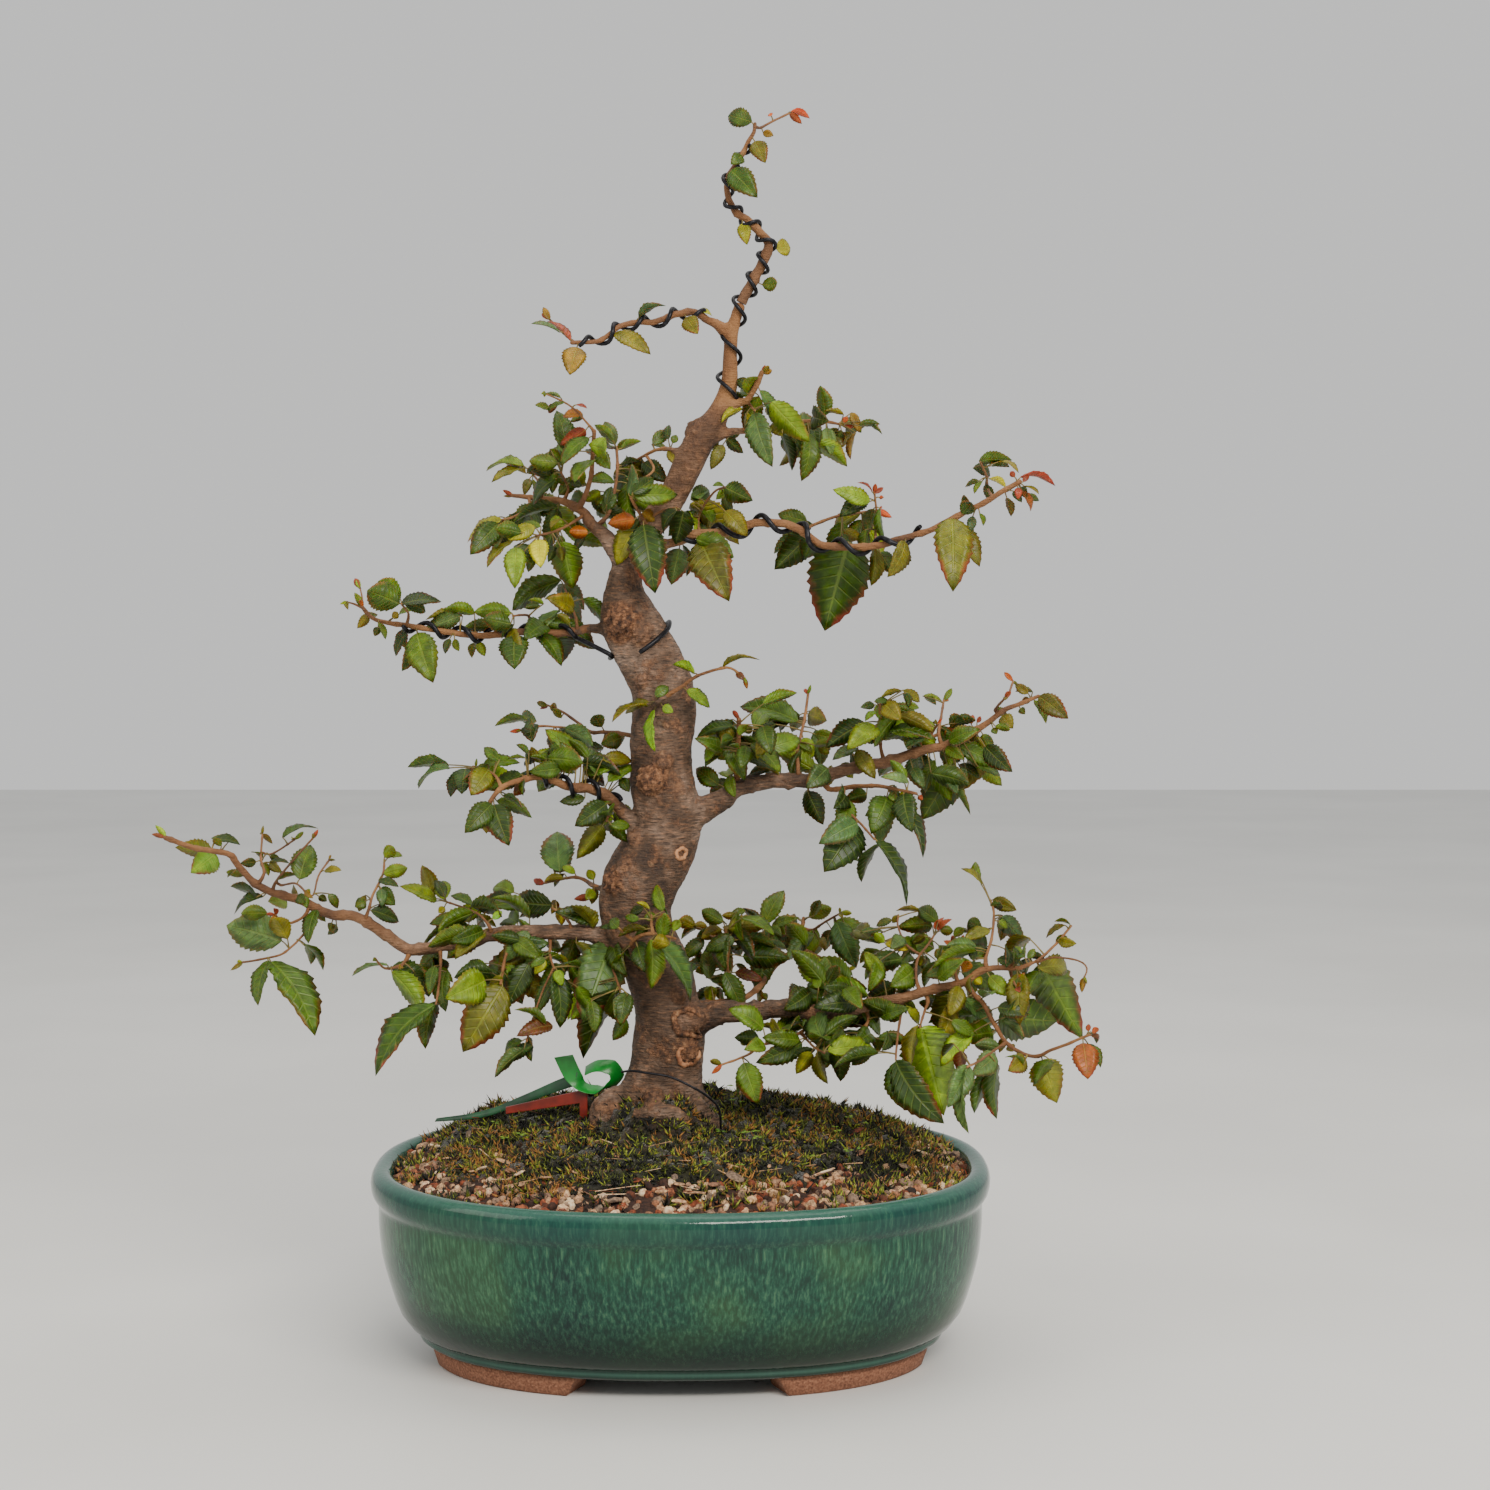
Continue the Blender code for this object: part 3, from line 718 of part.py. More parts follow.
def oval_point(half_width, half_depth, turn, z):
    """A point of the pot's oval; turn runs from +X over the back."""
    c, s = math.cos(turn), math.sin(turn)
    power = 2 / SQUARENESS
    return Vector((math.copysign(abs(c) ** power, c) * half_width,
                   math.copysign(abs(s) ** power, s) * half_depth, z))


def oval_ring(half_width, half_depth, z):
    return [oval_point(half_width, half_depth, math.tau * k / SECTORS, z) for k in range(SECTORS)]


# The pot's profile: height, and how far the outline lies within the rim's half width and half depth
POT_OUTSIDE = [
    (FOOT_HEIGHT, 2.7, 3.4), (1.35, 2.3, 3.1), (1.55, 2.0, 2.85), (2.5, 1.35, 2.2), (4.0, 0.85, 1.5),
    (5.5, 0.5, 1.0), (7.0, 0.5, 0.7), (8.0, 0.65, 0.75), (8.2, 0.15, 0.2), (8.8, 0.0, 0.0),
    (POT_HEIGHT, 0.45, 0.45),
]
POT_INSIDE = [(9.55, 0.9, 0.9), (9.1, 1.15, 1.15), (3.2, 2.3, 2.8), (FLOOR_TOP, 3.3, 3.9)]


def pot_ring(height, in_width, in_depth, clear=0.0):
    return oval_ring(RIM_HALF_WIDTH - in_width - clear, RIM_HALF_DEPTH - in_depth - clear, height)


def foot(side, front):
    """One foot: a band under the base that wraps round a corner, with slanted ends."""
    ground = (12.5, 8.4, 5.3, 3.4)  # half width and depth of its outer face, x and y where it ends
    sunk = (12.8, 8.7, 4.7, 2.8)
    band = 1.7
    rows = []
    for half_width, half_depth, end_x, end_y in (ground, sunk):
        start = math.asin((end_y / half_depth) ** (SQUARENESS / 2))
        finish = math.acos((end_x / half_width) ** (SQUARENESS / 2))
        for inset in (0.0, band):
            rows.append([oval_point(half_width - inset, half_depth - inset, start + (finish - start) * k / 6, 0)
                         for k in range(7)])
    verts = []
    for outer_low, inner_low, outer_top, inner_top in zip(*rows):
        for point, z in ((outer_low, 0.0), (inner_low, 0.0), (inner_top, 1.2), (outer_top, 1.2)):
            verts.append(Vector((point.x * side, point.y * front, z)))
    faces = [(0, 1, 2, 3), tuple(len(verts) - 1 - k for k in range(4))]
    for i in range(0, len(verts) - 4, 4):
        for k in range(4):
            faces.append((i + k, i + (k + 1) % 4, i + 4 + (k + 1) % 4, i + 4 + k))
    return verts, faces


def make_pot(glaze):
    rings = [pot_ring(*row) for row in POT_OUTSIDE + POT_INSIDE]
    pot = add_object("pot", rings_solid(rings, Vector((0, 0, FOOT_HEIGHT)), Vector((0, 0, FLOOR_TOP))), glaze)
    holes = []
    for side in (-1, 1):
        bottom, top = (Vector((side * DRAIN_HOLE_X, 0, z)) for z in (0.5, 3.0))
        holes.append(tube([bottom, top], [DRAIN_HOLE_RADIUS] * 2, 16))
    apply_boolean(pot, "DIFFERENCE", holes)
    apply_boolean(pot, "UNION", [foot(side, front) for side in (-1, 1) for front in (-1, 1)])
    return pot


def drain_mesh(side):
    """A small net plate that lies over a drain hole."""
    cells = 5
    step = MESH_SIDE / cells
    low = FLOOR_TOP + GAP
    solid = [(i, j) for i in range(cells) for j in range(cells) if not (i % 2 and j % 2)]
    verts, faces, index = [], [], {}

    def corner(i, j, level):
        if (i, j, level) not in index:
            index[i, j, level] = len(verts)
            verts.append(Vector((side * DRAIN_HOLE_X + (i - cells / 2) * step, (j - cells / 2) * step,
                                 low + level * MESH_THICKNESS)))
        return index[i, j, level]

    for i, j in solid:
        around = [(i, j), (i + 1, j), (i + 1, j + 1), (i, j + 1)]
        faces.append(tuple(corner(a, b, 1) for a, b in around))
        faces.append(tuple(corner(a, b, 0) for a, b in reversed(around)))
        for (a, b), (c, d), next_cell in zip(around, around[1:] + around[:1],
                                             ((i, j - 1), (i + 1, j), (i, j + 1), (i - 1, j))):
            if next_cell not in solid:
                faces.append((corner(a, b, 0), corner(c, d, 0), corner(c, d, 1), corner(a, b, 1)))
    return verts, faces


# The soil and the moss share one lattice, so that the moss lies on the soil without touching it

def circle_point(radius, k, z):
    turn = math.tau * k / SECTORS
    return Vector((TRUNK_X + radius * math.cos(turn), radius * math.sin(turn), z))


def moss_reach(k):
    """How far out the moss grows, from the trunk to the pot's wall: less at the front."""
    turn = math.tau * k / SECTORS
    return 0.5 + 0.32 * math.sin(turn) + 0.07 * math.sin(3 * turn + 0.8)


def ground_point(k, share):
    """The soil's surface between the plateau round the trunk (0) and the pot's wall (1)."""
    inner = circle_point(PLATEAU_RADIUS, k, PLATEAU_HEIGHT)
    outer = oval_point(RIM_HALF_WIDTH - 1.15 - 0.05, RIM_HALF_DEPTH - 1.15 - 0.05, math.tau * k / SECTORS, 0)
    point = inner.lerp(outer, share)
    slope = 0.5 - 0.5 * math.cos(math.pi * share)
    ripple = 0.1 * math.sin(1.3 * point.x + 0.5) * math.cos(1.1 * point.y) * math.sin(math.pi * share)
    point.z = PLATEAU_HEIGHT + (SOIL_EDGE_HEIGHT - PLATEAU_HEIGHT) * (0.35 * share + 0.65 * slope) + ripple
    return point


def ground_ring(share_of):
    return [ground_point(k, share_of(k)) for k in range(SECTORS)]


def soil_shape():
    hole = ROOT_STUB_RADIUS + GAP
    hole_bottom = PLATEAU_HEIGHT - ROOT_STUB_DEPTH - 0.1
    soil_bottom = FLOOR_TOP + MESH_THICKNESS + 2 * GAP
    rings = [
        [circle_point(hole, k, hole_bottom) for k in range(SECTORS)],
        [circle_point(hole, k, PLATEAU_HEIGHT) for k in range(SECTORS)],
        ground_ring(lambda k: 0.0),
        ground_ring(lambda k: moss_reach(k) / 2),
        ground_ring(moss_reach),
        ground_ring(lambda k: (1 + moss_reach(k)) / 2),
        ground_ring(lambda k: 1.0),
        pot_ring(*POT_INSIDE[2], clear=0.05),
        pot_ring(soil_bottom, *POT_INSIDE[3][1:], clear=0.05),
    ]
    return rings_solid(rings, Vector((TRUNK_X, 0, hole_bottom)), Vector((0, 0, soil_bottom)))


def moss_shape():
    """A mat with a hole for the trunk, on the soil's own lattice."""
    shares = [lambda k: 0.0, lambda k: moss_reach(k) / 2, moss_reach]
    under = [[point + Vector((0, 0, GAP)) for point in ground_ring(share)] for share in shares]
    over = []
    for ring, swell in zip(under, (0.5, 1.0, 0.4)):
        thick = MOSS_THICKNESS * swell
        over.append([point + Vector((0, 0, thick * (1 + 0.35 * math.sin(2.3 * point.x + 1.7 * point.y))))
                     for point in ring])
    rings = under + list(reversed(over))
    verts = [point for ring in rings for point in ring]
    faces = []
    for i in range(len(rings)):
        above = (i + 1) % len(rings)
        for k in range(SECTORS):
            after = (k + 1) % SECTORS
            a, b = i * SECTORS + k, i * SECTORS + after
            c, d = above * SECTORS + after, above * SECTORS + k
            faces += [(a, b, c), (a, c, d)] if i < 2 else [(a, b, d), (b, c, d)]
    return verts, faces


# The trunk

TRUNK_POINTS = [Vector((TRUNK_X, 0, PLATEAU_HEIGHT + GAP))] + [seen(x, z, 0.0) for z, x, width in TRUNK]
TRUNK_RADII = [2.95] + [width / 2 for z, x, width in TRUNK]


def trunk_at(reading):
    """The trunk's middle, radius and direction at a height as read."""
    for (low, low_x, low_width), (high, high_x, high_width) in zip(TRUNK, TRUNK[1:]):
        if reading <= high:
            share = (reading - low) / (high - low)
            start, end = seen(low_x, low, 0.0), seen(high_x, high, 0.0)
            radius = (low_width + (high_width - low_width) * share) / 2
            return start.lerp(end, share), radius, (end - start).normalized()
    return TRUNK_POINTS[-1].copy(), TRUNK_RADII[-1], (TRUNK_POINTS[-1] - TRUNK_POINTS[-2]).normalized()


def bark_swell(ring, angle):
    """Root ridges at the foot of the trunk, fading to slight flutes above."""
    height = TRUNK_POINTS[ring].z
    roots = max(0.0, (14.5 - height) / 3.6)
    flutes = 0.03 * math.sin(3 * angle + 0.9 * ring)
    return 1 + 0.13 * roots * math.cos(5 * angle + 0.9) + flutes


def limb_joint(spec):
    """Where a branch meets the trunk: the middle, the way it leaves, and how far its flat end lies out."""
    if spec["root"] is None:
        end, radius, direction = trunk_at(TRUNK[-1][0] + 1)
        return end, direction, 0.0
    middle, radius, along = trunk_at(spec["root"])
    first_radius, last_radius, start_depth, end_depth, points = spec["wood"][0]
    direction = (seen(*points[0], start_depth) - middle).normalized()
    outward = max(direction.cross(along).length, 0.35)
    return middle, direction, (radius * 1.08 + first_radius * 0.9 + 0.1) / outward


def trunk_shapes():
    shapes = [tube(TRUNK_POINTS, TRUNK_RADII, 10, first=Vector((0, 0, 1)), swell=bark_swell)]
    top = Vector((TRUNK_X, 0, PLATEAU_HEIGHT + 1.0))
    shapes.append(tube([top - Vector((0, 0, ROOT_STUB_DEPTH + 1.0)), top], [ROOT_STUB_RADIUS] * 2, 12))
    for spec in BRANCHES.values():
        if spec["root"] is None:
            continue
        middle, direction, reach = limb_joint(spec)
        radius = spec["wood"][0][0]
        shapes.append(tube([middle, middle + direction * reach], [radius * 1.35, radius], 6))
    shapes.append(blob(seen(-2.9, 36.3, -0.6), 0.95, (1, 1, 1.2)))  # knot above the left branch
    shapes.append(blob(seen(-1.5, 28.3, -1.4), 0.6))
    shapes.append(blob(seen(-3.3, 23.2, -0.9), 0.65))
    shapes.append(blob(seen(0.5, 16.2, -1.2), 0.85))
    shapes.append(blob(seen(-3.6, 11.5, -0.7), 0.75, (1, 1, 0.95)))  # root knob
    return shapes


# The branches

def nearest_on_wood(x, z, woods):
    """The wood's point nearest to a reading: which wood, which stretch, the share of it, and the distance."""
    best = None
    for number, wood in enumerate(woods):
        for i, (start, end) in enumerate(zip(wood["read"], wood["read"][1:])):
            run = Vector((end[0] - start[0], end[1] - start[1]))
            share = 0.0
            if run.length_squared > 0:
                share = min(max((Vector((x, z)) - Vector(start[:2])).dot(run) / run.length_squared, 0.0), 1.0)
            distance = (Vector(start[:2]) + run * share - Vector((x, z))).length
            if best is None or distance < best[3]:
                best = (number, i, share, distance)
    return best


def wood_point(wood, i, share, inside=END_MARGIN):
    """A point of a wood's middle line and the radius there, at least this far inside the wood's own ends."""
    start, end = wood["points"][i], wood["points"][i + 1]
    margin = min(inside / max((end - start).length, 0.01), 0.5)
    if i == 0:
        share = max(share, margin)
    if i == len(wood["points"]) - 2:
        share = min(share, 1 - margin)
    radius = wood["radii"][i] + (wood["radii"][i + 1] - wood["radii"][i]) * share
    return start.lerp(end, share), radius


def depths_along(points, start, end):
    """A depth for each reading, changing evenly with the length run."""
    lengths = [0.0]
    for a, b in zip(points, points[1:]):
        lengths.append(lengths[-1] + math.dist(a, b))
    total = lengths[-1] or 1.0
    return [start + (end - start) * length / total for length in lengths]


def wood_shape(wood):
    sides = 6 if wood["radii"][0] > 0.28 else 5 if wood["radii"][0] > 0.15 else 4
    return tube(wood["points"], wood["radii"], sides, first=wood.get("first"))


def radii_between(start, end, count):
    return [start + (end - start) * i / max(count - 1, 1) for i in range(count)]


def make_limb(spec):
    """The branch's main wood, from its flat end beside the trunk's stub."""
    start_radius, end_radius, start_depth, end_depth, readings = spec["wood"][0]
    middle, direction, reach = limb_joint(spec)
    begin = middle + direction * (reach + GAP)
    depths = depths_along(readings, start_depth, end_depth)
    points, read = [begin], []
    for (x, z), depth in zip(readings, depths):
        if read or (seen(x, z, depth) - middle).dot(direction) > reach + 0.3:
            points.append(seen(x, z, depth))
            read.append((x, z, depth))
    # the flat end's own reading, by the line of sight through it
    scale = -EYE.y / (begin.y - EYE.y)
    read.insert(0, (EYE.x + (begin.x - EYE.x) * scale, EYE.z + (begin.z - DATUM - EYE.z) * scale, begin.y))
    radii = radii_between(start_radius, end_radius, len(points))
    return {"points": points, "read": read, "radii": radii, "first": direction}


def make_twig(twig, woods, obstacles):
    """A side wood: its start is sunk in the wood nearest to its first reading, moved along if a wire is there."""
    start_radius, end_radius, start_depth, end_depth, readings = twig
    number, i, share, distance = nearest_on_wood(*readings[0], woods)
    parent = woods[number]
    depths = depths_along(readings, start_depth, end_depth)
    for shift in (0.0, 0.3, -0.3, 0.6, -0.6, 0.9, -0.9):
        stretch = (parent["points"][i + 1] - parent["points"][i]).length
        moved = min(max(share + shift / max(stretch, 0.01), 0.0), 1.0)
        root, parent_radius = wood_point(parent, i, moved)
        a, b = parent["read"][i], parent["read"][i + 1]
        read = [tuple(a[n] + (b[n] - a[n]) * moved for n in range(3))]
        read += [(x, z, depth) for (x, z), depth in zip(readings, depths)]
        points = [root] + [seen(*place) for place in read[1:]]
        radii = radii_between(min(start_radius, parent_radius * 0.85), end_radius, len(points))
        wood = {"points": points, "read": read, "radii": radii}
        if not touches(wood_shape(wood), obstacles):
            return wood
    return None


BROAD_BLADE = ([0.45], [(0.0, 0.03), (0.16, 0.38), (0.44, 0.5), (0.5, 0.4), (0.78, 0.3)])
PLAIN_BLADE = ([0.4], [(0.22, 0.42), (0.62, 0.42)])
NARROW_BLADE = ([], [(0.45, 0.5)])


def zip_chains(middle, side, middle_run, side_run):
    """Triangles between the midrib and one margin, which share their ends."""
    faces, i, j = [], 0, 0
    while i < len(middle) - 1 or j < len(side) - 1:
        if j < len(side) - 1 and (i == len(middle) - 1 or side_run[j + 1] <= middle_run[i + 1]):
            face = (middle[i], side[j], side[j + 1])
            j += 1
        else:
            face = (middle[i], side[j], middle[i + 1])
            i += 1
        if len(set(face)) == 3:
            faces.append(face)
    return faces


def blade(tail, base, tip, across, width, outline):
    """A leaf: a thin folded and arched plate whose stalk begins at the tail, inside its twig."""
    ribs, margin = outline
    along = tip - base
    length = along.length
    along.normalize()
    normal = along.cross(across).normalized()

    def place(run, side):
        lift = 0.22 * abs(side) * width + 0.10 * length * math.sin(math.pi * min(run, 1.0)) - 0.04 * length * run
        return base + along * (run * length) + across * (side * width) + normal * lift

    verts = [tail] + [place(run, 0.0) for run in ribs] + [place(1.0, 0.0)]
    middle = list(range(len(verts)))
    sides = []
    for sign in (-1, 1):
        chain = [0]
        for run, half in margin:
            chain.append(len(verts))
            verts.append(place(run, sign * half))
        sides.append(chain + [middle[-1]])
    middle_run = [-0.2] + ribs + [1.0]
    side_run = [-0.2] + [run for run, half in margin] + [1.0]
    top = zip_chains(middle, sides[0], middle_run, side_run)
    top += [face[::-1] for face in zip_chains(middle, sides[1], middle_run, side_run)]
    count = len(verts)
    verts += [point - normal * BLADE_THICKNESS for point in verts]
    verts[0], verts[count] = tail + normal * TAIL_HALF, tail - normal * TAIL_HALF
    faces = top + [tuple(v + count for v in reversed(face)) for face in top]
    loop = sides[0] + list(reversed(sides[1][1:-1]))
    for a, b in zip(loop, loop[1:] + loop[:1]):
        faces += [(a + count, b + count, b), (a + count, b, a)]
    return verts, faces


def leaf_shape(leaf, woods, draw, obstacles, own):
    """The leaf as read, turned to lie clear of what other nodes hold, or None where nothing fits.

    It keeps clear of its own node's other leaves and twigs too, unless only a crossing one fits."""
    base_x, base_z, tip_x, tip_z, width, kind = leaf
    seen_length = math.dist((base_x, base_z), (tip_x, tip_z))
    tilt = math.radians(draw.uniform(14, 38))
    length = max(seen_length / math.cos(tilt), width / 0.62)
    outwards = math.sqrt(max(length ** 2 - seen_length ** 2, 0.0)) * draw.choice((-1, 1))
    true_width = max(width, 0.42 * length)
    roll = math.acos(min(width / true_width, 1.0)) * draw.choice((-1, 1))
    lean = draw.uniform(-0.5, 0.5)
    slip = draw.uniform(-0.08, 0.08)
    inside = draw.uniform(END_MARGIN, 3 * END_MARGIN)
    number, i, share, distance = nearest_on_wood(base_x, base_z, woods)
    wood = woods[number]
    outline = BROAD_BLADE if seen_length * width >= BROAD_LEAF else PLAIN_BLADE
    if kind[0] == "r" or width < 0.36:
        outline = NARROW_BLADE
    depth = wood["read"][i][2] + (wood["read"][i + 1][2] - wood["read"][i][2]) * share
    crossing = None
    for shift, side, spin, push in (
            (0, 1, 1, 0), (0, -1, 1, 0), (0, 1, -1, 0), (0.3, 1, 1, 0), (-0.3, 1, 1, 0), (0, -1, -1, 0.5),
            (0, 1, 1, -0.6), (0.3, -1, 1, 0.6), (-0.3, -1, 1, -0.9), (0.5, 0.5, 1, 1.0), (-0.5, 0.5, -1, -1.2)):
        stretch = (wood["points"][i + 1] - wood["points"][i]).length
        moved = min(max(share + (shift + slip) / max(stretch, 0.01), 0.0), 1.0)
        tail, radius = wood_point(wood, i, moved, inside)
        base_depth = depth + lean * distance + push
        base = seen(base_x, base_z, base_depth)
        tip = seen(tip_x, tip_z, base_depth + side * outwards)
        along = (tip - base).normalized()
        stalk = radius + 0.25 - (base - tail).length
        if stalk > 0:
            base += along * stalk
        across = Vector((0, 1, 0)).cross(along).normalized()
        facing = along.cross(across)
        across = across * math.cos(spin * roll) + facing * math.sin(spin * roll)
        if along.cross(across).z < 0:
            across = -across
        sunk = tail + (base - tail).normalized() * radius * 0.45
        shape = blade(sunk, base, tip, across, true_width, outline)
        if touches(shape, obstacles):
            continue
        free_blade = blade(base + along * 0.15, base + along * 0.3, tip, across, true_width, NARROW_BLADE)
        if not touches(free_blade, own):
            return shape
        crossing = crossing or shape
    return crossing


def tree_of(shapes):
    """A search tree of many shapes."""
    verts, faces = [], []
    for shape_verts, shape_faces in shapes:
        faces += [tuple(v + len(verts) for v in face) for face in shape_faces]
        verts += shape_verts
    return BVHTree.FromPolygons(verts, faces)


def touches(shape, obstacles):
    """Whether a shape crosses, or comes within the gap of, any of the search trees."""
    verts, faces = shape
    own = BVHTree.FromPolygons(verts, faces)
    for tree in obstacles:
        if own.overlap(tree):
            return True
        if any(tree.find_nearest(point, GAP)[0] is not None for point in verts):
            return True
    return False


# The wires

def coil_points(centres, radii, start_angle, rise, per_turn=6):
    """Points wound round a path, a wire's radius and a gap off its surface."""
    frames = frames_along(centres)
    lengths = [0.0]
    for a, b in zip(centres, centres[1:]):
        lengths.append(lengths[-1] + (b - a).length)
    count = int(lengths[-1] / rise * per_turn)
    points = []
    for n in range(count + 1):
        run = n * rise / per_turn
        i = max(k for k in range(len(centres) - 1) if lengths[k] <= run or k == 0)
        share = min((run - lengths[i]) / (lengths[i + 1] - lengths[i]), 1.0)
        centre = centres[i].lerp(centres[i + 1], share)
        across = frames[i][1].lerp(frames[i + 1][1], share).normalized()
        beside = frames[i][2].lerp(frames[i + 1][2], share).normalized()
        radius = radii[i] + (radii[i + 1] - radii[i]) * share
        reach = (radius * 1.03 + WIRE_RADIUS + GAP * 1.6) / math.cos(math.pi / per_turn)
        angle = start_angle + math.tau * n / per_turn
        points.append(centre + (across * math.cos(angle) + beside * math.sin(angle)) * reach)
    return points


def wire_shape(points):
    return tube(points, [WIRE_RADIUS] * len(points), 4)


def stretch_of(limb, start, end):
    """The middle line and radii of a limb between two shares of its length."""
    points, radii = limb["points"], limb["radii"]
    total = sum((b - a).length for a, b in zip(points, points[1:]))
    run, kept, kept_radii = 0.0, [], []
    for i, point in enumerate(points):
        if i:
            run += (point - points[i - 1]).length
        if start * total < run < end * total:
            kept.append(point)
            kept_radii.append(radii[i])
    first, last = polyline(points, start), polyline(points, end)
    return [first, *kept, last], [kept_radii[0], *kept_radii, kept_radii[-1]]


def wrap_on_trunk(turns):
    """Wire points on the trunk's bark, from (height as read, angle in degrees from +X) pairs."""
    points = []
    for height, degrees in turns:
        middle, radius, along = trunk_at(height)
        angle = math.radians(degrees)
        reach = radius * 1.16 + WIRE_RADIUS + GAP
        points.append(middle + Vector((math.cos(angle), math.sin(angle), 0)) * reach)
    return points


def make_wires(limbs):
    shapes = {}
    for name, (branch, start, end, rise, degrees) in WIRES.items():
        centres, radii = stretch_of(limbs[branch], start, end)
        if name == "wire_leader":
            below = [trunk_at(height) for height in LEADER_WIRE_HEIGHTS]
            centres = [middle for middle, radius, along in below] + centres
            radii = [radius for middle, radius, along in below] + radii
        points = coil_points(centres, radii, math.radians(degrees), rise)
        if name == "wire_middle_left":
            points = wrap_on_trunk(TRUNK_WRAP) + points
        shapes[name] = wire_shape(points)
    return shapes


# The label, its strap and the tie

def ribbon(points, widths, thickness):
    """A flat band through points, each with the vector from one edge to the other."""
    verts, faces = [], []
    tangents = [frame[0] for frame in frames_along(points)]
    for point, width, tangent in zip(points, widths, tangents):
        normal = tangent.cross(width).normalized() * thickness / 2
        verts += [point - width / 2 - normal, point + width / 2 - normal,
                  point + width / 2 + normal, point - width / 2 + normal]
    for i in range(0, len(verts) - 4, 4):
        for k in range(4):
            a, b = i + k, i + (k + 1) % 4
            faces += [(a, b, b + 4), (a, b + 4, a + 4)]
    last = len(verts) - 4
    faces += [(3, 2, 1, 0), (last, last + 1, last + 2, last + 3)]
    return verts, faces


def strap_shapes():
    y = LABEL_DEPTH
    loop = [(-5.95, 14.35, y), (-5.45, 13.3, y), (-5.0, 12.8, y), (-4.3, 12.65, y), (-3.6, 12.85, y),
            (-3.25, 13.35, y), (-3.6, 13.8, y), (-4.3, 13.85, y), (-4.85, 13.6, y + 0.3)]
    across = [(0.95, 0.0, 0.15), (0.9, 0.3, 0.1), (0.35, 0.8, 0.25)] + [(0.0, 0.9, 0.0)] * 6
    tail = [(-5.3, 13.2, y), (-6.5, 12.75, y + 0.5), (-8.0, 12.15, y + 1.2), (-10.0, 11.4, y + 2.2),
            (-12.4, 11.1, y + 3.2)]
    heights = [0.7, 0.6, 0.45, 0.35, 0.15]
    shapes = []
    for readings, widths in ((loop, across), (tail, [(0.1, 0.1, height) for height in heights])):
        shapes.append(ribbon([seen(*place) for place in readings], [Vector(width) for width in widths], 0.08))
    return shapes


def label_shape(strap_tree):
    """The plant label: a stake in line with a slanting plate, which holds the strap up."""
    left, right = -5.2, -4.8
    near, far = LABEL_DEPTH - 0.08, LABEL_DEPTH + 0.08
    hits = [strap_tree.ray_cast(Vector((x, y, 11.5)), Vector((0, 0, 1)))[0].z
            for x in (left, right) for y in (near, far)]
    top = min(hits) - GAP
    low = PLATEAU_HEIGHT + GAP
    outline = [(-8.95, 11.75), (left, 12.3), (left, low), (right, low), (right, top), (left, top), (-8.95, 12.1)]
    count = len(outline)
    verts = [Vector((x, y, z)) for y in (near, far) for x, z in outline]
    faces = [tuple(range(count)), tuple(reversed(range(count, 2 * count)))]
    faces += [(i, i + count, (i + 1) % count + count, (i + 1) % count) for i in range(count)]
    return verts, faces


def tie_shape():
    readings = [(-3.0, 13.55, -1.2), (-2.5, 13.6, -1.95), (-1.8, 13.5, -2.3), (-0.6, 13.3, -2.35),
                (0.5, 12.8, -2.35), (1.3, 12.3, -2.2), (1.9, 11.6, -1.9)]
    points = [seen(*place) for place in readings]
    points.append(Vector((2.0, -1.7, PLATEAU_HEIGHT + GAP)))
    return tube(points, [0.06] * len(points), 4)


def grow_tree(fixed):
    """The wood and leaves of every branch, and the wires, as shapes that keep clear of each other."""
    woods = {name: [make_limb(spec)] for name, spec in BRANCHES.items()}
    wires = make_wires({name: made[0] for name, made in woods.items()})
    wire_tree = tree_of(wires.values())
    for name, spec in BRANCHES.items():
        others = tree_of([wood_shape(wood) for other, made in woods.items() if other != name for wood in made])
        for twig in spec["wood"][1:]:
            wood = make_twig(twig, woods[name], [fixed, wire_tree, others])
            if wood:
                woods[name].append(wood)
    leaves = {}
    for branch, (name, spec) in enumerate(BRANCHES.items()):
        others = [wood_shape(wood) for other, made in woods.items() if other != name for wood in made]
        others += [shape for made in leaves.values() for shape in made]
        obstacles = [fixed, wire_tree, tree_of(others)]
        leaves[name] = []
        for number, leaf in enumerate(spec["leaves"]):
            if math.dist(leaf[:2], leaf[2:4]) * leaf[4] < LEAST_LEAF:
                continue
            draw = random.Random(1000 * branch + number)
            own = tree_of([wood_shape(wood) for wood in woods[name]] + leaves[name])
            shape = leaf_shape(leaf, woods[name], draw, obstacles, [own])
            if shape:
                leaves[name].append(shape)
    return {name: [wood_shape(wood) for wood in made] for name, made in woods.items()}, leaves, wires


def stand_on_origin():
    """Move everything so that the middle of the whole box's underside is the origin."""
    corners = [body.matrix_world @ vert.co for body in bpy.context.scene.objects for vert in body.data.vertices]
    lows, highs = ([pick(corner[axis] for corner in corners) for axis in range(3)] for pick in (min, max))
    shift = Vector((-(lows[0] + highs[0]) / 2, -(lows[1] + highs[1]) / 2, -lows[2]))
    for body in bpy.context.scene.objects:
        body.location = shift


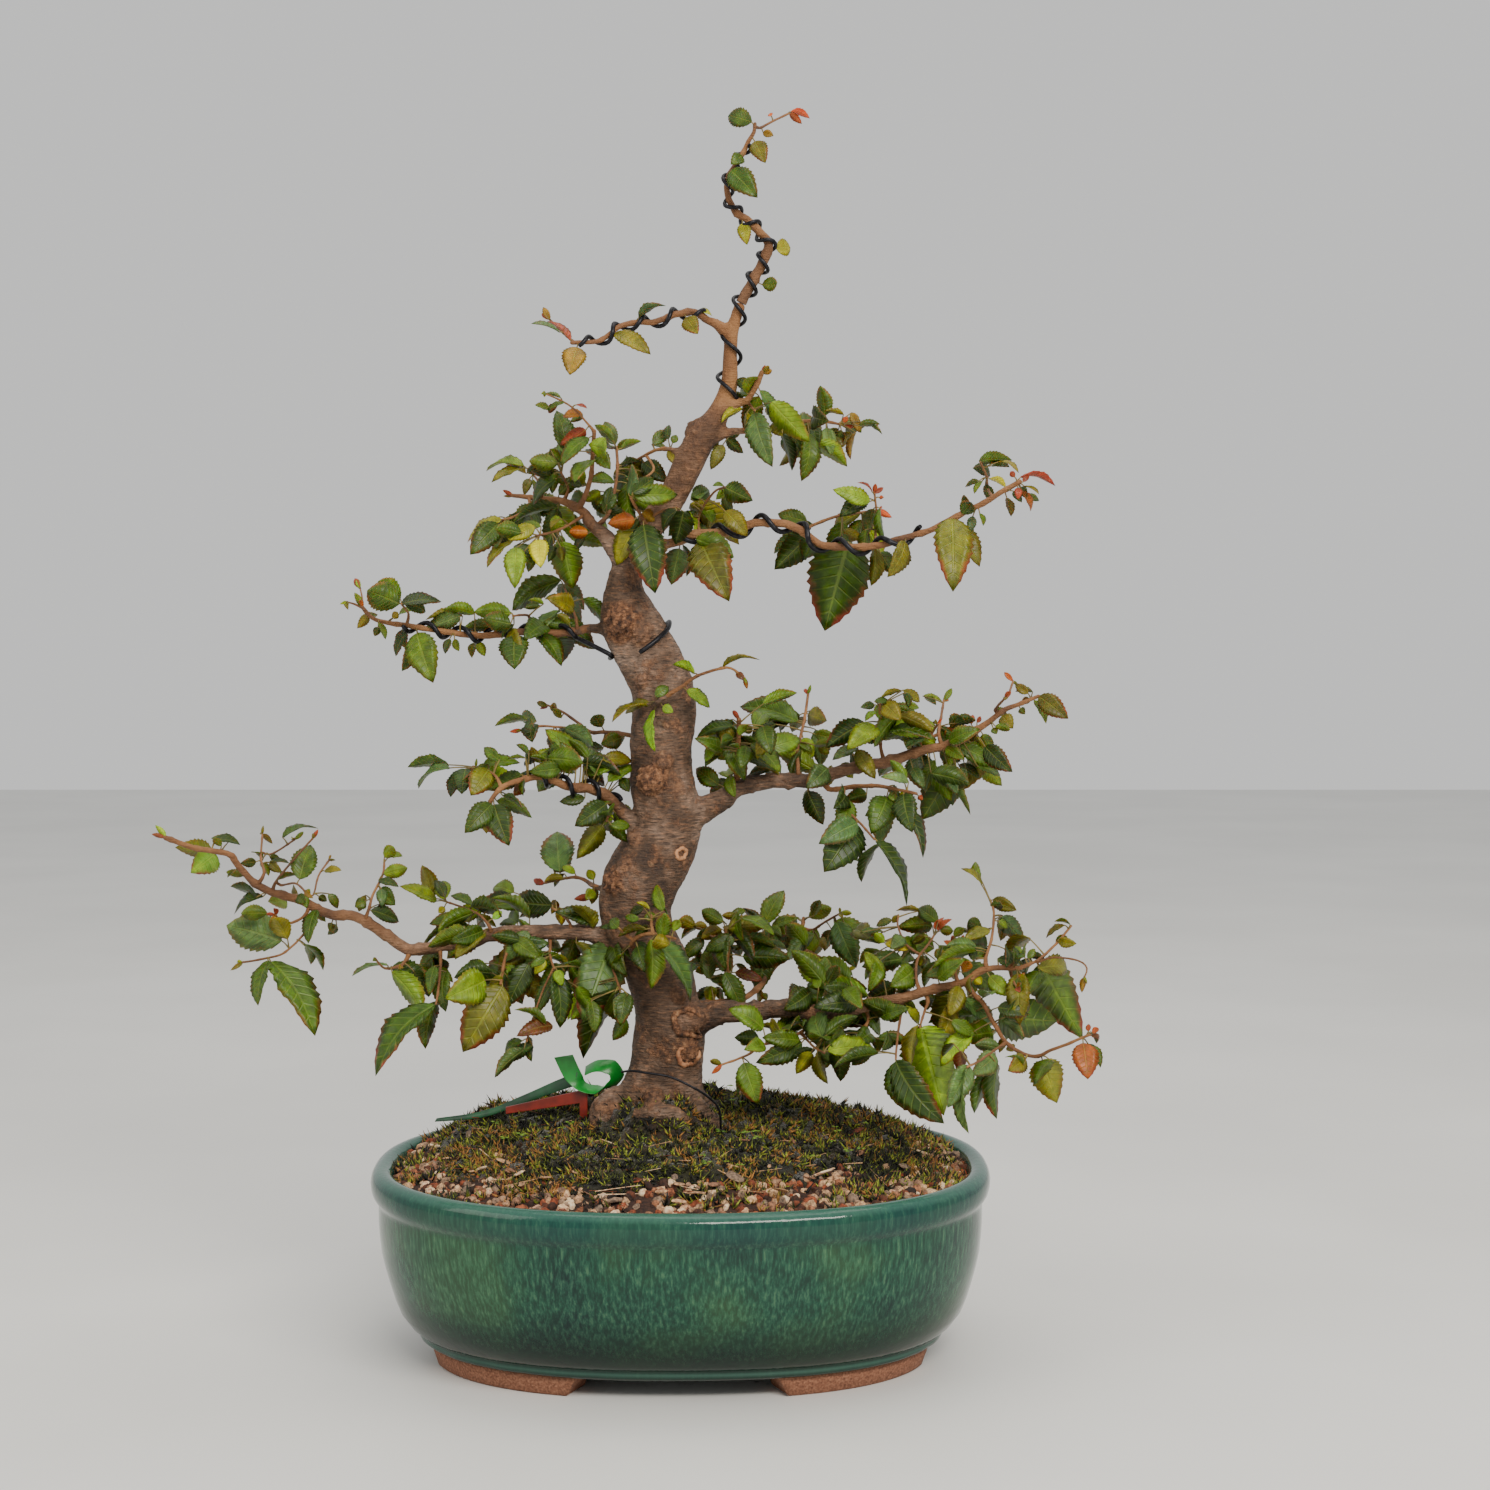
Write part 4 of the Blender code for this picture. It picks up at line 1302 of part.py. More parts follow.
def build():
    for item in list(bpy.data.objects):
        bpy.data.objects.remove(item)
    glaze = material("green_glaze", (0.05, 0.13, 0.09), 0.18)
    earth = material("akadama_soil", (0.42, 0.27, 0.18), 0.95)
    green = material("moss", (0.07, 0.08, 0.02), 0.95)
    bark = material("zelkova_bark", (0.15, 0.09, 0.06), 0.8)
    foliage = material("zelkova_leaves", (0.07, 0.14, 0.03), 0.5)
    black = material("anodised_aluminium", (0.012, 0.012, 0.014), 0.35, 1.0)
    net = material("plastic_net", (0.02, 0.02, 0.02), 0.5)
    red = material("red_label", (0.2, 0.03, 0.02), 0.5)
    strap_green = material("green_strap", (0.03, 0.38, 0.08), 0.4)

    make_pot(glaze)
    soil, moss = soil_shape(), moss_shape()
    for side, name in ((-1, "drain_mesh_left"), (1, "drain_mesh_right")):
        add_object(name, drain_mesh(side), net)
    add_object("soil", soil, earth)
    add_object("moss", moss, green)
    strap = strap_shapes()
    label = label_shape(tree_of(strap))
    tie = tie_shape()
    trunk = trunk_shapes()
    fused("tag_strap", strap, strap_green)
    add_object("plant_label", label, red)
    add_object("tie_wire", tie, black)
    fused("trunk", trunk, bark)
    rim = (pot_ring(*POT_OUTSIDE[-1]), pot_ring(*POT_INSIDE[0]))
    lip = [(index, (index + 1) % SECTORS, (index + 1) % SECTORS + SECTORS, index + SECTORS)
           for index in range(SECTORS)]
    fixed = tree_of([soil, moss, (rim[0] + rim[1], lip), *strap, label, tie, *trunk])
    woods, leaves, wires = grow_tree(fixed)
    for name, made in woods.items():
        fused(name, made + leaves[name], foliage)
    for name, shape in wires.items():
        add_object(name, shape, black)
    stand_on_origin()


build()
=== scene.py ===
# Zelkova bonsai in an oval glazed pot. Readings are in centimetres from the middle of the pot's foot,
# with x to the right, y to the back and z up; meshes are in metres.
import json
import math
import random

import bmesh
import bpy
from mathutils import Matrix, Vector, noise
from mathutils.kdtree import KDTree

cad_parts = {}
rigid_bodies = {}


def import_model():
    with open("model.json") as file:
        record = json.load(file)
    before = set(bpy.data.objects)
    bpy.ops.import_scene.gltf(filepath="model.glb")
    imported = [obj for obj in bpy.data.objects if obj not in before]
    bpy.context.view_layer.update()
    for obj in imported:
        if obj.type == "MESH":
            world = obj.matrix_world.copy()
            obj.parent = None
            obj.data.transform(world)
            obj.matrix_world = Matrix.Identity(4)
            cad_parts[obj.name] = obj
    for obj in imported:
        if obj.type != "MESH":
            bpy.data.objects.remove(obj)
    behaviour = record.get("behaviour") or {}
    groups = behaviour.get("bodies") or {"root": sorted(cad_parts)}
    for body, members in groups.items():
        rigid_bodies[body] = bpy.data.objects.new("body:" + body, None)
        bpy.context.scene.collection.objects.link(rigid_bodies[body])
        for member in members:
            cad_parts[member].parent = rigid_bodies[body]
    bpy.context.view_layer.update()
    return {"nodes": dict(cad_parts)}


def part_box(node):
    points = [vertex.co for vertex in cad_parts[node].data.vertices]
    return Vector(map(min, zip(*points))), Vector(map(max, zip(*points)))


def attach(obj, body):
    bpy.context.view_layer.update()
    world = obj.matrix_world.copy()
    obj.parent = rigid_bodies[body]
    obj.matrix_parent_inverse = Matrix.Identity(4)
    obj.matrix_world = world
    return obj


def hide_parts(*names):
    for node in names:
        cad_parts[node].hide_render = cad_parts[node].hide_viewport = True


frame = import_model()
potLow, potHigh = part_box("pot")
potCentre = Vector(((potLow.x + potHigh.x) / 2, (potLow.y + potHigh.y) / 2, 0))
cm = 0.01


def place(point):
    return potCentre + Vector(point) * cm


def intoScene(item):
    bpy.context.scene.collection.objects.link(item)
    return item


def ease(value, low, high):  # 0 below low, 1 above high, smooth between
    share = min(max((value - low) / (high - low), 0.0), 1.0)
    return share * share * (3 - 2 * share)


# Camera: full-frame sensor, a little above the middle of the tree
camera = {"x": 0.032, "distance": 1.2, "height": 0.368, "pitch": 2.98, "lens": 57.99}
cameraData = bpy.data.cameras.new("camera")
cameraData.lens = camera["lens"]
cameraData.sensor_width = 36
cameraObject = intoScene(bpy.data.objects.new("camera", cameraData))
cameraObject.location = potCentre + Vector((camera["x"], -camera["distance"], camera["height"]))
cameraObject.rotation_euler = (math.radians(90 - camera["pitch"]), 0, 0)
bpy.context.scene.camera = cameraObject
print("camera set")


# Materials

def linear(hexColour):
    values = [int(hexColour[i:i + 2], 16) / 255 for i in (1, 3, 5)]
    return [v / 12.92 if v <= 0.04045 else ((v + 0.055) / 1.055) ** 2.4 for v in values] + [1.0]


def addNode(tree, kind, settings=None, out=None, whole=False, **links):
    # a node with its settings and links; gives the output in use, the one named, or the whole node
    node = tree.nodes.new(kind if "Node" in kind else "ShaderNode" + kind)
    for name, value in (settings or {}).items():
        if name == "stops":
            ramp = node.color_ramp.elements
            while len(ramp) < len(value):
                ramp.new(0.5)
            for stop, (position, colour) in zip(ramp, value):
                stop.position, stop.color = position, linear(colour)
        elif hasattr(node, name):
            setattr(node, name, value)
        else:
            links[name] = value
    for name, value in links.items():
        key = int(name[1:]) if name[0] == "i" and name[1:].isdigit() else name
        socket = node.inputs[key]
        if isinstance(value, bpy.types.NodeSocket):
            tree.links.new(value, socket)
        else:
            socket.default_value = value
    if whole:
        return node
    return node.outputs[out] if out else next((output for output in node.outputs if output.enabled), None)


def newMaterial(name):
    made = bpy.data.materials.new(name)
    made.use_nodes = True
    return made, made.node_tree, addNode(made.node_tree, "TexCoord", out="Object")


def dress(material, colour, constants, relief=None, height=None):
    # colour, constants and, where it has relief, a bump on the material's shader
    tree, shader = material.node_tree, material.node_tree.nodes["Principled BSDF"]
    tree.links.new(colour, shader.inputs["Base Color"])
    for name, value in constants.items():
        if isinstance(value, bpy.types.NodeSocket):
            tree.links.new(value, shader.inputs[name])
        else:
            shader.inputs[name].default_value = value
    if relief:
        tree.links.new(addNode(tree, "Bump", relief, Height=height), shader.inputs["Normal"])
    return material


def glazeMaterial():
    # Reduction-fired green glaze over stoneware: deep glassy gloss, runs down the wall, paler where it thins on
    # the rim and the bead above the foot, a paleness that also paints in their reflection, and painted shade towards
    # the foot
    made, tree, where = newMaterial("green stoneware glaze")
    height = addNode(tree, "SeparateXYZ", Vector=where, out="Z")
    runMap = addNode(tree, "Mapping", {"Scale": (1, 1, 0.13)}, Vector=where)
    runs = addNode(tree, "TexNoise", {"Scale": 620.0, "Detail": 4.0, "Roughness": 0.65}, Vector=runMap)
    clouds = addNode(tree, "TexNoise", {"Scale": 17.0, "Detail": 4.0}, Vector=where)
    body = addNode(tree, "ValToRGB", {"stops": [
        (0.38, "#0a2a1d"), (0.46, "#143c2b"), (0.53, "#21503b"), (0.6, "#356349"), (0.68, "#4f7a58")]}, Fac=runs)
    pools = addNode(tree, "ValToRGB", {"stops": [
        (0.36, "#061e26"), (0.5, "#153d30"), (0.64, "#345636")]}, Fac=clouds)
    wall = addNode(tree, "Mix", {"data_type": "RGBA"}, i0=0.45, i6=body, i7=pools)
    lip = addNode(tree, "MapRange", {"From Min": 0.078, "From Max": 0.084}, Value=height)
    lipWall = addNode(tree, "Mix", {"data_type": "RGBA"}, i0=lip, i6=wall, i7=linear("#0f3a38"))
    tinted = addNode(tree, "Mix", {"data_type": "RGBA"}, i0=0.5, i6=wall, i7=lipWall)
    # painted shade: the wall turns nearly black-green towards the foot
    paintedShadeLow = addNode(tree, "MapRange", {"interpolation_type": "SMOOTHSTEP", "From Min": 0.052, "From Max": 0.018,
                                        "To Max": 0.85}, Value=height)
    tinted = addNode(tree, "Mix", {"data_type": "RGBA"}, i0=paintedShadeLow, i6=tinted, i7=linear("#04160f"))
    # paler rim and bead: thinner glaze there, and painted reflection of the bright studio
    edge = addNode(tree, "Attribute", {"attribute_name": "thin"}, out="Fac")
    colour = addNode(tree, "Mix", {"data_type": "RGBA"}, i0=edge, i6=tinted, i7=linear("#4f7a6c"))
    dimples = addNode(tree, "TexNoise", {"Scale": 260.0, "Detail": 2.0}, Vector=where)
    return dress(made, colour, {"Roughness": 0.1, "IOR": 1.5, "Specular IOR Level": 0.3},
                 {"Strength": 0.18, "Distance": 0.0006}, dimples)


def clayMaterial():
    # Bare fired stoneware: matt, orange-brown, with fine grog
    made, tree, where = newMaterial("bare fired clay")
    grog = addNode(tree, "TexNoise", {"Scale": 900.0, "Detail": 5.0}, Vector=where)
    colour = addNode(tree, "ValToRGB", {"stops": [
        (0.3, "#5c3826"), (0.5, "#7e513a"), (0.7, "#966a50")]}, Fac=grog)
    return dress(made, colour, {"Roughness": 0.85}, {"Strength": 0.5, "Distance": 0.0004}, grog)


def grainMaterial(name, stops):
    # Hard-baked clay and pumice grains, 3 to 6 mm: each grain its own colour, dusty and matt
    made, tree, where = newMaterial(name)
    tint = addNode(tree, "Attribute", {"attribute_name": "tint"}, out="Fac")
    dust = addNode(tree, "TexNoise", {"Scale": 700.0, "Detail": 4.0}, Vector=where)
    colour = addNode(tree, "ValToRGB", {"stops": stops}, Fac=tint)
    speckle = addNode(tree, "ValToRGB", {"stops": [(0.35, "#3a3430"), (0.65, "#d8cfc6")]}, Fac=dust)
    colour = addNode(tree, "Mix", {"data_type": "RGBA", "blend_type": "OVERLAY"}, i0=0.7, i6=colour, i7=speckle)
    return dress(made, colour, {"Roughness": 0.9}, {"Strength": 0.7, "Distance": 0.0005}, dust)


def mossMaterial():
    # Living and dried moss: dark felted green with brown dead tips
    made, tree, where = newMaterial("moss")
    patches = addNode(tree, "TexNoise", {"Scale": 55.0, "Detail": 4.0, "Roughness": 0.6}, Vector=where)
    fibre = addNode(tree, "TexNoise", {"Scale": 900.0, "Detail": 3.0}, Vector=where)
    green = addNode(tree, "ValToRGB", {"stops": [
        (0.32, "#0e0c06"), (0.44, "#1e1c0a"), (0.54, "#33340e"), (0.62, "#3a260c"), (0.72, "#1a120a")]},
        Fac=patches)
    shade = addNode(tree, "ValToRGB", {"stops": [(0.35, "#2a2a20"), (0.68, "#e8e4c0")]}, Fac=fibre)
    colour = addNode(tree, "Mix", {"data_type": "RGBA", "blend_type": "MULTIPLY"}, i0=0.75, i6=green, i7=shade)
    return dress(made, colour, {"Roughness": 0.95, "Sheen Weight": 0.2},
                 {"Strength": 0.9, "Distance": 0.001}, fibre)


def mossShootMaterial():
    # Single moss shoots: fresh green tips here and there between brown ones
    made, tree, where = newMaterial("moss shoots")
    tint = addNode(tree, "Attribute", {"attribute_name": "tint"}, out="Fac")
    patches = addNode(tree, "TexNoise", {"Scale": 24.0, "Detail": 6.0, "Roughness": 0.72}, Vector=where)
    both = addNode(tree, "Math", {"operation": "MULTIPLY_ADD"}, i0=patches, i1=1.5,
                   i2=addNode(tree, "Math", {"operation": "MULTIPLY_ADD"}, i0=tint, i1=0.46, i2=-0.5))
    colour = addNode(tree, "ValToRGB", {"stops": [
        (0.26, "#060502"), (0.4, "#161806"), (0.47, "#38400c"), (0.53, "#626c14"), (0.57, "#98a42c"),
        (0.61, "#6a4e1c"), (0.7, "#a87434"), (0.77, "#4a3018"), (0.86, "#0c0804")]}, Fac=both)
    return dress(made, colour, {"Roughness": 0.8})


def barkMaterial():
    # Zelkova bark: smooth grey-brown skin with pale level lenticels on old wood, tan and reddish on new wood,
    # crumbly orange cork where a cut has healed
    made, tree, where = newMaterial("zelkova bark")
    youth = addNode(tree, "Attribute", {"attribute_name": "youth"}, out="Fac")
    scar = addNode(tree, "Attribute", {"attribute_name": "scar"}, out="Fac")
    levelMap = addNode(tree, "Mapping", {"Scale": (1, 1, 5.5)}, Vector=where)
    lenticels = addNode(tree, "TexNoise", {"Scale": 210.0, "Detail": 3.0, "Roughness": 0.6}, Vector=levelMap)
    clouds = addNode(tree, "TexNoise", {"Scale": 45.0, "Detail": 5.0, "Roughness": 0.6}, Vector=where)
    fine = addNode(tree, "TexNoise", {"Scale": 650.0, "Detail": 4.0}, Vector=where)
    crumbs = addNode(tree, "TexNoise", {"Scale": 330.0, "Detail": 5.0, "Roughness": 0.7}, Vector=where)
    old = addNode(tree, "ValToRGB", {"stops": [
        (0.3, "#3e2c21"), (0.42, "#604834"), (0.52, "#836751"), (0.62, "#9f8571"), (0.73, "#b8a08e")]}, Fac=clouds)
    marks = addNode(tree, "ValToRGB", {"stops": [
        (0.35, "#2c1c14"), (0.44, "#787472"), (0.56, "#8a8684"), (0.68, "#c8b4a4")]}, Fac=lenticels)
    old = addNode(tree, "Mix", {"data_type": "RGBA", "blend_type": "OVERLAY"}, i0=0.85, i6=old, i7=marks)
    new = addNode(tree, "ValToRGB", {"stops": [
        (0.3, "#54351e"), (0.5, "#7a502c"), (0.7, "#9c6e42")]}, Fac=clouds)
    bark = addNode(tree, "Mix", {"data_type": "RGBA"}, i0=youth, i6=old, i7=new)
    cork = addNode(tree, "ValToRGB", {"stops": [
        (0.34, "#2a180e"), (0.47, "#5e3c24"), (0.58, "#8c6040"), (0.72, "#b08a64")]}, Fac=crumbs)
    rust = addNode(tree, "TexNoise", {"Scale": 75.0, "Detail": 6.0, "Roughness": 0.7}, Vector=where)
    scurf = addNode(tree, "MapRange", {"From Min": 0.52, "From Max": 0.62, "To Max": 0.75}, Value=rust)
    aged = addNode(tree, "Math", {"operation": "SUBTRACT"}, i0=1.0, i1=youth)
    scurf = addNode(tree, "Math", {"operation": "MULTIPLY"}, i0=scurf, i1=aged)
    corked = addNode(tree, "Math", {"operation": "MAXIMUM"}, i0=scurf, i1=scar)
    colour = addNode(tree, "Mix", {"data_type": "RGBA"}, i0=corked, i6=bark, i7=cork)
    rough = addNode(tree, "Math", {"operation": "MULTIPLY"}, i0=corked, i1=crumbs)
    rough = addNode(tree, "Math", {"operation": "MULTIPLY_ADD"}, i0=rough, i1=2.4, i2=fine)
    relief = addNode(tree, "Math", {"operation": "MULTIPLY_ADD"}, i0=lenticels, i1=1.6, i2=rough)
    return dress(made, colour, {"Roughness": 0.72}, {"Strength": 0.9, "Distance": 0.0009}, relief)


def leafMaterial():
    # Zelkova leaf: thin, slightly waxy blade; pale veins run slanting from the midrib to each tooth, the margin
    # reddens in patches towards the tip, light shines through a little
    made, tree, where = newMaterial("zelkova leaf")
    tint = addNode(tree, "Attribute", {"attribute_name": "tint"}, out="Color")
    rim = addNode(tree, "Attribute", {"attribute_name": "rim"}, out="Fac")
    blade = addNode(tree, "UVMap", {"uv_map": "blade"})
    across, veinCount = addNode(tree, "SeparateXYZ", whole=True, Vector=blade).outputs[:2]
    run = addNode(tree, "SeparateXYZ", Vector=addNode(tree, "UVMap", {"uv_map": "length"}))
    phase = addNode(tree, "Math", {"operation": "PINGPONG"}, i0=veinCount, i1=0.5)
    sideVein = addNode(tree, "MapRange", {"interpolation_type": "SMOOTHSTEP", "From Min": 0.36, "From Max": 0.49},
                       Value=phase)
    midVein = addNode(tree, "MapRange", {"interpolation_type": "SMOOTHSTEP", "From Min": 0.1, "From Max": 0.03},
                      Value=across)
    veins = addNode(tree, "Math", {"operation": "MAXIMUM"}, i0=sideVein, i1=midVein)
    mottle = addNode(tree, "TexNoise", {"Scale": 190.0, "Detail": 4.0, "Roughness": 0.6}, Vector=where)
    cloud = addNode(tree, "ValToRGB", {"stops": [(0.3, "#4c5048"), (0.5, "#808080"), (0.7, "#b4b09a")]},
                    Fac=mottle)
    skin = addNode(tree, "Mix", {"data_type": "RGBA", "blend_type": "OVERLAY"}, i0=0.8, i6=tint, i7=cloud)
    pale = addNode(tree, "Mix", {"data_type": "RGBA", "blend_type": "SCREEN"}, i0=0.6, i6=skin,
                   i7=linear("#6f7c30"))
    veined = addNode(tree, "Math", {"operation": "MULTIPLY"}, i0=veins, i1=0.5)
    skin = addNode(tree, "Mix", {"data_type": "RGBA"}, i0=veined, i6=skin, i7=pale)
    outer = addNode(tree, "Math", {"operation": "MULTIPLY_ADD"}, i0=run, i1=0.75, i2=across)
    ragged = addNode(tree, "Math", {"operation": "MULTIPLY_ADD"}, i0=mottle, i1=0.9, i2=outer)
    edge = addNode(tree, "MapRange", {"interpolation_type": "SMOOTHSTEP", "From Min": 1.55, "From Max": 2.1},
                   Value=ragged)
    reddened = addNode(tree, "Math", {"operation": "MULTIPLY"}, i0=edge, i1=rim)
    colour = addNode(tree, "Mix", {"data_type": "RGBA"}, i0=reddened, i6=skin, i7=linear("#9c4434"))
    return dress(made, colour, {"Roughness": 0.4, "Specular IOR Level": 0.32, "Subsurface Weight": 0.12,
                                "Subsurface Scale": 0.003},
                 {"Strength": 0.7, "Distance": 0.0005, "invert": True}, veins)


def wireMaterial():
    # Anodised aluminium wire, drawn: black-brown satin metal with faint lengthwise scuffs
    made, tree, where = newMaterial("black anodised aluminium")
    scuffs = addNode(tree, "TexNoise", {"Scale": 500.0, "Detail": 3.0}, Vector=where)
    colour = addNode(tree, "ValToRGB", {"stops": [
        (0.35, "#17171a"), (0.6, "#26262b"), (0.8, "#4a4644")]}, Fac=scuffs)
    rough = addNode(tree, "MapRange", {"To Min": 0.28, "To Max": 0.5}, Value=scuffs)
    return dress(made, colour, {"Roughness": rough, "Metallic": 0.75})


def plasticMaterial(name, dark, light, roughness, glow=0.0):
    # Moulded or extruded plastic: even colour, faint cloudiness and handling marks
    made, tree, where = newMaterial(name)
    cloud = addNode(tree, "TexNoise", {"Scale": 120.0, "Detail": 4.0}, Vector=where)
    colour = addNode(tree, "ValToRGB", {"stops": [(0.35, dark), (0.65, light)]}, Fac=cloud)
    return dress(made, colour, {"Roughness": roughness, "Subsurface Weight": glow, "Subsurface Scale": 0.003},
                 {"Strength": 0.2, "Distance": 0.0002}, cloud)


glaze = glazeMaterial()
bareClay = clayMaterial()
grains = grainMaterial("baked clay and pumice grains", [
    (0.0, "#241812"), (0.2, "#4e2c1c"), (0.36, "#8a4426"), (0.5, "#9a6a4c"), (0.64, "#7a6a5c"), (0.78, "#b08c6c"),
    (0.9, "#c8a880"), (1.0, "#dccbb0")])
mossFelt = mossMaterial()
mossShoots = mossShootMaterial()
bark = barkMaterial()
callus = plasticMaterial("healed callus", "#7c4c30", "#b8865e", 0.75)
stalkSkin = plasticMaterial("leaf stalks", "#4e4218", "#7d6a2e", 0.6)
seedlingGreen = plasticMaterial("clover seedlings", "#4a6e12", "#7c9e20", 0.6, 0.15)
leafSkin = leafMaterial()
wireMetal = wireMaterial()
net = plasticMaterial("polyethylene net", "#141414", "#26262a", 0.5)
labelPlastic = plasticMaterial("red polystyrene label", "#5e180e", "#862414", 0.4)
strapPlastic = plasticMaterial("green polyethylene strap", "#08701f", "#0f9030", 0.34, 0.06)
# the strap's tail: the same green plastic, painted darker as shade where it lies edge-on
strapShade = plasticMaterial("strap tail in painted shade", "#123c24", "#1d5a34", 0.4)
print("materials made")


# Shared making

def addPiece(name, mesh, material, slot, *replaced):
    made = intoScene(bpy.data.objects.new(name, mesh))
    if material:
        mesh.materials.clear()
        mesh.materials.append(material)
    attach(made, "root")
    if replaced:
        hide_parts(*replaced)
    return made


def meshFrom(name, verts, faces, edges=(), smooth=True):
    mesh = bpy.data.meshes.new(name)
    mesh.from_pydata([tuple(v) for v in verts], list(edges), faces)
    if faces:
        mesh.polygons.foreach_set("use_smooth", [smooth] * len(mesh.polygons))
    return mesh


def setAttribute(mesh, name, kind, values):
    layer = mesh.attributes.new(name, kind, "POINT")
    field = {"FLOAT": "value", "INT": "value", "FLOAT_VECTOR": "vector", "FLOAT_COLOR": "color"}[kind]
    flat = values if kind in ("FLOAT", "INT") else [part for value in values for part in value]
    layer.data.foreach_set(field, flat)


def baked(carrier):
    # what an object's modifiers make of it, as a plain mesh
    result = bpy.data.meshes.new_from_object(carrier.evaluated_get(bpy.context.evaluated_depsgraph_get()))
    carrier.modifiers.clear()
    return result


def meshOf(form, name):
    mesh = bpy.data.meshes.new(name)
    form.to_mesh(mesh)
    form.free()
    return mesh


def grow(mesh, tree, settings):
    # run a node tree on a mesh and return the plain result
    carrier = intoScene(bpy.data.objects.new("carrier", mesh))
    modifier = carrier.modifiers.new("grow", "NODES")
    modifier.node_group = tree
    for item in tree.interface.items_tree:
        if item.item_type == "SOCKET" and item.in_out == "INPUT" and item.name in settings:
            modifier[item.identifier] = settings[item.name]
    result = baked(carrier)
    bpy.data.objects.remove(carrier)
    return result


def startTree(name, inputs):
    tree = bpy.data.node_groups.new(name, "GeometryNodeTree")
    tree.interface.new_socket("Geometry", in_out="INPUT", socket_type="NodeSocketGeometry")
    for label, kind in inputs:
        tree.interface.new_socket(label, in_out="INPUT", socket_type="NodeSocket" + kind)
    tree.interface.new_socket("Geometry", in_out="OUTPUT", socket_type="NodeSocketGeometry")
    return tree, addNode(tree, "NodeGroupInput", whole=True).outputs


def endTree(tree, geometry, material):
    real = addNode(tree, "GeometryNodeRealizeInstances", Geometry=geometry)
    painted = addNode(tree, "GeometryNodeSetMaterial", Geometry=real, Material=material)
    addNode(tree, "NodeGroupOutput", i0=painted)
    return tree


def tubeTree():
    # a round tube along every chain of edges, as thick as its "girth" says
    tree, given = startTree("tube along a path", [("Sides", "Int"), ("Material", "Material")])
    curve = addNode(tree, "GeometryNodeMeshToCurve", Mesh=given["Geometry"])
    girth = addNode(tree, "GeometryNodeInputNamedAttribute", {"data_type": "FLOAT", "Name": "girth"})
    ring = addNode(tree, "GeometryNodeCurvePrimitiveCircle", {"Radius": 1.0}, Resolution=given["Sides"])
    links = {"Curve": curve, "Profile Curve": ring, "Scale": girth, "Fill Caps": True}
    tube = addNode(tree, "GeometryNodeCurveToMesh", **links)
    return endTree(tree, tube, given["Material"])


def scatterTree():
    # members of a collection on the mesh's points, turned, sized and chosen by the points' attributes
    tree, given = startTree("place on points", [("Shapes", "Collection"), ("Material", "Material")])
    named = {}
    for name, kind in (("turn", "FLOAT_VECTOR"), ("size", "FLOAT_VECTOR"), ("variant", "INT")):
        named[name] = addNode(tree, "GeometryNodeInputNamedAttribute", {"data_type": kind, "Name": name})
    shapes = addNode(tree, "GeometryNodeCollectionInfo", {"Separate Children": True, "Reset Children": True},
                     Collection=given["Shapes"])
    turned = addNode(tree, "FunctionNodeEulerToRotation", Euler=named["turn"])
    links = {"Points": given["Geometry"], "Instance": shapes, "Pick Instance": True,
             "Instance Index": named["variant"], "Rotation": turned, "Scale": named["size"]}
    placed = addNode(tree, "GeometryNodeInstanceOnPoints", **links)
    return endTree(tree, placed, given["Material"])


def coverTree():
    # lumps or shoots strewn over a surface: random size, turn, choice and tint, standing up from the surface
    tree, given = startTree("strew over a surface", [
        ("Shapes", "Collection"), ("Material", "Material"), ("Density", "Float"), ("Seed", "Int"),
        ("Smallest", "Float"), ("Largest", "Float"), ("Tilt", "Float"), ("Where", "String"), ("Least", "Float")])
    share = addNode(tree, "GeometryNodeInputNamedAttribute", {"data_type": "FLOAT"}, Name=given["Where"])
    density = addNode(tree, "Math", {"operation": "MULTIPLY"}, i0=share, i1=given["Density"])
    allowed = addNode(tree, "FunctionNodeCompare", {"data_type": "FLOAT", "operation": "GREATER_THAN"},
                      i0=share, i1=given["Least"])
    strewn = addNode(tree, "GeometryNodeDistributePointsOnFaces", Mesh=given["Geometry"], Density=density,
                     Selection=allowed, Seed=given["Seed"])
    tilted = addNode(tree, "Math", {"operation": "MULTIPLY"}, i0=given["Tilt"], i1=-1.0)
    low = addNode(tree, "CombineXYZ", X=tilted, Y=tilted, Z=0.0)
    high = addNode(tree, "CombineXYZ", X=given["Tilt"], Y=given["Tilt"], Z=math.tau)
    lean = addNode(tree, "FunctionNodeRandomValue", {"data_type": "FLOAT_VECTOR"}, Min=low, Max=high,
                   Seed=given["Seed"])
    size = addNode(tree, "FunctionNodeRandomValue", {"data_type": "FLOAT"}, i2=given["Smallest"], i3=given["Largest"],
                   Seed=7)
    pick = addNode(tree, "FunctionNodeRandomValue", {"data_type": "INT"}, i4=0, i5=5, Seed=11)
    shapes = addNode(tree, "GeometryNodeCollectionInfo", {"Separate Children": True, "Reset Children": True},
                     Collection=given["Shapes"])
    turned = addNode(tree, "FunctionNodeEulerToRotation", Euler=lean)
    tint = addNode(tree, "FunctionNodeRandomValue", {"data_type": "FLOAT", "Min": 0.0}, Seed=13)
    tinted = addNode(tree, "GeometryNodeStoreNamedAttribute", {"data_type": "FLOAT", "domain": "POINT"},
                     Geometry=strewn, Name="tint", Value=tint)
    links = {"Points": tinted, "Instance": shapes, "Pick Instance": True, "Instance Index": pick,
             "Rotation": turned, "Scale": size}
    placed = addNode(tree, "GeometryNodeInstanceOnPoints", **links)
    return endTree(tree, placed, given["Material"])


tubes, placedShapes, cover = tubeTree(), scatterTree(), coverTree()


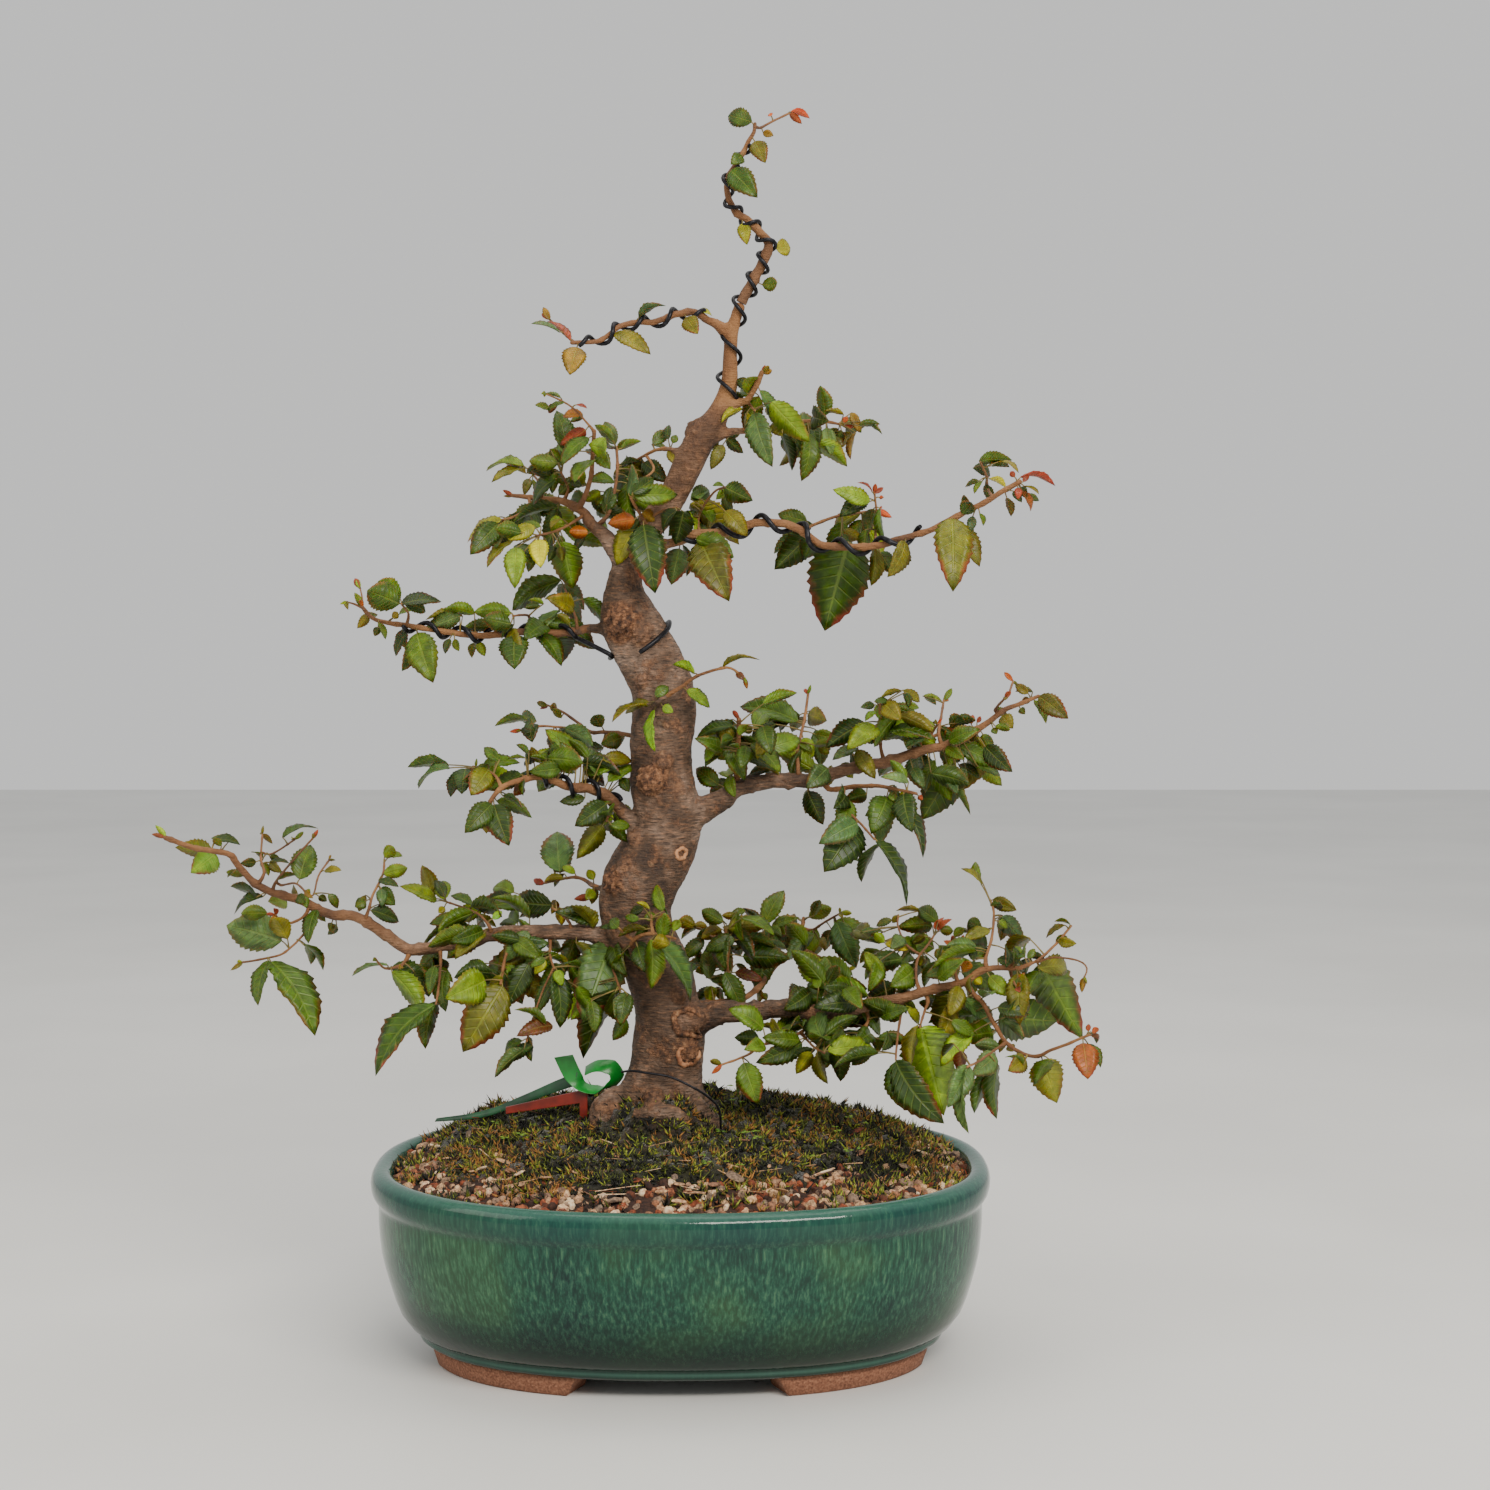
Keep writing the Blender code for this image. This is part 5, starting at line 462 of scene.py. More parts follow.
def spotsMesh(spots, turns, sizes, variants):
    # the points on which shapes are placed
    mesh = meshFrom("spots", spots, [])
    setAttribute(mesh, "turn", "FLOAT_VECTOR", turns)
    setAttribute(mesh, "size", "FLOAT_VECTOR", sizes)
    setAttribute(mesh, "variant", "INT", variants)
    return mesh


def shadeSmooth(mesh, quadsOnly=False):
    mesh.polygons.foreach_set("use_smooth", [not quadsOnly or len(face.vertices) == 4 for face in mesh.polygons])
    return mesh


def collect(name, meshes):
    made = bpy.data.collections.new(name)
    for number, mesh in enumerate(meshes):
        made.objects.link(bpy.data.objects.new("%s%02d" % (name, number), mesh))
    return made


def discard(collection):
    for item in list(collection.objects):
        bpy.data.objects.remove(item)
    bpy.data.collections.remove(collection)


def rounded(points, girths, spacing, extra=()):
    # a smooth path through the readings, with the girth and any other values along it
    path, rows = [], list(zip(girths, *extra))
    values = []
    for i in range(len(points) - 1):
        a, b, c, d = points[max(i - 1, 0)], points[i], points[i + 1], points[min(i + 2, len(points) - 1)]
        steps = max(1, round((c - b).length / spacing))
        for k in range(steps):
            t = k / steps
            path.append(0.5 * (2 * b + (c - a) * t + (2 * a - 5 * b + 4 * c - d) * t ** 2
                               + (3 * b - a - 3 * c + d) * t ** 3))
            values.append([x + (y - x) * t for x, y in zip(rows[i], rows[i + 1])])
    return path + [points[-1].copy()], values + [list(rows[-1])]


def chainsMesh(name, chains):
    # chains of (points in cm, girths in cm, youth, scar) become one mesh of edges
    verts, edges, girths, youths, scars = [], [], [], [], []
    for points, rows in chains:
        first = len(verts)
        verts += [place(point) for point in points]
        edges += [(first + i, first + i + 1) for i in range(len(points) - 1)]
        girths += [row[0] * cm for row in rows]
        youths += [row[1] if len(row) > 1 else 0.0 for row in rows]
        scars += [row[2] if len(row) > 2 else 0.0 for row in rows]
    mesh = meshFrom(name, verts, [], edges)
    setAttribute(mesh, "girth", "FLOAT", girths)
    setAttribute(mesh, "youth", "FLOAT", youths)
    setAttribute(mesh, "scar", "FLOAT", scars)
    return mesh


def ringsMesh(name, rings, bottom=None, top=None, smooth=True):
    # a skin through rings of equally many points, closed by a fan at each given middle
    count = len(rings[0])
    verts = [place(point) for ring in rings for point in ring]
    faces = []
    for i in range(len(rings) - 1):
        for k in range(count):
            a, b = i * count + k, i * count + (k + 1) % count
            faces.append((a, b, b + count, a + count))
    for middle, base, flip in ((bottom, 0, True), (top, (len(rings) - 1) * count, False)):
        if middle is not None:
            verts.append(place(middle))
            for k in range(count):
                face = (len(verts) - 1, base + k, base + (k + 1) % count)
                faces.append(face[::-1] if flip else face)
    mesh = meshFrom(name, verts, faces, smooth=smooth)
    return faceOutwards(mesh)


def faceOutwards(mesh, weld=False):
    form = bmesh.new()
    form.from_mesh(mesh)
    if weld:
        bmesh.ops.remove_doubles(form, verts=form.verts, dist=1e-6)
    bmesh.ops.recalc_face_normals(form, faces=form.faces)
    form.to_mesh(mesh)
    form.free()
    return mesh


# Pot

pot = {
    "halfWidth": 15.5, "halfDepth": 12.1, "squareness": 2.3, "sectors": 168,
    # height, then how far the outline lies within the rim's half width and half depth
    "outside": [
        (1.02, 2.95, 3.7), (1.0, 2.75, 3.45), (1.06, 2.5, 3.25), (1.2, 2.32, 3.12), (1.36, 2.28, 3.08),
        (1.5, 2.32, 3.12),
        (1.6, 2.12, 2.95), (1.9, 1.78, 2.62), (2.5, 1.35, 2.2), (3.2, 1.08, 1.84), (4.0, 0.85, 1.5), (4.8, 0.64, 1.22),
        (5.5, 0.5, 0.98), (6.3, 0.42, 0.76), (7.0, 0.38, 0.58), (7.5, 0.38, 0.48), (7.85, 0.38, 0.44),
        (8.02, 0.36, 0.41), (8.14, 0.29, 0.33), (8.28, 0.19, 0.21), (8.46, 0.09, 0.1), (8.72, 0.02, 0.02),
        (9.05, 0.0, 0.0), (9.3, 0.05, 0.05),
        (9.5, 0.15, 0.15), (9.63, 0.3, 0.3), (9.69, 0.5, 0.5), (9.68, 0.7, 0.7), (9.6, 0.9, 0.9), (9.45, 1.03, 1.03),
        (9.1, 1.15, 1.15), (8.0, 1.25, 1.3), (6.0, 1.55, 1.75), (3.2, 2.3, 2.8), (2.3, 2.9, 3.5), (2.0, 3.6, 4.3)],
    "holeX": 6.0, "holeRadius": 1.2,
    # one foot from the floor up: height, half width and half depth of its outside, how near it comes to the
    # middle of the pot in width and in depth; how thick it is at the floor and above
    "foot": [
        (0.0, 12.42, 8.32, 5.3, 3.4), (0.12, 12.56, 8.46, 5.2, 3.3), (0.6, 12.66, 8.56, 5.0, 3.05),
        (1.2, 12.8, 8.7, 4.7, 2.8)],
    "footThickness": (1.6, 1.7), "footSteps": 24,
}


def oval(halfWidth, halfDepth, turn, z):
    c, s = math.cos(turn), math.sin(turn)
    power = 2 / pot["squareness"]
    return Vector((math.copysign(abs(c) ** power, c) * halfWidth, math.copysign(abs(s) ** power, s) * halfDepth, z))


def potRing(height, inWidth, inDepth, clear=0.0, count=None):
    count = count or pot["sectors"]
    return [oval(pot["halfWidth"] - inWidth - clear, pot["halfDepth"] - inDepth - clear, math.tau * k / count, height)
            for k in range(count)]


def makePot():
    profile = pot["outside"]
    rings = []
    for number, row in enumerate(profile):
        ring = potRing(*row)
        for k, point in enumerate(ring):  # hand-finished wall: slow waves of a few tenths of a millimetre
            sway = noise.noise(point * 0.22 + Vector((3, 1, 7))) * 0.05
            run = noise.noise(Vector((point.x * 0.9, point.y * 0.9, 5.0)))
            if 1.05 < row[0] < 1.55 and number < 7:
                sway += 0.05 * run
            ring[k] = point + Vector((point.x, point.y, 0)).normalized() * sway
        rings.append(ring)
    mesh = ringsMesh("pot_glaze", rings, Vector((0, 0, 1.02)), Vector((0, 0, 2.0)))
    heights = [vert.co.z / cm for vert in mesh.vertices]
    # where the glaze is painted paler: thinner glaze on the rim and the bead, and painted reflection there
    setAttribute(mesh, "thin", "FLOAT", [
        0.35 * ease(z, 9.3, 9.6) + 0.35 * math.exp(-((z - 1.36) / 0.14) ** 2) for z in heights])
    made = addPiece("pot_glaze", mesh, glaze, "green_glaze", "pot")
    for side in (-1, 1):
        cutHole(made, side)


def cutHole(target, side):
    form = bmesh.new()
    bmesh.ops.create_cone(form, cap_ends=True, segments=32, radius1=pot["holeRadius"] * cm,
                          radius2=pot["holeRadius"] * cm, depth=4 * cm,
                          matrix=Matrix.Translation(place((side * pot["holeX"], 0, 1.5))))
    cutter = intoScene(bpy.data.objects.new("hole", meshOf(form, "hole")))
    boolean = target.modifiers.new("hole", "BOOLEAN")
    boolean.operation, boolean.object, boolean.solver = "DIFFERENCE", cutter, "MANIFOLD"
    target.data = baked(target)
    bpy.data.objects.remove(cutter)


def makeFeet():
    # four bands of bare clay that wrap round the corners, with slanted ends and rounded edges
    verts, faces = [], []
    steps, size = pot["footSteps"], 2 * len(pot["foot"])
    for side in (-1, 1):
        for front in (-1, 1):
            first = len(verts)
            for k in range(steps + 1):
                outside, inside = [], []
                for z, halfWidth, halfDepth, endX, endY in pot["foot"]:
                    start = math.asin((endY / halfDepth) ** (pot["squareness"] / 2))
                    finish = math.acos((endX / halfWidth) ** (pot["squareness"] / 2))
                    turn = start + (finish - start) * k / steps
                    thickness = pot["footThickness"][0 if z == 0 else 1]
                    outside.append(oval(halfWidth, halfDepth, turn, z))
                    inside.append(oval(halfWidth - thickness, halfDepth - thickness, turn, z))
                verts += [place((point.x * side, point.y * front, point.z)) for point in outside + inside[::-1]]
            last = first + steps * size
            faces.append(tuple(first + k for k in range(size)))
            faces.append(tuple(last + size - 1 - k for k in range(size)))
            for k in range(steps):
                for j in range(size):
                    a, b = first + k * size + j, first + k * size + (j + 1) % size
                    faces.append((a, b, b + size, a + size))
    mesh = faceOutwards(meshFrom("pot_feet", verts, faces, smooth=False))
    addPiece("pot_feet", shadeSmooth(mesh, quadsOnly=True), bareClay, None, "pot")


makePot()
makeFeet()
for name in ("drain_mesh_left", "drain_mesh_right"):
    plate = frame["nodes"][name]
    plate.data.materials.clear()
    plate.data.materials.append(net)
print("pot made")


# Soil and moss

ground = {
    "trunkX": -1.3, "plateauRadius": 4.1, "plateauHeight": 10.9, "edgeHeight": 9.1, "mossThickness": 0.45,
    "sectors": 112, "rows": 30, "grainsPerSquareMetre": 76000, "grain": (0.0012, 0.0034),
    "shootsPerSquareMetre": 380000, "tuftsPerSquareMetre": 330000, "shoot": (0.0016, 0.0066),
    # bark chips and straws: how many, their length, width and thickness in cm at least and at most
    "chips": (90, (0.5, 1.6), (0.25, 0.6), (0.1, 0.22)),
    "straws": (140, (0.8, 2.6), (0.03, 0.08), (0.03, 0.06)),
    "seedlings": 46, "seedlingSize": (0.18, 0.34), "litterTints": (0.55, 0.66, 0.8, 0.9, 0.97, 0.3),
    # how far the litter and the seedlings lie at most from the pot's middle in width and depth, and at least
    # from the trunk
    "litterReach": (13.4, 10.2, 3.4), "seedlingReach": (13.0, 9.6, 2.8),
}


def groundPoint(turn, share):
    inner = Vector((ground["trunkX"] + ground["plateauRadius"] * math.cos(turn),
                    ground["plateauRadius"] * math.sin(turn), ground["plateauHeight"]))
    point = inner.lerp(oval(pot["halfWidth"] - 1.2, pot["halfDepth"] - 1.2, turn, 0), share)
    slope = 0.5 - 0.5 * math.cos(math.pi * share)
    ripple = 0.1 * math.sin(1.3 * point.x + 0.5) * math.cos(1.1 * point.y) * math.sin(math.pi * share)
    point.z = ground["plateauHeight"] + (ground["edgeHeight"] - ground["plateauHeight"]) * (
        0.35 * share + 0.65 * slope) + ripple
    side = abs(math.cos(turn)) ** 2
    rise = ease(math.sin(turn), -0.15, 0.55)
    point.z += (0.35 + 0.6 * rise) * (1 - ease(share, 0.8, 1.0) * 0.5) * (rise + 0.3 * side) * ease(share, 0.0, 0.3)
    return point


def mossReach(turn):
    # how far towards the rim the moss comes, as a share of the way
    return min(0.7 + 0.22 * math.sin(turn) + 0.1 * abs(math.cos(turn)) - 0.04 * math.cos(turn)
               + 0.05 * math.sin(3 * turn + 0.8) + 0.05 * math.sin(7 * turn + 2.0) + 0.03 * math.sin(13 * turn),
               0.985)


def strew(name, mesh, shapes, material, slot, node, **settings):
    # shapes over a mesh, as a piece of their own
    settings.update({"Shapes": shapes, "Material": material})
    addPiece(name, grow(mesh.copy(), cover, settings), None, slot, node)


def makeGround():
    sectors, rows = ground["sectors"], ground["rows"]
    turns = [math.tau * k / sectors for k in range(sectors)]
    rings, bare = [], []
    for n in range(rows + 1):
        share = n / rows
        ring = []
        for turn in turns:
            point = groundPoint(turn, share)
            bare.append(ease(share, mossReach(turn) - 0.12, mossReach(turn) + 0.04))
            point.z += 0.12 * noise.noise(point * 1.3) + 0.05 * noise.noise(point * 4.1) - 0.1 * share
            ring.append(point)
        rings.append(ring)
    collar = [point - Vector((0, 0, 0.02)) for point in rings[-1]]
    low = [collar, potRing(3.2, 2.3, 2.8, 0.05, sectors), potRing(2.2, 3.3, 3.9, 0.05, sectors)]
    mesh = ringsMesh("soil_bed", rings + low, Vector((ground["trunkX"], 0, 10.9)), Vector((0, 0, 2.2)))
    bare += [0.0] * (3 * sectors + 2)
    setAttribute(mesh, "bare", "FLOAT", bare)
    setAttribute(mesh, "tint", "FLOAT", [0.06] * len(bare))
    addPiece("soil_bed", mesh, grains, "akadama_soil", "soil")

    tufts = []
    for vert in mesh.vertices:
        point = (vert.co - potCentre) / cm
        band = ease(point.y, -9.5, -5.0) if abs(point.x) < 9.0 else ease(point.y, -7.0, -3.0) + 0.3
        patch = ease(noise.noise(point * 0.45 + Vector((2, 7, 1))) + 0.6 * noise.noise(point * 1.5), -0.15, 0.25)
        tufts.append(min(band * patch + 0.25 * patch, 1.0) if point.z > 8.5 else 0.0)
    for n in range(3 * sectors + 2):
        tufts[-1 - n] = 0.0
    setAttribute(mesh, "tufts", "FLOAT", tufts)
    lumps = collect("lump", [lumpMesh(seed) for seed in range(6)])
    smallest, largest = ground["grain"]
    strew("soil_grains", mesh, lumps, grains, "akadama_soil", "soil", Density=ground["grainsPerSquareMetre"], Seed=3,
          Smallest=smallest, Largest=largest, Tilt=3.0, Where="bare", Least=0.02)
    discard(lumps)

    shoots = collect("shoot", [shootMesh(seed) for seed in range(6)])
    smallest, largest = ground["shoot"]
    strew("moss_tufts", mesh, shoots, mossShoots, "moss", "moss", Density=ground["tuftsPerSquareMetre"], Seed=9,
          Smallest=smallest * 1.2, Largest=largest * 1.3, Tilt=1.0, Where="tufts", Least=0.25)

    rings = []
    for n in range(rows + 1):
        share = n / rows
        ring = []
        for turn in turns:
            reach = mossReach(turn)
            if share < 0.3:  # between the trunk and the solid's mat, where it climbs the roots
                inward = 1 - share / 0.3
                inner = groundPoint(turn, 0.0)
                point = inner.lerp(Vector((ground["trunkX"], 0, inner.z)), 0.52 * inward)
                point.z += (1.15 - 0.5 * math.sin(turn)) * ease(inward, 0.0, 0.9)
            else:
                point = groundPoint(turn, reach * (share - 0.3) / 0.7)
            edge = 1 - ease(share, 0.88, 1.0)
            tuft = (0.55 + 1.1 * noise.noise(point * 0.8) + 1.3 * noise.noise(point * 2.2)
                    + 0.5 * noise.noise(point * 5.0))
            point.z += ground["mossThickness"] * max(tuft, 0.1) * edge - 0.03 * (1 - edge)
            ring.append(point)
        rings.append(ring)
    under = [[point - Vector((0, 0, 0.25)) for point in rings[n]] for n in range(rows, -1, -3)]
    mesh = faceOutwards(ringsMesh("moss_mat", rings + under + [rings[0]]), weld=True)
    lift = []
    for vert in mesh.vertices:
        point = (vert.co - potCentre) / cm
        clump = ease(noise.noise(point * 1.5 + Vector((4, 4, 4))) + 0.8 * noise.noise(point * 3.4), -0.22, 0.2)
        lift.append(0.06 + 0.94 * clump if vert.normal.z > 0.2 else 0.0)
    setAttribute(mesh, "bare", "FLOAT", lift)
    addPiece("moss_mat", mesh, mossFelt, "moss", "moss")
    strew("moss_shoots", mesh, shoots, mossShoots, "moss", "moss", Density=ground["shootsPerSquareMetre"], Seed=5,
          Smallest=smallest, Largest=largest, Tilt=1.15, Where="bare", Least=0.1)
    discard(shoots)
    makeLitter()


def soilHeight(x, y):
    # how high the moss or the grains lie at a place in plan, found by halving
    turn = math.atan2(y, x - ground["trunkX"])
    low, high = 0.0, 1.0
    for n in range(12):
        share = (low + high) / 2
        point = groundPoint(turn, share)
        if math.hypot(point.x - ground["trunkX"], point.y) < math.hypot(x - ground["trunkX"], y):
            low = share
        else:
            high = share
    return groundPoint(turn, (low + high) / 2).z


def makeLitter():
    # bark chips, straws and clover seedlings lying on the moss and the grains
    draw = random.Random(21)
    form = bmesh.new()
    bmesh.ops.create_cone(form, cap_ends=True, segments=5, radius1=1.0, radius2=0.6, depth=2.0,
                          matrix=Matrix.Rotation(math.pi / 2, 4, "Y"))
    litter = collect("litter", [lumpMesh(8), lumpMesh(11), meshOf(form, "straw")])
    spots, turns, sizes, variants, tints = [], [], [], [], []
    across, deep, clear = ground["litterReach"]
    for kind, (count, lengths, widths, heights) in enumerate((ground["chips"], ground["straws"])):
        for n in range(count):
            angle, reach = draw.uniform(0, math.tau), math.sqrt(draw.uniform(0.06, 0.86))
            x, y = math.cos(angle) * reach * across, math.sin(angle) * reach * deep
            if math.hypot(x - ground["trunkX"], y) < clear:
                continue
            spots.append(place((x, y, soilHeight(x, y) + draw.uniform(0.16, 0.4))))
            turns.append((draw.uniform(-0.5, 0.5), draw.uniform(-0.35, 0.35), draw.uniform(0, math.tau)))
            sizes.append([draw.uniform(*limits) * cm / 2 for limits in (lengths, widths, heights)])
            variants.append(2 if kind else draw.randrange(2))
            tints.append(draw.choice(ground["litterTints"]))
    mesh = spotsMesh(spots, turns, sizes, variants)
    setAttribute(mesh, "tint", "FLOAT", tints)
    mesh = grow(mesh, placedShapes, {"Shapes": litter, "Material": grains})
    addPiece("soil_litter", mesh, None, "akadama_soil", "soil")
    discard(litter)

    verts, faces = [], []
    across, deep, clear = ground["seedlingReach"]
    for n in range(ground["seedlings"]):
        angle, reach = draw.uniform(0, math.tau), math.sqrt(draw.uniform(0.08, 0.6))
        x, y = math.cos(angle) * reach * across, math.sin(angle) * reach * deep
        if math.hypot(x - ground["trunkX"], y) < clear:
            continue
        foot = Vector((x, y, soilHeight(x, y) + 0.15))
        head = foot + Vector((draw.uniform(-0.2, 0.2), draw.uniform(-0.3, 0.0), draw.uniform(0.35, 0.7)))
        size = draw.uniform(*ground["seedlingSize"])
        first = len(verts)
        verts += [foot + Vector((-0.03, 0, 0)), foot + Vector((0.03, 0, 0)), foot + Vector((0, 0.04, 0)), head]
        faces += [(first, first + 1, first + 3), (first + 1, first + 2, first + 3), (first + 2, first, first + 3),
                  (first, first + 2, first + 1)]
        start = draw.uniform(0, math.tau)
        for k in range(3):
            angle = start + k * math.tau / 3
            away = Vector((math.cos(angle), math.sin(angle), draw.uniform(-0.1, 0.3)))
            beside = Vector((-away.y, away.x, 0)) * 0.5
            first = len(verts)
            verts += [head + Vector((0, 0, 0.01)), head + (away * 0.55 - beside) * size, head + away * size,
                      head + (away * 0.55 + beside) * size,
                      head + away * 0.5 * size + Vector((0, 0, 0.06 * size + 0.02))]
            faces += [(first + a, first + b, first + 4) for a, b in ((0, 1), (1, 2), (2, 3), (3, 0))]
            faces += [(first + 3, first + 2, first + 1, first)]
    mesh = faceOutwards(meshFrom("moss_seedlings", [place(vert) for vert in verts], faces))
    addPiece("moss_seedlings", mesh, seedlingGreen, "moss", "moss")


def lumpMesh(seed):
    # one grain: a cube rounded towards a ball, dented at random
    draw = random.Random(seed)
    form = bmesh.new()
    bmesh.ops.create_cube(form, size=2.0)
    bmesh.ops.subdivide_edges(form, edges=form.edges, cuts=1, use_grid_fill=True)
    stretch = Vector((draw.uniform(0.8, 1.25), draw.uniform(0.75, 1.1), draw.uniform(0.6, 0.9)))
    for vert in form.verts:
        ball = vert.co.normalized()
        dent = 1 + draw.uniform(-0.16, 0.14)
        vert.co = Vector([b * s * dent for b, s in zip(ball.lerp(vert.co * 0.75, 0.25), stretch)])
    mesh = meshOf(form, "lump")
    mesh.polygons.foreach_set("use_smooth", [seed % 2 == 0] * len(mesh.polygons))
    return mesh


def shootMesh(seed):
    # one moss shoot: three thin spikes that lean apart
    draw = random.Random(40 + seed)
    verts, faces = [], []
    for k in range(3):
        angle = math.tau * k / 3 + draw.uniform(-0.5, 0.5)
        lean = Vector((math.cos(angle), math.sin(angle), 0))
        side = Vector((-lean.y, lean.x, 0)) * 0.12
        foot, tip = lean * 0.03, lean * draw.uniform(0.25, 0.6) + Vector((0, 0, draw.uniform(0.6, 1.0)))
        first = len(verts)
        verts += [foot - side, foot + side, foot + lean * 0.14, tip]
        faces += [(first, first + 2, first + 1), (first, first + 1, first + 3), (first + 1, first + 2, first + 3),
                  (first + 2, first, first + 3)]
    return faceOutwards(meshFrom("shoot", verts, faces))


makeGround()
print("soil and moss made")


# Reading the tree: places are read as seen from one eye on the upright plane y = 0, then moved to their depth
# along the line of sight

eye = Vector((3.2, -120.0, 36.3))
datum = 0.5


def seen(x, z, depth):
    reach = (depth - eye.y) / -eye.y
    return Vector((eye.x + (x - eye.x) * reach, depth, eye.z + (z - eye.z) * reach + datum))


# Trunk: height and middle as read, with the width there
trunkReadings = [
    (11.0, -1.3, 5.2), (12.0, -1.2, 4.4), (13.0, -0.9, 3.9), (14.0, -0.7, 3.65), (15.0, -0.6, 3.6),
    (16.0, -0.6, 3.5), (17.0, -0.75, 3.3), (18.0, -1.0, 3.3), (19.0, -1.35, 3.3), (20.0, -1.8, 3.3),
    (21.0, -2.15, 3.4), (22.0, -2.3, 3.6), (23.0, -2.05, 3.8), (24.0, -1.6, 3.8), (25.0, -1.0, 3.5),
    (26.0, -0.65, 3.2), (27.0, -0.75, 3.2), (28.0, -0.9, 3.3), (29.0, -0.95, 3.1), (30.0, -0.95, 3.1),
    (31.0, -0.9, 3.2), (32.0, -0.85, 3.2), (33.0, -1.0, 3.15), (34.0, -1.4, 3.1), (35.0, -1.9, 3.1),
    (36.0, -2.4, 3.1), (37.0, -2.7, 2.6), (38.0, -2.8, 1.9), (39.0, -2.65, 1.5), (40.0, -2.2, 1.45),
    (41.0, -1.5, 1.45), (42.0, -0.7, 1.45), (43.0, -0.1, 1.45), (44.0, 0.35, 1.5), (45.0, 0.85, 1.5),
    (45.7, 1.3, 1.4), (46.5, 1.85, 1.15), (47.3, 2.2, 0.95), (48.2, 2.45, 0.85), (49.2, 2.45, 0.75),
    (50.2, 2.52, 0.68), (51.2, 2.72, 0.62), (52.0, 3.0, 0.6),
]
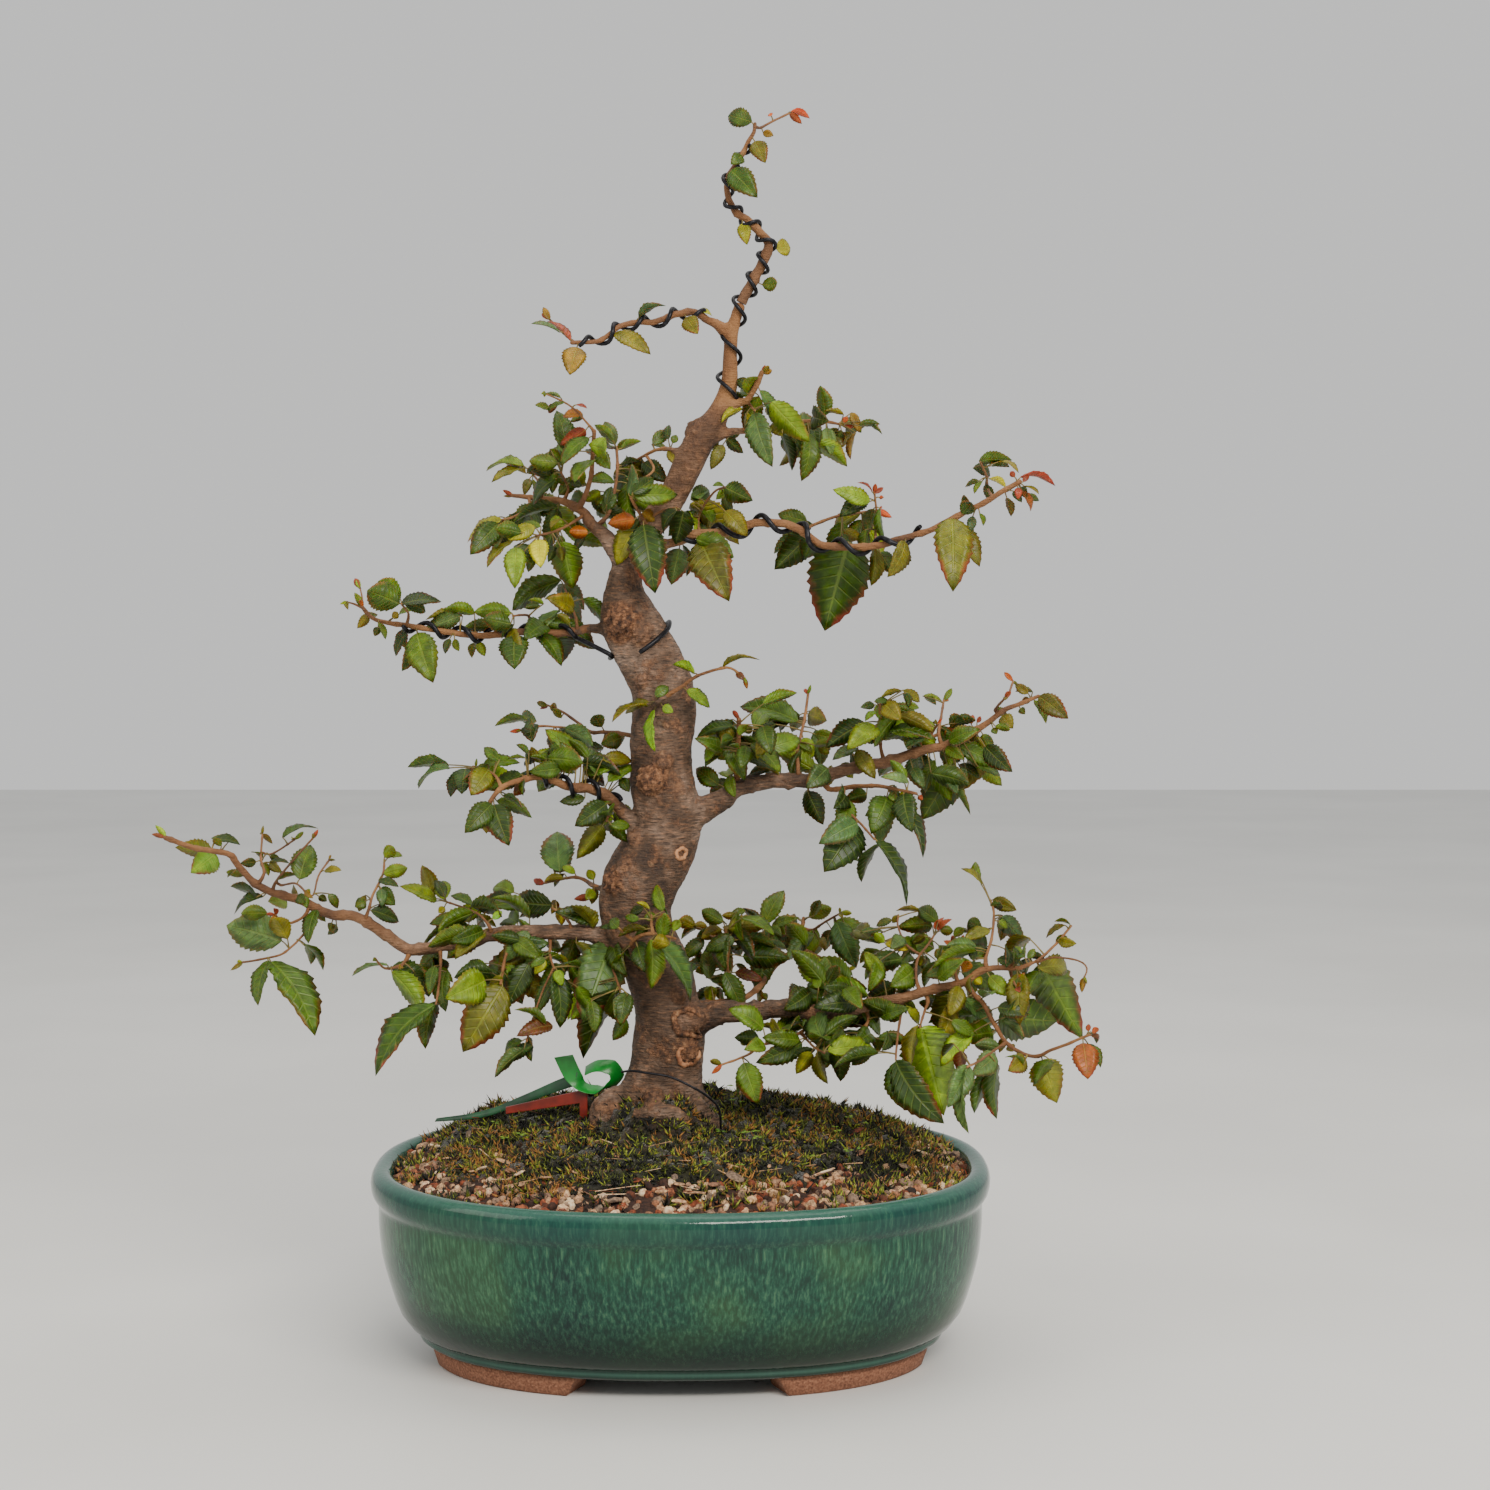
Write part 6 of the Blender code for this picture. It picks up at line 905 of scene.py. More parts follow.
# Each branch grows from the trunk's middle at the height "root". Its first wood is the limb; every other wood
# starts at the nearest place on the woods before it. A wood is (radius at its start, radius at its end, depth
# at its start, depth at its end, points as seen), and a leaf is (x and z of the blade's base and of its tip,
# its width, all as seen, and its kind: d dark, m middle, b bright, y yellow, o olive, g grey-green, r red,
# a amber, n brown, with + for a red margin).
branches = {
    "leader_shoot": {
        "root": None,
        "wood": [
            (0.28, 0.08, 0.0, -1.0, [(3.55, 53.0), (4.1, 54.0), (4.35, 54.65), (4.3, 55.1), (3.9, 55.5), (3.3, 56.1),
              (2.8, 56.4), (2.5, 56.9), (2.3, 57.5), (2.4, 58.2), (3.1, 59.35), (3.35, 59.9), (3.65, 60.4),
              (3.7, 60.8)]),
            (0.07, 0.05, 0.0, 1.2, [(4.0, 60.6), (4.65, 60.95), (5.4, 61.3)])],
        "leaves": [
            (3.6, 60.85, 2.3, 61.2, 1.0, "m"), (3.65, 60.0, 4.2, 58.9, 0.9, "o+"), (3.2, 59.3, 2.5, 58.8, 0.7, "m"),
            (2.5, 58.5, 3.8, 57.2, 1.3, "d"), (3.0, 56.2, 3.3, 54.9, 0.7, "y+"), (4.35, 54.65, 5.5, 54.75, 0.9, "y"),
            (4.0, 52.9, 4.85, 53.0, 0.8, "m"), (4.0, 60.4, 4.6, 60.2, 0.4, "a"), (4.6, 61.0, 4.4, 61.3, 0.3, "r"),
            (5.3, 61.4, 6.4, 61.1, 0.3, "r"), (5.4, 61.3, 6.0, 60.8, 0.35, "r")],
    },
    "upper_left_branch": {
        "root": 50.2,
        "wood": [
            (0.2, 0.1, 0.0, -3.2, [(1.9, 50.9), (1.25, 51.2), (0.7, 51.55), (0.0, 51.5), (-0.65, 51.3), (-1.4, 51.05),
              (-2.2, 51.05), (-3.0, 50.85), (-3.75, 50.3), (-4.2, 50.1), (-5.4, 50.05)]),
            (0.07, 0.05, 0.0, 0.5, [(-5.9, 50.6), (-6.5, 51.2)])],
        "leaves": [
            (-2.25, 51.2, -0.7, 51.9, 0.3, "g"), (0.1, 51.5, 0.85, 50.5, 0.9, "o+"), (0.7, 51.7, 1.6, 51.4, 0.3, "y"),
            (-3.5, 50.6, -1.5, 49.6, 0.9, "o"), (-5.1, 50.0, -5.5, 48.5, 1.2, "a"),
            (-5.4, 50.1, -6.6, 51.2, 0.3, "r"), (-5.8, 50.5, -7.4, 51.05, 0.25, "g")],
    },
    "apex_right_branch": {
        "root": 44.9,
        "wood": [
            (0.18, 0.06, 0.0, 3.0, [(1.9, 45.4), (2.5, 45.55), (3.1, 45.7), (4.9, 45.9), (6.6, 46.2), (8.1, 46.0)])],
        "leaves": [
            (5.0, 45.75, 5.6, 43.75, 0.6, "d"), (5.7, 45.3, 6.45, 43.7, 0.6, "d"), (2.3, 45.3, 3.1, 44.6, 0.6, "d"),
            (2.1, 45.0, 1.5, 43.8, 0.7, "o"), (6.6, 46.0, 6.8, 44.8, 0.7, "d"), (7.2, 46.0, 7.5, 44.5, 0.8, "g"),
            (8.1, 46.5, 7.1, 46.75, 0.3, "o"), (8.5, 46.6, 8.9, 45.6, 0.5, "a"), (8.7, 45.6, 8.4, 44.3, 0.4, "a"),
            (9.0, 46.15, 10.1, 45.6, 0.2, "d"), (8.0, 45.8, 7.7, 44.7, 0.6, "g"), (8.0, 46.0, 8.3, 46.4, 0.3, "r"),
            (8.1, 45.9, 8.7, 45.9, 0.25, "r")],
    },
    "apex_stub_shoot": {
        "root": 46.6,
        "wood": [
            (0.17, 0.12, -0.2, -1.6, [(2.75, 47.0), (3.3, 47.2), (3.75, 47.9), (4.05, 48.6)]),
            (0.07, 0.05, 0.0, -1.0, [(3.5, 46.9), (3.7, 46.7)])],
        "leaves": [
            (3.6, 47.6, 2.8, 48.3, 0.6, "d"), (3.8, 48.0, 4.6, 46.2, 0.6, "g"), (4.5, 47.1, 6.4, 45.15, 1.3, "b"),
            (3.6, 46.75, 4.5, 43.95, 1.3, "g"), (3.1, 46.8, 2.0, 46.1, 0.4, "y"), (3.3, 46.6, 3.3, 45.4, 0.5, "y")],
    },
    "upper_right_branch": {
        "root": 39.4,
        "wood": [
            (0.24, 0.12, -0.3, -5.0, [(-0.9, 40.05), (0.0, 40.25), (0.6, 40.55), (1.4, 40.6), (2.25, 40.65),
              (3.0, 40.85), (3.6, 41.1), (4.35, 41.15), (5.3, 41.05), (5.95, 40.8), (6.5, 40.35), (7.15, 40.0),
              (8.1, 39.95), (9.15, 39.95), (10.1, 40.05), (10.75, 40.3), (11.6, 40.5), (12.4, 40.75), (13.2, 41.15),
              (14.1, 41.65), (15.05, 42.1), (15.7, 42.5), (16.4, 42.9), (16.9, 43.2)]),
            (0.09, 0.06, 0.0, 2.4, [(6.35, 40.9), (7.55, 41.4), (8.6, 41.6), (9.9, 41.75)]),
            (0.07, 0.05, 0.0, -1.5, [(9.7, 40.6), (9.75, 41.6), (9.65, 42.6)]),
            (0.08, 0.05, 0.0, -2.0, [(15.3, 42.8), (15.2, 43.5), (14.9, 44.15)]),
            (0.07, 0.05, 0.0, -2.5, [(0.9, 41.5), (1.65, 42.65), (2.2, 42.9)])],
        "leaves": [
            (14.85, 44.2, 16.45, 44.3, 0.6, "m"), (15.1, 43.35, 14.6, 42.6, 0.25, "m"),
            (15.2, 43.4, 16.2, 42.95, 0.3, "y"), (15.8, 44.15, 16.85, 43.7, 0.25, "o"),
            (16.9, 43.4, 18.65, 43.1, 0.25, "r"), (17.0, 43.0, 17.85, 42.6, 0.2, "o"),
            (17.0, 42.7, 17.5, 41.7, 0.4, "a"), (16.8, 43.1, 16.8, 42.3, 0.4, "r"),
            (17.0, 43.1, 17.3, 43.6, 0.3, "r"), (16.8, 43.2, 16.4, 43.7, 0.3, "r"),
            (16.2, 42.5, 16.5, 41.5, 0.35, "o"), (14.8, 41.9, 15.1, 41.0, 0.3, "m"),
            (13.5, 41.5, 13.6, 37.85, 1.9, "o+"), (13.9, 41.4, 14.5, 42.2, 0.8, "d"),
            (11.3, 40.45, 10.35, 38.45, 1.0, "o"), (9.7, 40.1, 9.6, 38.05, 0.7, "o"),
            (8.35, 40.2, 7.2, 35.85, 3.1, "d+"), (6.5, 40.6, 4.7, 38.85, 1.5, "d"), (6.6, 40.3, 6.2, 39.45, 1.2, "d"),
            (6.3, 41.2, 4.8, 41.6, 0.9, "m"), (9.55, 42.15, 7.6, 42.8, 0.9, "b"),
            (9.15, 41.75, 7.5, 40.65, 0.8, "o+"), (8.1, 40.75, 9.1, 40.3, 0.6, "o"),
            (9.9, 41.95, 10.1, 40.3, 0.5, "m"), (9.65, 42.6, 9.7, 43.1, 0.25, "r"),
            (9.65, 42.6, 10.1, 42.9, 0.25, "r"), (9.7, 42.4, 10.1, 42.4, 0.2, "r"),
            (9.65, 42.6, 8.8, 43.15, 0.15, "r"), (0.5, 42.1, 2.9, 40.2, 1.3, "o"),
            (0.85, 40.5, 2.35, 37.35, 2.1, "o+"), (0.0, 40.2, -0.45, 38.15, 1.3, "g+"),
            (2.2, 42.9, 3.55, 42.25, 1.1, "d"), (2.2, 43.0, 1.6, 43.0, 0.25, "m"), (0.5, 42.3, 1.5, 42.8, 0.9, "d"),
            (0.4, 41.7, 0.75, 40.3, 0.35, "b")],
    },
    "neck_shoot": {
        "root": 40.9,
        "wood": [
            (0.1, 0.06, -1.0, -2.6, [(-1.7, 41.1), (-2.1, 41.7), (-2.5, 42.4)]),
            (0.07, 0.05, -1.4, -2.4, [(-1.0, 41.7), (-0.2, 41.9)])],
        "leaves": [
            (-1.9, 41.3, -1.3, 37.7, 1.9, "d+"), (0.15, 41.7, -0.25, 40.1, 1.3, "d"),
            (-2.0, 41.8, -1.3, 41.2, 0.7, "a"), (-2.3, 41.3, -3.6, 41.1, 0.9, "a"),
            (-2.4, 42.5, -0.1, 42.55, 1.1, "m"), (-2.6, 42.5, -2.4, 44.1, 0.6, "g")],
    },
    "neck_left_branch": {
        "root": 38.9,
        "wood": [
            (0.33, 0.1, 0.0, 3.5, [(-3.75, 40.45), (-4.5, 41.15), (-4.9, 41.7), (-5.85, 42.2), (-6.65, 42.3),
              (-8.4, 42.5)]),
            (0.14, 0.1, 0.2, -1.5, [(-4.75, 42.5), (-4.5, 43.3), (-4.4, 44.2), (-4.3, 45.7)]),
            (0.06, 0.04, -1.5, -3.5, [(-4.4, 45.8), (-5.45, 46.9), (-6.75, 47.55)]),
            (0.1, 0.07, 0.2, 2.4, [(-3.6, 41.6), (-3.25, 43.0), (-3.15, 44.0), (-3.2, 44.9)]),
            (0.08, 0.05, 1.5, -0.8, [(-5.6, 42.8), (-5.95, 43.65)]),
            (0.07, 0.05, 2.0, 4.0, [(-6.9, 42.9), (-7.4, 43.6)]),
            (0.08, 0.05, 0.2, -2.6, [(-5.3, 41.2), (-6.3, 40.7), (-7.2, 40.5)]),
            (0.07, 0.05, 2.0, 0.6, [(-7.6, 41.9), (-8.4, 41.4), (-8.9, 41.3)])],
        "leaves": [
            (-5.85, 47.3, -6.8, 47.55, 0.2, "g"), (-5.95, 47.1, -6.6, 46.6, 0.35, "n"),
            (-5.25, 47.0, -4.65, 46.85, 0.2, "r"), (-4.8, 46.5, -5.9, 46.45, 0.5, "a"),
            (-4.6, 45.8, -6.0, 45.0, 0.8, "r"), (-4.4, 45.5, -6.0, 44.05, 0.8, "m"),
            (-3.2, 44.9, -3.8, 46.2, 0.8, "g"), (-3.0, 44.8, -1.95, 45.2, 0.4, "m"),
            (-7.8, 43.95, -9.7, 43.75, 0.4, "b"), (-7.7, 43.85, -9.45, 43.3, 0.45, "o"),
            (-6.1, 44.1, -7.6, 44.2, 0.9, "m"), (-6.5, 44.8, -5.9, 44.1, 0.5, "m"),
            (-6.2, 43.3, -7.5, 43.8, 0.6, "d"), (-7.5, 43.4, -7.8, 42.5, 0.5, "o"),
            (-6.3, 43.6, -6.4, 42.6, 0.5, "d"), (-5.7, 43.0, -4.7, 43.7, 0.8, "b"),
            (-4.1, 44.6, -3.5, 43.8, 0.8, "m"), (-3.2, 43.9, -2.0, 44.2, 0.4, "d"),
            (-4.0, 42.7, -4.8, 42.2, 0.6, "b"), (-3.9, 41.7, -3.2, 42.6, 0.7, "d"),
            (-6.0, 42.0, -8.5, 41.2, 0.6, "d"), (-8.8, 41.3, -10.8, 40.3, 0.6, "y+"),
            (-9.1, 41.1, -10.45, 39.65, 1.3, "d"), (-8.8, 41.2, -8.9, 40.4, 0.5, "o"),
            (-7.3, 40.95, -8.6, 40.3, 0.8, "y"), (-5.6, 41.0, -6.6, 41.1, 0.9, "b"),
            (-4.4, 40.65, -5.6, 40.7, 0.7, "a"), (-8.4, 40.2, -9.7, 38.95, 0.5, "o+"),
            (-8.2, 39.9, -8.3, 37.95, 1.1, "b"), (-7.1, 40.3, -7.0, 38.95, 1.0, "y"),
            (-7.4, 39.6, -7.6, 38.7, 0.5, "d"), (-5.9, 40.2, -5.4, 37.95, 1.6, "m"),
            (-6.3, 40.0, -6.6, 39.2, 0.5, "d"), (-4.3, 40.9, -4.0, 40.5, 0.6, "r")],
    },
    "apex_left_branch": {
        "root": 44.3,
        "wood": [
            (0.12, 0.06, 0.3, 2.5, [(-0.45, 44.8), (-1.2, 44.75), (-2.2, 44.25)]),
            (0.07, 0.05, 0.8, 0.4, [(-1.35, 43.75), (-2.2, 43.15)])],
        "leaves": [
            (-1.4, 45.05, -0.6, 45.75, 0.7, "d"), (-0.5, 44.9, -0.2, 45.5, 0.4, "m"),
            (-1.9, 44.2, -0.7, 43.2, 1.0, "d"), (-0.7, 44.9, -0.2, 44.0, 0.5, "o")],
    },
    "middle_left_branch": {
        "root": 35.7,
        "wood": [
            (0.22, 0.09, 0.2, -3.5, [(-4.1, 35.85), (-5.05, 35.75), (-6.1, 35.65), (-7.2, 35.7), (-8.3, 35.7),
              (-9.4, 35.55), (-10.5, 35.55), (-11.6, 35.7), (-12.65, 35.85), (-13.75, 36.05), (-14.6, 36.15),
              (-15.4, 36.4), (-15.9, 36.95)]),
            (0.05, 0.04, -3.4, -4.2, [(-16.3, 37.1), (-16.7, 37.2)]),
            (0.05, 0.04, -3.4, -2.4, [(-15.9, 37.3), (-16.0, 37.9)]),
            (0.08, 0.05, -0.2, 3.0, [(-5.25, 36.4), (-5.8, 37.9)]),
            (0.08, 0.05, -0.8, -2.6, [(-7.6, 36.5), (-8.4, 36.5)]),
            (0.06, 0.05, -2.8, -5.0, [(-13.6, 36.6), (-13.95, 37.1)])],
        "leaves": [
            (-14.0, 37.1, -15.7, 37.8, 1.5, "m"), (-13.95, 37.1, -11.9, 37.35, 0.7, "d"),
            (-15.5, 36.7, -16.15, 35.9, 0.5, "o"), (-15.1, 36.0, -15.3, 35.5, 0.4, "d"),
            (-14.6, 36.2, -14.1, 36.7, 0.4, "o"), (-13.65, 35.8, -14.35, 34.5, 0.5, "d"),
            (-13.25, 35.9, -12.45, 33.25, 1.6, "m"), (-10.9, 36.5, -12.8, 36.4, 0.5, "o"),
            (-10.3, 36.6, -11.9, 36.9, 0.7, "m"), (-9.3, 36.0, -10.9, 35.9, 0.7, "d"),
            (-8.5, 36.1, -9.9, 36.4, 1.0, "d"), (-11.4, 35.6, -11.1, 34.75, 0.4, "m"),
            (-10.3, 35.5, -9.8, 34.5, 0.5, "b"), (-8.3, 35.5, -8.35, 34.0, 1.5, "d"),
            (-6.15, 35.6, -5.95, 34.25, 1.5, "d"), (-5.5, 35.9, -6.9, 36.2, 0.8, "d"),
            (-6.0, 38.3, -8.6, 36.85, 1.2, "d"), (-5.8, 38.1, -4.85, 36.85, 1.0, "g"),
            (-5.7, 37.6, -6.4, 37.1, 0.4, "n+"), (-7.0, 37.0, -7.8, 36.9, 0.35, "d")],
    },
    "lower_middle_left_branch": {
        "root": 24.6,
        "wood": [
            (0.3, 0.1, -0.3, -4.0, [(-2.85, 26.6), (-3.8, 27.5), (-4.6, 27.85), (-5.6, 27.95), (-6.2, 28.2),
              (-7.0, 28.45), (-8.0, 28.3), (-9.0, 27.9), (-9.6, 27.2)]),
            (0.07, 0.05, -3.0, -1.5, [(-9.4, 28.6), (-10.3, 28.95)]),
            (0.07, 0.05, -0.6, -2.2, [(-3.5, 26.9), (-3.75, 26.2)])],
        "leaves": [
            (-3.0, 28.4, -2.6, 27.7, 0.6, "d"), (-9.1, 29.3, -9.9, 29.95, 0.6, "m"),
            (-7.8, 29.4, -8.7, 29.4, 0.25, "m"), (-6.8, 29.3, -7.6, 29.5, 0.3, "m"),
            (-11.6, 28.9, -13.2, 27.9, 0.25, "g"), (-10.8, 28.85, -11.0, 27.65, 1.2, "d"),
            (-9.6, 28.9, -10.5, 27.6, 1.3, "o+"), (-7.9, 28.6, -9.7, 27.8, 0.9, "m"),
            (-7.8, 28.2, -8.4, 27.5, 0.6, "n+"), (-6.0, 28.9, -7.6, 28.7, 0.9, "m"),
            (-4.8, 27.4, -6.1, 27.2, 0.6, "d"), (-3.75, 27.1, -5.3, 26.0, 1.2, "d"),
            (-3.95, 26.0, -5.2, 24.4, 1.1, "o"), (-3.6, 26.1, -2.7, 25.2, 0.7, "d"),
            (-3.4, 26.8, -2.9, 25.9, 0.6, "m"), (-9.5, 27.1, -10.85, 25.65, 1.2, "d"),
            (-9.4, 27.1, -8.65, 25.0, 1.4, "d+"), (-9.1, 27.6, -7.8, 26.85, 0.4, "d")],
    },
    "rear_left_branch": {
        "root": 29.6,
        "wood": [
            (0.12, 0.05, 1.2, 5.5, [(-2.6, 30.6), (-3.85, 30.7), (-4.5, 30.7), (-5.2, 31.2), (-5.9, 31.7),
              (-6.7, 32.05)]),
            (0.07, 0.05, 3.2, 2.2, [(-5.2, 30.9), (-7.0, 31.0), (-8.0, 30.8)])],
        "leaves": [
            (-7.65, 31.3, -9.3, 31.1, 0.55, "m"), (-7.55, 31.1, -7.45, 30.2, 0.95, "d"),
            (-3.85, 30.8, -4.4, 31.6, 0.8, "d"), (-6.0, 31.0, -4.3, 30.0, 0.9, "g"),
            (-6.0, 31.4, -6.4, 31.9, 0.4, "m"), (-6.4, 30.6, -6.0, 29.5, 1.0, "d"),
            (-2.7, 30.5, -4.0, 30.1, 0.9, "d"), (-3.9, 29.9, -5.7, 29.6, 0.7, "d")],
    },
    "middle_front_shoot": {
        "root": 31.8,
        "wood": [
            (0.11, 0.05, -2.0, -4.0, [(-1.3, 32.1), (-0.7, 32.5), (0.0, 32.95), (0.8, 33.5), (1.85, 33.85),
              (2.5, 33.9), (3.2, 33.4)])],
        "leaves": [
            (-1.3, 32.5, -0.6, 33.0, 0.7, "m"), (-1.35, 31.8, -1.35, 29.7, 0.5, "b"),
            (-1.6, 32.2, -2.9, 31.7, 0.5, "o"), (-1.7, 32.0, -3.5, 31.35, 0.2, "o"),
            (-1.1, 32.1, -0.4, 31.7, 0.5, "b"), (0.1, 32.9, 1.5, 31.95, 0.6, "b"), (0.9, 33.55, -0.4, 34.1, 0.5, "b"),
            (1.85, 33.9, 3.95, 34.45, 0.25, "o"), (2.6, 33.8, 3.2, 33.3, 0.35, "n")],
    },
    "middle_right_branch": {
        "root": 25.8,
        "wood": [
            (0.46, 0.09, 0.0, 2.0, [(1.2, 26.85), (1.8, 27.25), (2.5, 27.75), (3.5, 28.1), (4.6, 28.25),
              (5.75, 28.25), (6.6, 28.3), (7.7, 28.65), (8.85, 28.95), (10.1, 29.15), (11.1, 29.45), (12.2, 29.8),
              (13.05, 30.0), (14.05, 30.3), (14.75, 30.8), (15.45, 31.25), (16.15, 31.8), (16.9, 32.1),
              (17.9, 32.5)]),
            (0.15, 0.07, 0.8, -4.0, [(7.4, 27.85), (8.55, 27.95), (9.8, 28.0), (10.95, 27.8), (11.8, 27.6)]),
            (0.07, 0.05, -1.5, -5.5, [(8.25, 26.95), (9.1, 26.0), (9.7, 25.3)]),
            (0.14, 0.11, 0.1, -1.8, [(2.75, 28.6), (2.85, 30.0), (2.9, 31.35)]),
            (0.1, 0.07, 0.5, 4.0, [(5.85, 28.9), (5.85, 29.95), (6.15, 31.2), (6.35, 32.6)]),
            (0.09, 0.07, 1.2, -1.6, [(10.0, 29.9), (9.95, 31.2), (9.95, 32.2)]),
            (0.09, 0.06, 1.5, 5.5, [(12.9, 30.6), (13.0, 31.4), (13.15, 32.3)]),
            (0.08, 0.06, 1.5, -0.8, [(12.5, 30.5), (12.85, 31.1)]),
            (0.08, 0.06, 1.8, 0.0, [(15.7, 31.8), (16.2, 32.4)]),
            (0.08, 0.06, 1.8, 5.0, [(16.35, 32.5), (16.6, 33.25)])],
        "leaves": [
            (2.9, 31.1, 0.65, 30.4, 0.5, "d"), (2.1, 29.8, 0.7, 30.4, 0.7, "m"), (2.7, 30.1, 2.0, 30.9, 0.8, "o"),
            (3.0, 30.6, 3.6, 30.9, 0.4, "m"), (2.0, 28.0, 0.7, 28.9, 1.0, "d"), (1.6, 30.0, 1.2, 29.2, 0.5, "m"),
            (2.6, 29.4, 1.6, 29.7, 0.6, "o"), (6.0, 31.2, 2.9, 32.1, 1.2, "m"), (4.1, 32.1, 5.75, 32.75, 0.6, "m"),
            (6.3, 31.6, 7.2, 31.3, 1.1, "o"), (6.1, 31.6, 3.9, 31.0, 0.9, "m"), (4.1, 31.0, 4.5, 29.6, 1.1, "d"),
            (3.3, 30.0, 3.0, 28.9, 0.9, "m"), (4.7, 28.9, 3.3, 28.6, 0.5, "d"), (5.8, 30.0, 5.1, 30.6, 0.6, "m"),
            (6.0, 30.6, 6.6, 29.4, 0.8, "b"), (6.7, 30.6, 7.8, 30.4, 0.7, "m"), (6.9, 30.0, 7.4, 29.6, 0.5, "m"),
            (7.4, 29.0, 6.3, 27.9, 1.2, "g"), (6.3, 27.8, 7.1, 26.1, 1.1, "d"), (8.85, 26.3, 7.2, 23.7, 2.1, "d"),
            (9.7, 25.4, 11.65, 22.0, 0.7, "d"), (8.0, 29.2, 8.6, 28.4, 0.7, "b"), (8.8, 29.8, 9.7, 28.4, 0.9, "o"),
            (8.8, 29.9, 7.6, 29.4, 0.5, "g"), (9.9, 30.2, 8.7, 30.6, 0.6, "d"), (9.9, 31.9, 9.2, 31.3, 0.3, "m"),
            (10.0, 32.4, 11.0, 32.85, 0.3, "o"), (11.1, 32.8, 12.0, 32.2, 0.5, "o"),
            (12.1, 32.5, 13.1, 32.3, 0.35, "b"), (10.1, 32.2, 11.0, 31.3, 1.0, "o"),
            (11.3, 32.1, 11.9, 31.9, 0.4, "m"), (10.3, 30.9, 12.9, 31.0, 1.2, "b"),
            (10.4, 30.7, 12.7, 30.5, 0.5, "d"), (13.5, 30.9, 14.1, 31.6, 0.9, "d"),
            (14.5, 31.0, 14.6, 31.6, 0.3, "r"), (14.7, 31.0, 15.0, 31.5, 0.25, "r"),
            (13.0, 30.9, 13.8, 30.5, 0.7, "a"), (15.9, 31.7, 16.6, 30.9, 0.8, "o"),
            (15.1, 30.6, 15.6, 29.5, 0.75, "m"), (15.5, 31.1, 15.8, 30.6, 0.4, "m"),
            (16.8, 32.1, 17.2, 31.6, 0.4, "m"), (17.4, 32.6, 16.7, 33.1, 0.5, "o+"),
            (17.6, 32.5, 17.0, 32.1, 0.4, "o"), (17.9, 32.5, 19.35, 31.4, 1.1, "o+"),
            (13.8, 28.9, 12.1, 26.4, 2.0, "d"), (14.9, 30.6, 14.2, 27.8, 0.9, "o"),
            (12.5, 28.8, 14.7, 26.7, 0.5, "m"), (13.2, 29.8, 13.7, 28.6, 0.7, "m"),
            (11.6, 28.9, 12.2, 27.9, 0.7, "g"), (11.4, 28.2, 10.0, 28.5, 0.5, "g"),
            (11.0, 27.9, 11.5, 27.1, 0.6, "y"), (11.8, 27.6, 12.1, 27.3, 0.3, "r"), (10.3, 27.4, 9.6, 25.7, 1.5, "m"),
            (9.3, 27.6, 8.2, 27.3, 0.8, "d"), (10.7, 27.3, 12.3, 24.5, 0.7, "d"), (10.3, 27.9, 10.8, 27.2, 0.5, "m")],
    },
    "lower_left_branch": {
        "root": 19.4,
        "wood": [
            (0.4, 0.12, 0.0, -3.5, [(-3.9, 20.3), (-5.2, 20.6), (-6.5, 20.65), (-8.0, 20.6), (-9.5, 20.5),
              (-10.5, 20.2), (-11.5, 20.05), (-12.7, 19.85), (-13.6, 19.75), (-14.3, 20.1), (-15.0, 20.6),
              (-15.8, 21.15), (-16.6, 21.45), (-17.4, 21.5), (-18.3, 21.8), (-19.0, 22.2), (-20.0, 22.5),
              (-20.6, 22.65), (-21.4, 23.1), (-22.0, 23.7), (-22.4, 24.2), (-22.8, 24.6), (-24.5, 24.9),
              (-25.9, 25.4)]),
            (0.08, 0.05, -2.8, 0.5, [(-20.95, 23.6), (-21.1, 24.4), (-21.0, 25.6)]),
            (0.07, 0.05, -2.8, -6.0, [(-20.4, 23.1), (-19.7, 24.0), (-18.5, 25.35)]),
            (0.06, 0.05, 0.0, -1.5, [(-20.5, 24.6), (-19.4, 25.3)]),
            (0.07, 0.05, -2.8, -5.5, [(-20.1, 23.0), (-19.4, 23.1), (-18.9, 22.7)]),
            (0.08, 0.05, -2.5, 0.5, [(-18.5, 22.5), (-18.2, 23.5), (-17.65, 24.3)]),
            (0.08, 0.05, -2.6, -5.0, [(-19.0, 21.4), (-19.9, 21.05), (-20.4, 21.5)]),
            (0.09, 0.05, -2.5, -6.5, [(-18.7, 20.9), (-19.9, 19.65), (-20.95, 19.3), (-22.1, 19.1)]),
            (0.08, 0.05, -2.2, 0.8, [(-15.7, 21.8), (-15.5, 22.5), (-15.0, 23.5), (-14.9, 24.3)]),
            (0.11, 0.08, -1.8, -3.2, [(-13.8, 19.3), (-14.1, 18.9)]),
            (0.07, 0.05, -3.0, -5.0, [(-14.9, 18.8), (-15.4, 19.3)]),
            (0.09, 0.05, -1.6, -4.5, [(-12.1, 19.4), (-12.2, 18.0), (-12.35, 17.0)]),
            (0.08, 0.05, -1.2, 3.0, [(-9.7, 21.0), (-10.3, 21.6), (-11.9, 22.2)]),
            (0.09, 0.05, -0.2, -3.0, [(-3.7, 19.4), (-3.35, 18.5), (-3.1, 17.7)]),
            (0.09, 0.05, -0.6, -3.4, [(-6.6, 20.0), (-6.6, 19.4), (-6.4, 18.8)]),
            (0.07, 0.05, -3.2, -4.6, [(-7.0, 17.6), (-7.5, 16.2), (-7.8, 15.1)]),
            (0.09, 0.07, -0.8, -3.0, [(-8.6, 20.1), (-8.9, 19.2), (-9.1, 18.0)]),
